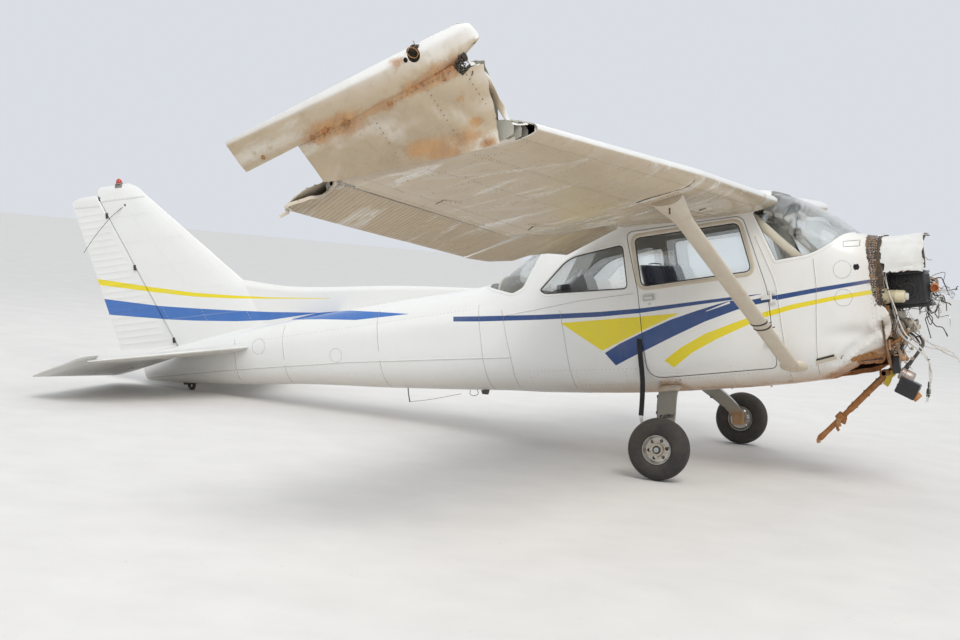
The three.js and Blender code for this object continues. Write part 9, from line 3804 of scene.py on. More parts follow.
        self.shop.make("yellow_tag", ribbon(flag, np.tile((0.5, -0.8, 0.2), (16, 1)), 46, 1.6),
                       [self.paint(Tones.YELLOW)], Slot.CREAM)

    def loom(self) -> None:
        """Build the wires and hoses, by colour."""
        draw = np.random.default_rng(90)
        sheath, dark, bright, hoses = [], [], [], []
        first = [(-2, -384, 1252), (8, -372, 1160), (18, -366, 1082), (40, -352, 985), (60, -346, 905),
                 (78, -336, 787), (100, -334, 642),
                 (152, -330, 566), (233, -330, 487), (284, -330, 411), (284, -330, 319), (266, -330, 214),
                 (240, -330, 131)]
        for k in range(3):
            jitter = draw.normal(0, 7, (len(first), 3)) * (1, 1, 0.6)
            sheath.append(pipe(spline(np.array(first, float) + jitter + (0, -5 * k, 0), 90), 3.2, 7))
        for k, path in enumerate(([(150, -300, 800), (198, -230, 700), (212, -200, 640), (230, -190, 600),
                                   (286, -200, 548), (382, -200, 468), (479, -200, 403)],
                                  [(100, -160, 700), (158, -150, 587), (243, -150, 521), (358, -150, 483),
                                   (440, -150, 459)],
                                  [(20, -240, 800), (60, -250, 690), (58, -230, 547), (90, -220, 435),
                                   (149, -200, 358)])):
            for j in range(2):
                jitter = draw.normal(0, 5, (len(path), 3))
                sheath.append(pipe(spline(np.array(path, float) + jitter + (0, 6 * j, 0), 60),
                                   3.0 + 0.4 * k, 7))
        anchors = np.array([(24, -300, 960), (30, -330, 800), (60, -260, 640), (50, -180, 520),
                            (90, -120, 760), (260, -20, 800), (330, -40, 880),
                            (300, 60, 940), (40, 120, 1100), (40, 60, 700), (30, 200, 860), (40, -60, 480)],
                            float)
        for k in range(54):
            a = anchors[int(draw.integers(0, len(anchors)))] + draw.normal(0, 22, 3)
            steps = draw.normal(0, 44, (6, 3)) * (0.75, 1, 1) + (9, 0, -9)
            walk = np.cumsum(np.vstack([a, steps]), 0)
            walk[:, 0] = np.clip(walk[:, 0], 20, 430)
            walk[:, 2] = np.clip(walk[:, 2], 330, 1180)
            walk[:, 1] = np.clip(walk[:, 1], -395, 300)
            (bright if k % 6 == 0 else dark).append(pipe(spline(walk, 40), float(draw.uniform(1.8, 4.2)),
                                                         6))
        for k in range(20):
            a = np.array((338.0, -20, 905)) + draw.normal(0, 26, 3)
            walk = np.cumsum(np.vstack([a, draw.normal(0, 19, (5, 3)) + (13, -4, -9)]), 0)
            walk[:, 0] = np.clip(walk[:, 0], 20, 500)
            bundle = (sheath, bright, dark)[k % 3]
            bundle.append(pipe(spline(walk, 26), float(draw.uniform(1.8, 4.5)), 6))
        hoses.append(pipe(spline([(36, -334, 1057), (90, -330, 1082), (146, -320, 1097), (216, -316, 1108),
                                  (280, -312, 1116)], 40), 5.5, 10))
        hoses.append(pipe(spline([(30, -120, 1120), (120, -90, 1150), (230, -60, 1110), (300, -40, 1010)],
                                 40), 9, 12))
        hoses.append(pipe(spline([(60, -300, 760), (130, -290, 720), (150, -250, 640), (110, -230, 560),
                                  (60, -210, 480)], 50), 11, 12))
        hoses.append(pipe(spline([(220, -178, 602), (236, -190, 540), (190, -220, 470), (120, -215, 400),
                                  (80, -215, 360)], 50), 12, 12))
        hoses.append(pipe(spline([(40, -60, 660), (140, -30, 620), (200, -60, 520), (150, -120, 430),
                                  (90, -150, 350)], 50), 8, 10))
        for label, parts, tone, slot in (("loom_white", sheath, Tones.SHEATH, Slot.SHEATH),
                                         ("loom_dark", dark, Tones.DARK, Slot.BLACK),
                                         ("loom_bare", bright, Tones.ALLOY, Slot.BRIGHT),
                                         ("hoses", hoses, Tones.BLACK, Slot.BLACK)):
            self.shop.make(label, joined(parts), [self.paint(tone)], slot)
        bits = []
        for k in range(12):
            a = np.array((float(draw.uniform(30, 190)), float(draw.uniform(-380, -120)),
                          float(draw.uniform(420, 760))))
            b = a + draw.normal(0, 16, 3)
            bits.append(turned([(0, 0), (0, 9), (8, 9), (10, 13), (18, 13), (20, 6), (24, 6), (24, 0)], a,
                               b + (b - a) * 0.2, 12))
        self.shop.make("loose_fittings", joined(bits), [self.paint(Tones.CAST)], Slot.DARK,
                       masks={"grime": lambda p: 0.8 + 0 * p[:, 0]})

    def build(self) -> None:
        """Build everything."""
        self.firewall()
        self.cowl()
        self.boxes()
        self.nose_leg()
        self.torn_belly()
        self.loom()


# Cabin


@dataclass(frozen=True)
class Pad:
    """One cushion: a thick quadrilateral seen from the side, with its width.

    Attributes:
        name: Its name.
        node: The CAD node that it stands for.
        corners: x and z of its side outline, along one face and back along the other.
        middle: y of its middle.
        half: Half its width.
        channels: Places of the sewn channels across its width, from -1 to 1.
        ridge: Places of the cross seams along its length, from -1 to 1.
    """

    name: str
    node: str
    corners: tuple[tuple[float, float], ...]
    middle: float
    half: float
    channels: tuple[float, ...]
    ridge: tuple[float, ...] = ()

    def frame(self) -> tuple[np.ndarray, np.ndarray, np.ndarray, float, float]:
        """Return the centre, the unit vectors along and through the pad, and its half sizes."""
        a, b, c, d = (np.array((x, self.middle, z), float) for x, z in self.corners)
        centre = (a + b + c + d) / 4
        along = (b + c) / 2 - (a + d) / 2
        length = np.linalg.norm(along)
        along /= length
        through = (a + b) / 2 - (c + d) / 2
        through -= along * (through @ along)
        thick = np.linalg.norm(through)
        return centre, along, through / thick, length / 2, thick / 2

    def blank(self, shrink: float) -> Solid:
        """Return the cut form before it is stuffed.

        Args:
            shrink: How much smaller it is than its space on every side.

        Returns:
            A closed block with round edges.
        """
        centre, along, through, half_length, half_thick = self.frame()
        rings = []
        for v in np.sin(np.linspace(-1, 1, 30) * math.pi / 2):
            fall = max(1 - abs(v) ** 9, 0.02) ** (1 / 6)
            ring = []
            for k in range(56):
                turn = 2 * math.pi * k / 56
                c, s = math.cos(turn), math.sin(turn)
                u = math.copysign(abs(c) ** 0.32, c) * (0.93 + 0.07 * fall)
                w = math.copysign(abs(s) ** 0.45, s) * fall
                ring.append(centre + along * v * (half_length - shrink)
                            + np.array([0, u * (self.half - shrink), 0])
                            + through * w * (half_thick - shrink))
            rings.append(ring)
        return loft(rings)

    def sewn(self, points: np.ndarray, depth: float) -> np.ndarray:
        """Return the points with the channels and seams pressed in."""
        centre, along, through, half_length, half_thick = self.frame()
        local = points - centre
        u, v, w = local[:, 1] / self.half, (local @ along) / half_length, (local @ through) / half_thick
        face = smoothstep(0.15, 0.6, w)
        inside = smoothstep(0.9, 0.8, np.abs(v)) * smoothstep(0.95, 0.86, np.abs(u))
        press = np.zeros(len(points))
        for at in self.channels:
            press = np.maximum(press, np.exp(-(((u - at) * self.half / 7.0) ** 2)) * inside)
        for at in self.ridge:
            press = np.maximum(press, np.exp(-(((v - at) * half_length / 7.0) ** 2)) * inside)
        wrinkles = 1.6 * np.sin(local[:, 1] / 19 + v * 5) * np.sin(v * 11 + u * 4)
        return points - through * ((press * depth + wrinkles * 0.6) * face)[:, None]

    def piping(self, cap: float) -> Solid:
        """Return the cord sewn round the face."""
        centre, along, through, half_length, half_thick = self.frame()
        line = []
        for k in range(90):
            turn = 2 * math.pi * k / 90
            c, s = math.cos(turn), math.sin(turn)
            u, v = math.copysign(abs(c) ** 0.36, c), math.copysign(abs(s) ** 0.36, s)
            line.append(centre + np.array([0, u * (self.half - cap), 0]) + along * v * (half_length - cap)
                        + through * (half_thick * 0.52))
        line.append(line[0])
        return pipe(np.array(line), 4.2, 8)


@dataclass
class Cabin:
    """Floor, panel, seats and what lies in the cabin."""

    shop: Workshop
    palette: Palette
    rivets: Rivets
    pads: tuple[Pad, ...] = (
        Pad("front_cushion_right_pad", "front_cushion_right",
            ((-1080, 700), (-1540, 700), (-1540, 590), (-1080, 590)), -262, 222,
            (-0.42, 0.42), (-0.2,)),
        Pad("front_back_right_pad", "front_back_right", ((-1500, 706), (-1650, 1330), (-1727, 1330),
                                                         (-1610, 706)), -262, 222,
            (-0.42, 0.42), (0.45,)),
        Pad("rear_cushion_pad", "rear_seat_cushion", ((-1960, 720), (-2330, 720), (-2330, 610),
                                                      (-1960, 610)), 0, 455,
            (-0.66, -0.33, 0.0, 0.33, 0.66)),
        Pad("rear_back_pad", "rear_seat_back", ((-2295, 728), (-2385, 1215), (-2455, 1215), (-2395, 728)),
            0, 430,
            (-0.66, -0.33, 0.0, 0.33, 0.66)),
    )
    soft: dict[str, bpy.types.Object] = field(default_factory=dict)

    # Stuffing: how far the cut form is drawn in and a point may move, the channels' depth in millimetres,
    # the pressure, and the steps of the simulation
    INSET = 13.0
    MOST = 12.0
    CHANNEL = 8.0
    PRESSURE = 4.0
    STEPS = 20

    # The white sheet: its cut size in metres, steps down and across, and half its thickness in millimetres
    SHEET = (0.84, 0.9)
    SHEET_STEPS = (60, 56)
    SHEET_HALF = 0.5
    # What it falls on, in millimetres: the seat back's front and rear at the top, its top, its lean, and
    # the cushion
    BACK_FRONT = -2250.0
    BACK_REAR = -2446.0
    BACK_TOP = 1238.0
    BACK_LEAN = 0.185
    BACK_HALF = 436
    CUSHION_TOP = 738
    # The fall: its steps, pull and drag in each, and how often the edges' lengths are set right
    FALL_STEPS = 240
    PULL = 0.35
    DRAG = 0.97
    RELAXED = 10

    def paint(self, tone: Tones) -> bpy.types.Material:
        """Return a finish."""
        return self.palette.tone(tone.value)

    def stuff(self, pad: Pad, voxel: float, cap: float) -> Solid:
        """Return a pad blown up by a cloth simulation.

        Args:
            pad: The pad.
            voxel: Size of the remeshed faces, in millimetres.
            cap: How far a point may move, in millimetres.

        Returns:
            The stuffed form.
        """
        place = self.shop.place
        start = pad.blank(self.INSET)
        form = Solid(place.row(start.verts), start.faces, start.kinds)
        obj = bpy.data.objects.new("stuffing", to_mesh("stuffing", form))
        bpy.context.scene.collection.objects.link(obj)
        remesh = obj.modifiers.new("even", "REMESH")
        remesh.mode = "VOXEL"
        remesh.voxel_size = voxel * MM
        self.shop.bake(obj)
        cloth = obj.modifiers.new("cloth", "CLOTH")
        settings = cloth.settings
        settings.quality = 4
        settings.mass = 0.3
        settings.tension_stiffness = 15
        settings.compression_stiffness = 15
        settings.bending_stiffness = 0.6
        settings.use_pressure = True
        settings.uniform_pressure_force = self.PRESSURE
        settings.effector_weights.gravity = 0.0
        cloth.point_cache.frame_start = 1
        cloth.point_cache.frame_end = self.STEPS
        before = np.array([v.co for v in obj.data.vertices])
        for frame in range(1, self.STEPS + 1):
            bpy.context.scene.frame_set(frame)
        self.shop.bake(obj)
        after = np.array([v.co for v in obj.data.vertices])
        bpy.context.scene.frame_set(1)
        move = after - before
        reach = np.linalg.norm(move, axis=1)
        scale = np.minimum(1.0, cap * MM / np.maximum(reach, 1e-9))
        after = before + move * scale[:, None]
        obj.data.vertices.foreach_set("co", after.ravel())
        smooth = obj.modifiers.new("smooth", "SUBSURF")
        smooth.levels = smooth.render_levels = 1
        self.shop.bake(obj)
        solid = from_mesh(obj.data)
        return Solid(place.back(solid.verts), solid.faces, [0] * len(solid.faces))

    def seats(self) -> None:
        """Build the stuffed seats and their piping."""
        blue = self.palette.cloth("seat_cloth", (0.035, 0.05, 0.15), (0.01, 0.014, 0.05), 700.0, 0.3)
        for pad in self.pads:
            wide = pad.half > 300
            solid = self.stuff(pad, 18.0 if wide else 13.5, self.MOST)
            solid = solid.bent(lambda v, pad=pad: pad.sewn(v, self.CHANNEL))
            piping = pad.piping(12.0)
            copies = [(pad.name, pad.node, solid, piping)]
            if not wide:
                copies.append((pad.name.replace("right", "left"), pad.node.replace("right", "left"),
                               solid.mirrored(), piping.mirrored()))
            for name, node, body, cord in copies:
                obj = self.shop.make(name, body, [blue], Slot.FABRIC, replaces=(node,), smooth=60)
                self.soft[name] = obj
                thread = self.palette.cloth("seat_piping", (0.06, 0.06, 0.08), (0.02, 0.02, 0.03), 900.0)
                self.shop.make(f"{name}_piping", cord, [thread], Slot.FABRIC)

    def seat_frames(self) -> None:
        """Build the tubes, rails and handles under and behind the seats."""
        tubes, rails, knobs = [], [], []
        for middle in (-262, 262):
            for off in (-148, 148):
                y = middle + off
                tubes.append(pipe(spline([(-1120, y, 478), (-1125, y, 540), (-1150, y, 574),
                                          (-1500, y, 578), (-1560, y, 562), (-1565, y, 478)], 40), 8.5, 12))
                tubes.append(pipe(spline([(-1545, y, 572), (-1600, y, 620), (-1640, y, 740),
                                          (-1655, y, 800)], 24), 8.5, 12))
                rails.append(NoseBay.box((-1780, y - 12, 463), (-980, y + 12, 470), 3, "x"))
                rails.append(NoseBay.box((-1780, y - 4, 470), (-980, y + 4, 477), 2, "x"))
                for x in (-1122, -1562):
                    knobs.append(turned([(0, 17), (9, 17), (9, 9), (12, 9)], (x, y - 7, 480),
                                        (x, y + 7, 480), 16))
            for x in (-1160, -1480):
                tubes.append(rod((x, middle - 148, 576), (x, middle + 148, 576), 8, 12))
            knobs.append(pipe(spline([(-1110, middle - 60, 560), (-1080, middle - 60, 556),
                                      (-1070, middle + 10, 556), (-1080, middle + 60, 556)], 16), 5, 8))
        self.shop.make("seat_frames", joined(tubes), [self.paint(Tones.GREY)], Slot.GREY)
        self.shop.make("seat_rails", joined(rails), [self.paint(Tones.ALLOY)], Slot.BRIGHT)
        self.shop.make("seat_rollers", joined(knobs), [self.paint(Tones.DARK)], Slot.DARK)
        back = []
        for middle in (-262, 262):
            ring = []
            for z, half, x in ((720, 200, -1618), (900, 208, -1652), (1150, 204, -1698), (1300, 186, -1722),
                               (1318, 170, -1724)):
                ring.append([(x - 7, middle - half, z), (x - 7, middle + half, z),
                             (x - 2, middle + half, z), (x - 2, middle - half, z)])
            back.append(loft(ring))
        self.shop.make("seat_back_shells", joined(back), [self.paint(Tones.TRIM)], Slot.GREY, bevel=1.5)

    def floor(self) -> None:
        """Build the carpet with its tunnel, and the bulkhead."""
        xs = np.linspace(-2886, -40, 70)
        angles = np.linspace(0, 2 * math.pi, 240, endpoint=False)
        top, low = [], []
        for x in xs:
            ring = HULL.surface(np.array([x]), angles, 9.5, False)[0]
            near = ring[np.argsort(np.abs(ring[:, 2] - 462))[:8]]
            margin = 24 + 50 * smoothstep(-640, -470, np.array(x))
            half = max(float(np.abs(near[:, 1]).max()) - float(margin), 60)
            ys = np.linspace(-half, half, 34)
            ruffle = 1.2 * np.sin(x / 37 + ys / 29) + 0.8 * np.sin(x / 13 - ys / 41)
            hump = 36 * smoothstep(64, 40, np.abs(ys)) * smoothstep(-1000, -900, x)
            top.append(np.stack([np.full(34, x), ys, 462 + ruffle * smoothstep(half, half - 40, np.abs(ys))
                                 + hump], 1))
            low.append(np.stack([np.full(34, x), ys[::-1], np.full(34, 456.0)], 1))
        carpet = loft([np.vstack([a, b]) for a, b in zip(top, low)])
        self.shop.make("floor_carpet", carpet, [self.palette.cloth("carpet", (0.09, 0.095, 0.12),
                                                                   (0.03, 0.032, 0.045), 400.0)], Slot.GREY,
                       replaces=("cabin_floor",))
        ring = HULL.surface(np.array([-2902.0]), angles, 9.5, False)[0]
        middle = np.array([0, 0, 0.5 * (ring[:, 2].max() + ring[:, 2].min())])
        rings = []
        for scale, x in ((1.0, -2919.0), (1.0, -2905.0), (0.97, -2902.0), (0.8, -2900.5), (0.78, -2903.5),
                         (0.4, -2903), (0.38, -2900.5), (0.02, -2900.5)):
            here = middle + (ring - middle) * (1, scale, scale)
            here[:, 0] = x
            rings.append(here)
        self.shop.make("baggage_wall", loft(rings), [self.paint(Tones.LINER)], Slot.GREY,
                       replaces=("baggage_bulkhead",))

    def panel(self) -> None:
        """Build the instrument board with its dials, the shade and the control wheels."""
        outline = [(-500, 905), (500, 905), (515, 1010), (490, 1170), (430, 1236), (-430, 1236),
                   (-490, 1170), (-515, 1010)]
        half = [abs(HULL.side_point(-460.0, z, LEFT)[1]) - 12 for _, z in outline]
        outline = [(math.copysign(min(abs(y), h), y), z) for (y, z), h in zip(outline, half)]
        corners = [(y, z, 26) for y, z in outline]
        board = prism(rounded(corners, 5), -470, -448, "x")
        self.shop.make("panel_board", board, [self.paint(Tones.TRIM)], Slot.GREY,
                       replaces=("instrument_panel",), bevel=2.0)
        shade_rings = []
        for x, drop in ((-330, 0), (-380, 1.5), (-440, 2), (-476, -2), (-486, -12), (-482, -17),
                        (-470, -13), (-400, -11), (-330, -12)):
            line = []
            for y in np.linspace(-1, 1, 33):
                reach = min(440.0, half[4])
                line.append((x, y * reach, 1234 + drop - 26 * abs(y) ** 4))
            shade_rings.append(np.array(line))
        grid = np.array(shade_rings).transpose(1, 0, 2)
        self.shop.make("panel_shade", loft(grid), [self.paint(Tones.BLACK)], Slot.BLACK)
        dials, marks, bright, black = [], [], [], []
        for row, z in enumerate((1150, 1062)):
            for y in (346, 258, 170):
                self.dial(dials, marks, bright, (-470.0, y, z), 38, 12 * row + y)
        for y, z, size in ((84, 1160, 26), (84, 1096, 26), (-330, 1160, 30), (-250, 1160, 30),
                           (-330, 1085, 26), (-250, 1085, 26)):
            self.dial(dials, marks, bright, (-470.0, y, z), size, y)
        for k, tall in enumerate((40, 40, 46, 34)):
            z = 1175 - 50 * k
            black.append(NoseBay.box((-478, -170, z - tall / 2), (-469, 10, z + tall / 2 - 3), 3, "x"))
            for y in (-154, -6):
                black.append(turned([(0, 9), (9, 9), (11, 7), (11, 0)], (-478, y, z - 4), (-492, y, z - 4),
                                    18))
            marks.append(NoseBay.box((-479, -126, z - 7), (-478, -52, z + 6), 1, "x"))
        for k in range(9):
            black.append(NoseBay.box((-480, 330 - 24 * k, 932), (-469, 342 - 24 * k, 950), 2, "x"))
        for y, tone_depth in ((-40, 46), (-80, 38), (-118, 30)):
            black.append(turned([(0, 4), (tone_depth, 4), (tone_depth, 16), (tone_depth + 10, 18),
                                 (tone_depth + 16, 12), (tone_depth + 16, 0)],
                                (-470, y, 950), (-560, y, 950), 22))
        self.shop.make("dial_faces", joined(dials), [self.paint(Tones.DIAL)], Slot.BLACK)
        self.shop.make("dial_marks", joined(marks), [self.paint(Tones.MARK)], Slot.WHITE)
        self.shop.make("dial_rims", joined(bright), [self.paint(Tones.DARK)], Slot.BLACK)
        self.shop.make("panel_controls", joined(black), [self.paint(Tones.BLACK)], Slot.BLACK, bevel=0.6)
        wheels, shafts = [], []
        for y in (-262, 262):
            shafts.append(rod((-468, y, 1084), (-690, y, 1075), 12, 18))
            shafts.append(turned([(0, 26), (6, 30), (14, 26), (14, 0)], (-470, y, 1084), (-486, y, 1083),
                                 24))
            rim = [(-698, y + 126 * math.sin(a), 1125 - 88 * math.cos(a))
                   for a in np.linspace(-2.35, 2.35, 50)]
            wheels.append(pipe(np.array(rim), np.interp(np.arange(50), (0, 8, 41, 49),
                                                        (14, 10.5, 10.5, 14)), 14))
            wheels.append(turned([(0, 26), (4, 32), (24, 34), (34, 28), (36, 0)], (-676, y, 1076),
                                 (-714, y, 1075), 28))
            wheels.append(pipe(spline([(-697, y - 112, 1086), (-694, y - 60, 1072), (-694, y, 1070),
                                       (-694, y + 60, 1072), (-697, y + 112, 1086)], 24), 10, 10, 1.4))
        self.shop.make("control_wheels", joined(wheels), [self.paint(Tones.BLACK)], Slot.BLACK)
        self.shop.make("control_shafts", joined(shafts), [self.paint(Tones.ALLOY)], Slot.BRIGHT)
        pedals = []
        for y in (-330, -200, 200, 330):
            pedals.append(NoseBay.box((-322, y - 34, 520), (-312, y + 34, 640), 8, "x"))
            pedals.append(rod((-300, y, 470), (-316, y, 640), 7, 10))
        self.shop.make("rudder_pedals", joined(pedals), [self.paint(Tones.ALLOY)], Slot.BRIGHT, bevel=1.0)

    @staticmethod
    def dial(faces: list[Solid], marks: list[Solid], rims: list[Solid], at: Point, size: float,
             turn: float) -> None:
        """Add one instrument to lists of faces, marks and rims."""
        x, y, z = at
        faces.append(turned([(0, size), (3, size), (3.2, 0)], (x, y, z), (x - 4, y, z), 28))
        rims.append(revolved_x([(size - 1, 0), (size + 4, 0), (size + 4, 6), (size, 8), (size - 2, 5)],
                               (x, y, z), 28))
        for k in range(10):
            a = 2 * math.pi * k / 10
            inner, outer = size * 0.76, size * 0.9
            c, s = math.cos(a), math.sin(a)
            marks.append(ribbon(np.array([(x - 3.4, y + inner * c, z + inner * s),
                                          (x - 3.4, y + outer * c, z + outer * s)]),
                                np.tile((-1.0, 0, 0), (2, 1)), 1.8, 0.6))
        c, s = math.cos(turn), math.sin(turn)
        marks.append(ribbon(np.array([(x - 4, y - 6 * c, z - 6 * s),
                                      (x - 4, y + size * 0.66 * c, z + size * 0.66 * s)]),
                            np.tile((-1.0, 0, 0), (2, 1)), 2.4, 0.8))

    def pillars(self) -> None:
        """Build the liners behind the windshield, the vents, the compass and mirror, and the lap belts."""
        beige, white, dark = [], [], []
        for side in (RIGHT, LEFT):
            path = []
            for x, z in ((-520, 1236), (-600, 1320), (-700, 1430), (-800, 1540), (-860, 1600)):
                path.append(HULL.side_point(x, z, side, 26))
            line = spline(path, 30)
            beige.append(ribbon(line, np.tile((0.2, float(side), 0.2), (30, 1)), 62, 9))
            vent = HULL.side_point(-760, 1560, side, 40) + (0, -side * 18, 0)
            white.append(turned([(0, 32), (6, 36), (18, 36), (22, 30), (22, 24), (16, 20), (16, 0)], vent,
                                vent + (40, side * 10, -22), 28))
        for y in (-190, 190):
            beige.append(NoseBay.box((-1040, y - 150, 1598), (-780, y + 150, 1606), 20, "y"))
        dark.append(NoseBay.box((-600, -50, 1540), (-588, 50, 1572), 8, "x"))
        dark.append(rod((-592, 0, 1568), (-610, 0, 1612), 5, 10))
        dark.append(NoseBay.box((-640, -34, 1420), (-590, 34, 1478), 12, "y"))
        dark.append(rod((-615, 0, 1478), (-615, 0, 1600), 4, 8))
        self.shop.make("windshield_liners", joined(beige), [self.paint(Tones.BEIGE)], Slot.GREY)
        self.shop.make("cabin_vents", joined(white), [self.paint(Tones.SKYBLUE)], Slot.WHITE)
        self.shop.make("compass_and_mirror", joined(dark), [self.paint(Tones.BLACK)], Slot.BLACK, bevel=1.0)
        straps = []
        for middle in (-262, 262):
            for off, lean in ((-150, 1), (150, -1)):
                path = spline([(-1590, middle + off, 600), (-1545, middle + off * 0.98, 700),
                               (-1470, middle + off * 0.8, 716),
                               (-1380, middle + off * 0.62, 712),
                               (-1300, middle + off * 0.7 + 20 * lean, 712),
                               (-1250, middle + off * 0.9, 710)], 30)
                path[:, 2] += 3
                straps.append(ribbon(path, np.tile((0, 0, 1.0), (30, 1)), 46, 1.8))
        webbing = self.palette.cloth("belt_webbing", (0.03, 0.03, 0.033), (0.008, 0.008, 0.009), 900.0, 0.1)
        self.shop.make("lap_belts", joined(straps), [webbing], Slot.WEBBING)

    def white_cloth(self) -> None:
        """Lay the crumpled white sheet over the rear seat's back."""
        wide, long = self.SHEET
        down, across = self.SHEET_STEPS
        verts, faces = [], []
        for i in range(down + 1):
            for j in range(across + 1):
                t = i / down
                y = -420 + wide * 1000 * j / across
                run = (t - 0.5) * long * 1000
                verts.append((-2418 + run, y, 1268 + 5 * math.sin(j * 0.9) + 4 * math.sin(i * 0.7)))
        for i in range(down):
            for j in range(across):
                a = i * (across + 1) + j
                faces.append((a, a + 1, a + across + 2, a + across + 1))
        points = self.draped(np.array(verts), down, across)
        grid = points.reshape(down + 1, across + 1, 3)
        normal = np.cross(np.gradient(grid, axis=0), np.gradient(grid, axis=1))
        normal /= np.maximum(np.linalg.norm(normal, axis=2), 1e-9)[..., None]
        thick = normal.reshape(-1, 3) * self.SHEET_HALF
        count = len(points)
        rim = [j for j in range(across + 1)]
        rim += [i * (across + 1) + across for i in range(1, down + 1)]
        rim += [down * (across + 1) + j for j in range(across - 1, -1, -1)]
        rim += [i * (across + 1) for i in range(down - 1, 0, -1)]
        everything = [tuple(f) for f in faces] + [tuple(k + count for k in f[::-1]) for f in faces]
        for k, a in enumerate(rim):
            b = rim[(k + 1) % len(rim)]
            everything.append((b, a, a + count, b + count))
        solid = Solid(np.vstack([points + thick, points - thick]), everything,
                      [0] * len(everything)).outward()
        cloth = self.palette.cloth("white_cloth", (0.86, 0.87, 0.88), (0.7, 0.71, 0.73), 600.0, 0.2)
        obj = self.shop.make("white_sheet", solid, [cloth], Slot.FABRIC, smooth=60)

    @staticmethod
    def bunched(x: np.ndarray, y: np.ndarray) -> np.ndarray:
        """Return how high the bunched cloth stands over the seat back."""
        rise = 132 * np.exp(-(((x + 2325) / 84) ** 2) - ((y - 50) / 104) ** 2)
        rise += 84 * np.exp(-(((x + 2318) / 70) ** 2) - ((y - 230) / 96) ** 2)
        return rise + 66 * np.exp(-(((x + 2345) / 70) ** 2) - ((y + 150) / 90) ** 2)

    def draped(self, start: np.ndarray, down: int, across: int) -> np.ndarray:
        """Return a grid of points hung over the seat back, relaxed so that no edge stretches.

        Args:
            start: The flat sheet's points.
            down: Steps across the back's top.
            across: Steps along it.

        Returns:
            The relaxed points.
        """
        points = start.copy()
        shape = (down + 1, across + 1, 3)
        grid = points.reshape(shape)
        rest = (900.0 / down, 840.0 / across)
        speed = np.zeros(shape)
        draw = np.random.default_rng(19)
        speed[..., 1] += draw.normal(0, 0.6, shape[:2])
        front, back = self.BACK_FRONT, self.BACK_REAR
        for step in range(self.FALL_STEPS):
            speed[..., 2] -= self.PULL
            speed *= self.DRAG
            old = grid.copy()
            grid = grid + speed
            if step < 80:
                grid[..., 1] = grid[..., 1] * 0.9996
            for _ in range(self.RELAXED):
                for axis, length in ((0, rest[0]), (1, rest[1])):
                    a = grid[:-1] if axis == 0 else grid[:, :-1]
                    b = grid[1:] if axis == 0 else grid[:, 1:]
                    gap = b - a
                    size = np.maximum(np.linalg.norm(gap, axis=2), 1e-9)[..., None]
                    fix = gap / size * (size - length) * 0.25
                    if axis == 0:
                        grid[:-1] += fix
                        grid[1:] -= fix
                    else:
                        grid[:, :-1] += fix
                        grid[:, 1:] -= fix
                x, z = grid[..., 0], grid[..., 2]
                top = self.BACK_TOP + self.bunched(x, grid[..., 1])
                lean = (top - z) * self.BACK_LEAN
                face = front - (1215 - 728) * self.BACK_LEAN + lean
                inside = (z < top) & (x < face) & (x > back) & (np.abs(grid[..., 1]) < self.BACK_HALF)
                to_top = top - z
                to_front = face - x
                to_back = x - back
                nearest = np.minimum(np.minimum(to_top, to_front), to_back)
                grid[..., 2] = np.where(inside & (nearest == to_top), top, z)
                grid[..., 0] = np.where(inside & (nearest == to_front), face,
                                        np.where(inside & (nearest == to_back), back, x))
                seat = (grid[..., 0] > back) & (grid[..., 2] < self.CUSHION_TOP)
                grid[..., 2] = np.where(seat, self.CUSHION_TOP, grid[..., 2])
            speed = (grid - old) * 0.9
        return grid.reshape(-1, 3)

    def build(self) -> None:
        """Build everything."""
        self.floor()
        self.panel()
        self.seats()
        self.seat_frames()
        self.pillars()
        self.white_cloth()


def revolved_x(profile: Sequence[tuple[float, float]], centre: Point, sides: int) -> Solid:
    """Return a closed outline turned round a line along x, with its shift running backwards."""
    ring = revolved(profile, (0, 0, 0), sides)
    verts = np.stack([centre[0] - ring.verts[:, 1], centre[1] + ring.verts[:, 0],
                      centre[2] + ring.verts[:, 2]], 1)
    return Solid(verts, ring.faces, ring.kinds).outward()


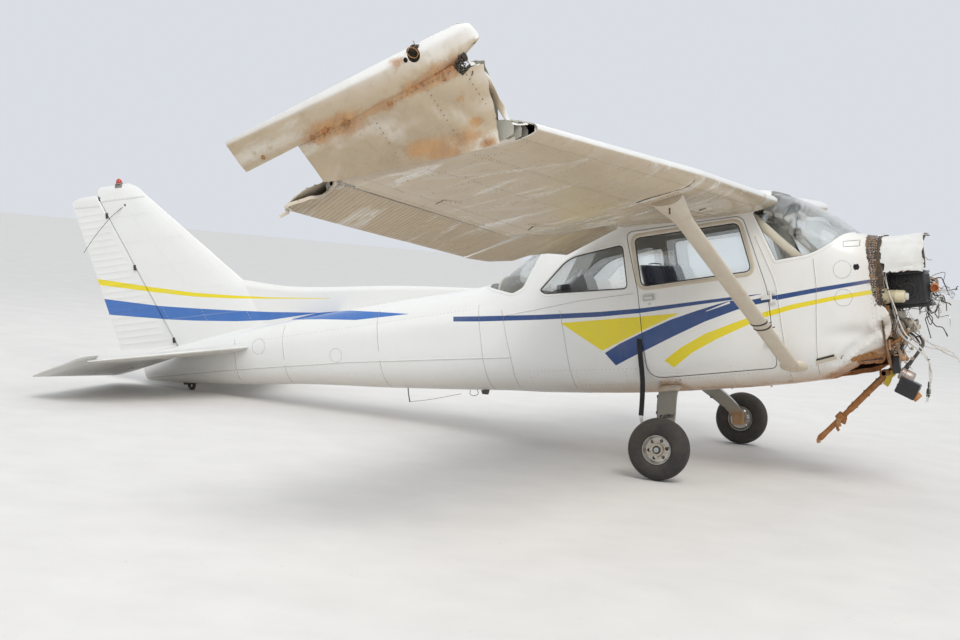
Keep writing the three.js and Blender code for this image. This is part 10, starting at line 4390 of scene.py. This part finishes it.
class Studio:
    """The floor, the light and the camera at the photograph's place."""

    # From the main axle, in metres; yaw, pitch and roll in radians; sensor and lens in millimetres
    CAMERA_PLACE = (2.8575, -11.6933, 1.6934)
    CAMERA_TURN = (0.3893, 0.0635, 0.0823)
    SENSOR = 36.0
    LENS = 58.25
    FAR_END = 200.0
    FLOOR_HALF = 60.0
    FLOOR_DROP = 0.002
    SKY = 0.78
    # Name, place from the middle of the aircraft, diameter in metres, watts and colour
    LAMPS = (
        ("key", (5.5, -7.5, 9.5), 5.0, 380.0, (1.0, 0.97, 0.92)),
        ("fill", (-8.0, -9.0, 5.0), 7.0, 130.0, (0.92, 0.96, 1.0)),
        ("back", (-4.0, 9.0, 7.0), 6.0, 200.0, (1.0, 0.98, 0.95)),
    )
    # The broad light of the sky: strength, spread in radians, turn in degrees
    SUN_POWER = 1.15
    SUN_SPREAD = 0.6
    SUN_TURN = (28, 14, 20)

    def __init__(self, place: Placement, palette: Palette) -> None:
        """Keep the tools."""
        self.place = place
        self.palette = palette

    def floor(self) -> None:
        """Lay a wide flat floor, pale and just under the tyres."""
        mesh = bpy.data.meshes.new("floor")
        size, low = self.FLOOR_HALF, -self.FLOOR_DROP
        corners = [(-size, -size, low), (size, -size, low), (size, size, low), (-size, size, low)]
        mesh.from_pydata(corners, [], [(0, 1, 2, 3)])
        mesh.materials.append(self.palette.tone(Tones.FLOOR.value))
        floor = bpy.data.objects.new("floor", mesh)
        bpy.context.scene.collection.objects.link(floor)

    def light(self) -> None:
        """Set a large key light, a softer fill and a pale sky."""
        world = bpy.data.worlds.new("studio")
        bpy.context.scene.world = world
        world.use_nodes = True
        background = world.node_tree.nodes["Background"]
        background.inputs["Color"].default_value = (0.9, 0.94, 1.0, 1.0)
        background.inputs["Strength"].default_value = self.SKY
        middle = Vector((self.place.shift[0] - 2.6, self.place.shift[1] - 1.0, 0.9))
        for name, offset, size, power, color in self.LAMPS:
            lamp = bpy.data.lights.new(name, "AREA")
            lamp.shape = "DISK"
            lamp.size = size
            lamp.energy = power
            lamp.color = color
            obj = bpy.data.objects.new(name, lamp)
            obj.location = middle + Vector(offset)
            obj.rotation_euler = (-Vector(offset)).to_track_quat("-Z", "Y").to_euler()
            bpy.context.scene.collection.objects.link(obj)
        lamp = bpy.data.lights.new("sky light", "SUN")
        lamp.energy = self.SUN_POWER
        lamp.angle = self.SUN_SPREAD
        lamp.color = (1.0, 0.98, 0.95)
        sun = bpy.data.objects.new("sky light", lamp)
        sun.rotation_euler = [math.radians(turn) for turn in self.SUN_TURN]
        bpy.context.scene.collection.objects.link(sun)

    def camera(self) -> None:
        """Place the camera as it was solved from the photograph."""
        axle = Vector((self.place.cos * Placement.AXLE_X * MM + self.place.shift[0], self.place.shift[1],
                       0.0))
        yaw, pitch, roll = self.CAMERA_TURN
        ahead = Vector((-math.sin(yaw) * math.cos(pitch), math.cos(yaw) * math.cos(pitch),
                        -math.sin(pitch)))
        right = Vector((math.cos(yaw), math.sin(yaw), 0.0))
        up = right.cross(ahead)
        turned_right = right * math.cos(roll) + up * math.sin(roll)
        turned_up = up * math.cos(roll) - right * math.sin(roll)
        data = bpy.data.cameras.new("camera")
        data.sensor_width = self.SENSOR
        data.lens = self.LENS
        data.clip_end = self.FAR_END
        obj = bpy.data.objects.new("camera", data)
        columns = (turned_right, turned_up, -ahead)
        turn = Matrix([[column[k] for column in columns] for k in range(3)])
        obj.matrix_world = Matrix.Translation(axle + Vector(self.CAMERA_PLACE)) @ turn.to_4x4()
        bpy.context.scene.collection.objects.link(obj)
        bpy.context.scene.camera = obj

    def build(self) -> None:
        """Build everything."""
        self.camera()
        self.floor()
        self.light()
        bpy.context.scene.view_settings.view_transform = "Standard"
        bpy.context.scene.view_settings.look = "None"


PARTS: tuple[type, ...] = (FuselageSkins, RightWing, LeftStub, Struts, Tail, Undercarriage, NoseBay, Cabin)


def main() -> None:
    """Load the frame and dress it."""
    logging.basicConfig(level=logging.INFO, format="%(name)s: %(message)s")
    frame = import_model()
    place = Placement.from_joints(frame["joints"])
    shop = Workshop(frame, place)
    palette = Palette(place)
    rivets = Rivets(shop, palette)
    Studio(place, palette).build()
    LooseEnds(shop, palette).build()
    for part in PARTS:
        part(shop, palette, rivets).build()
    LOG.info("%d pieces", shop.count)


if __name__ == "__main__":
    main()
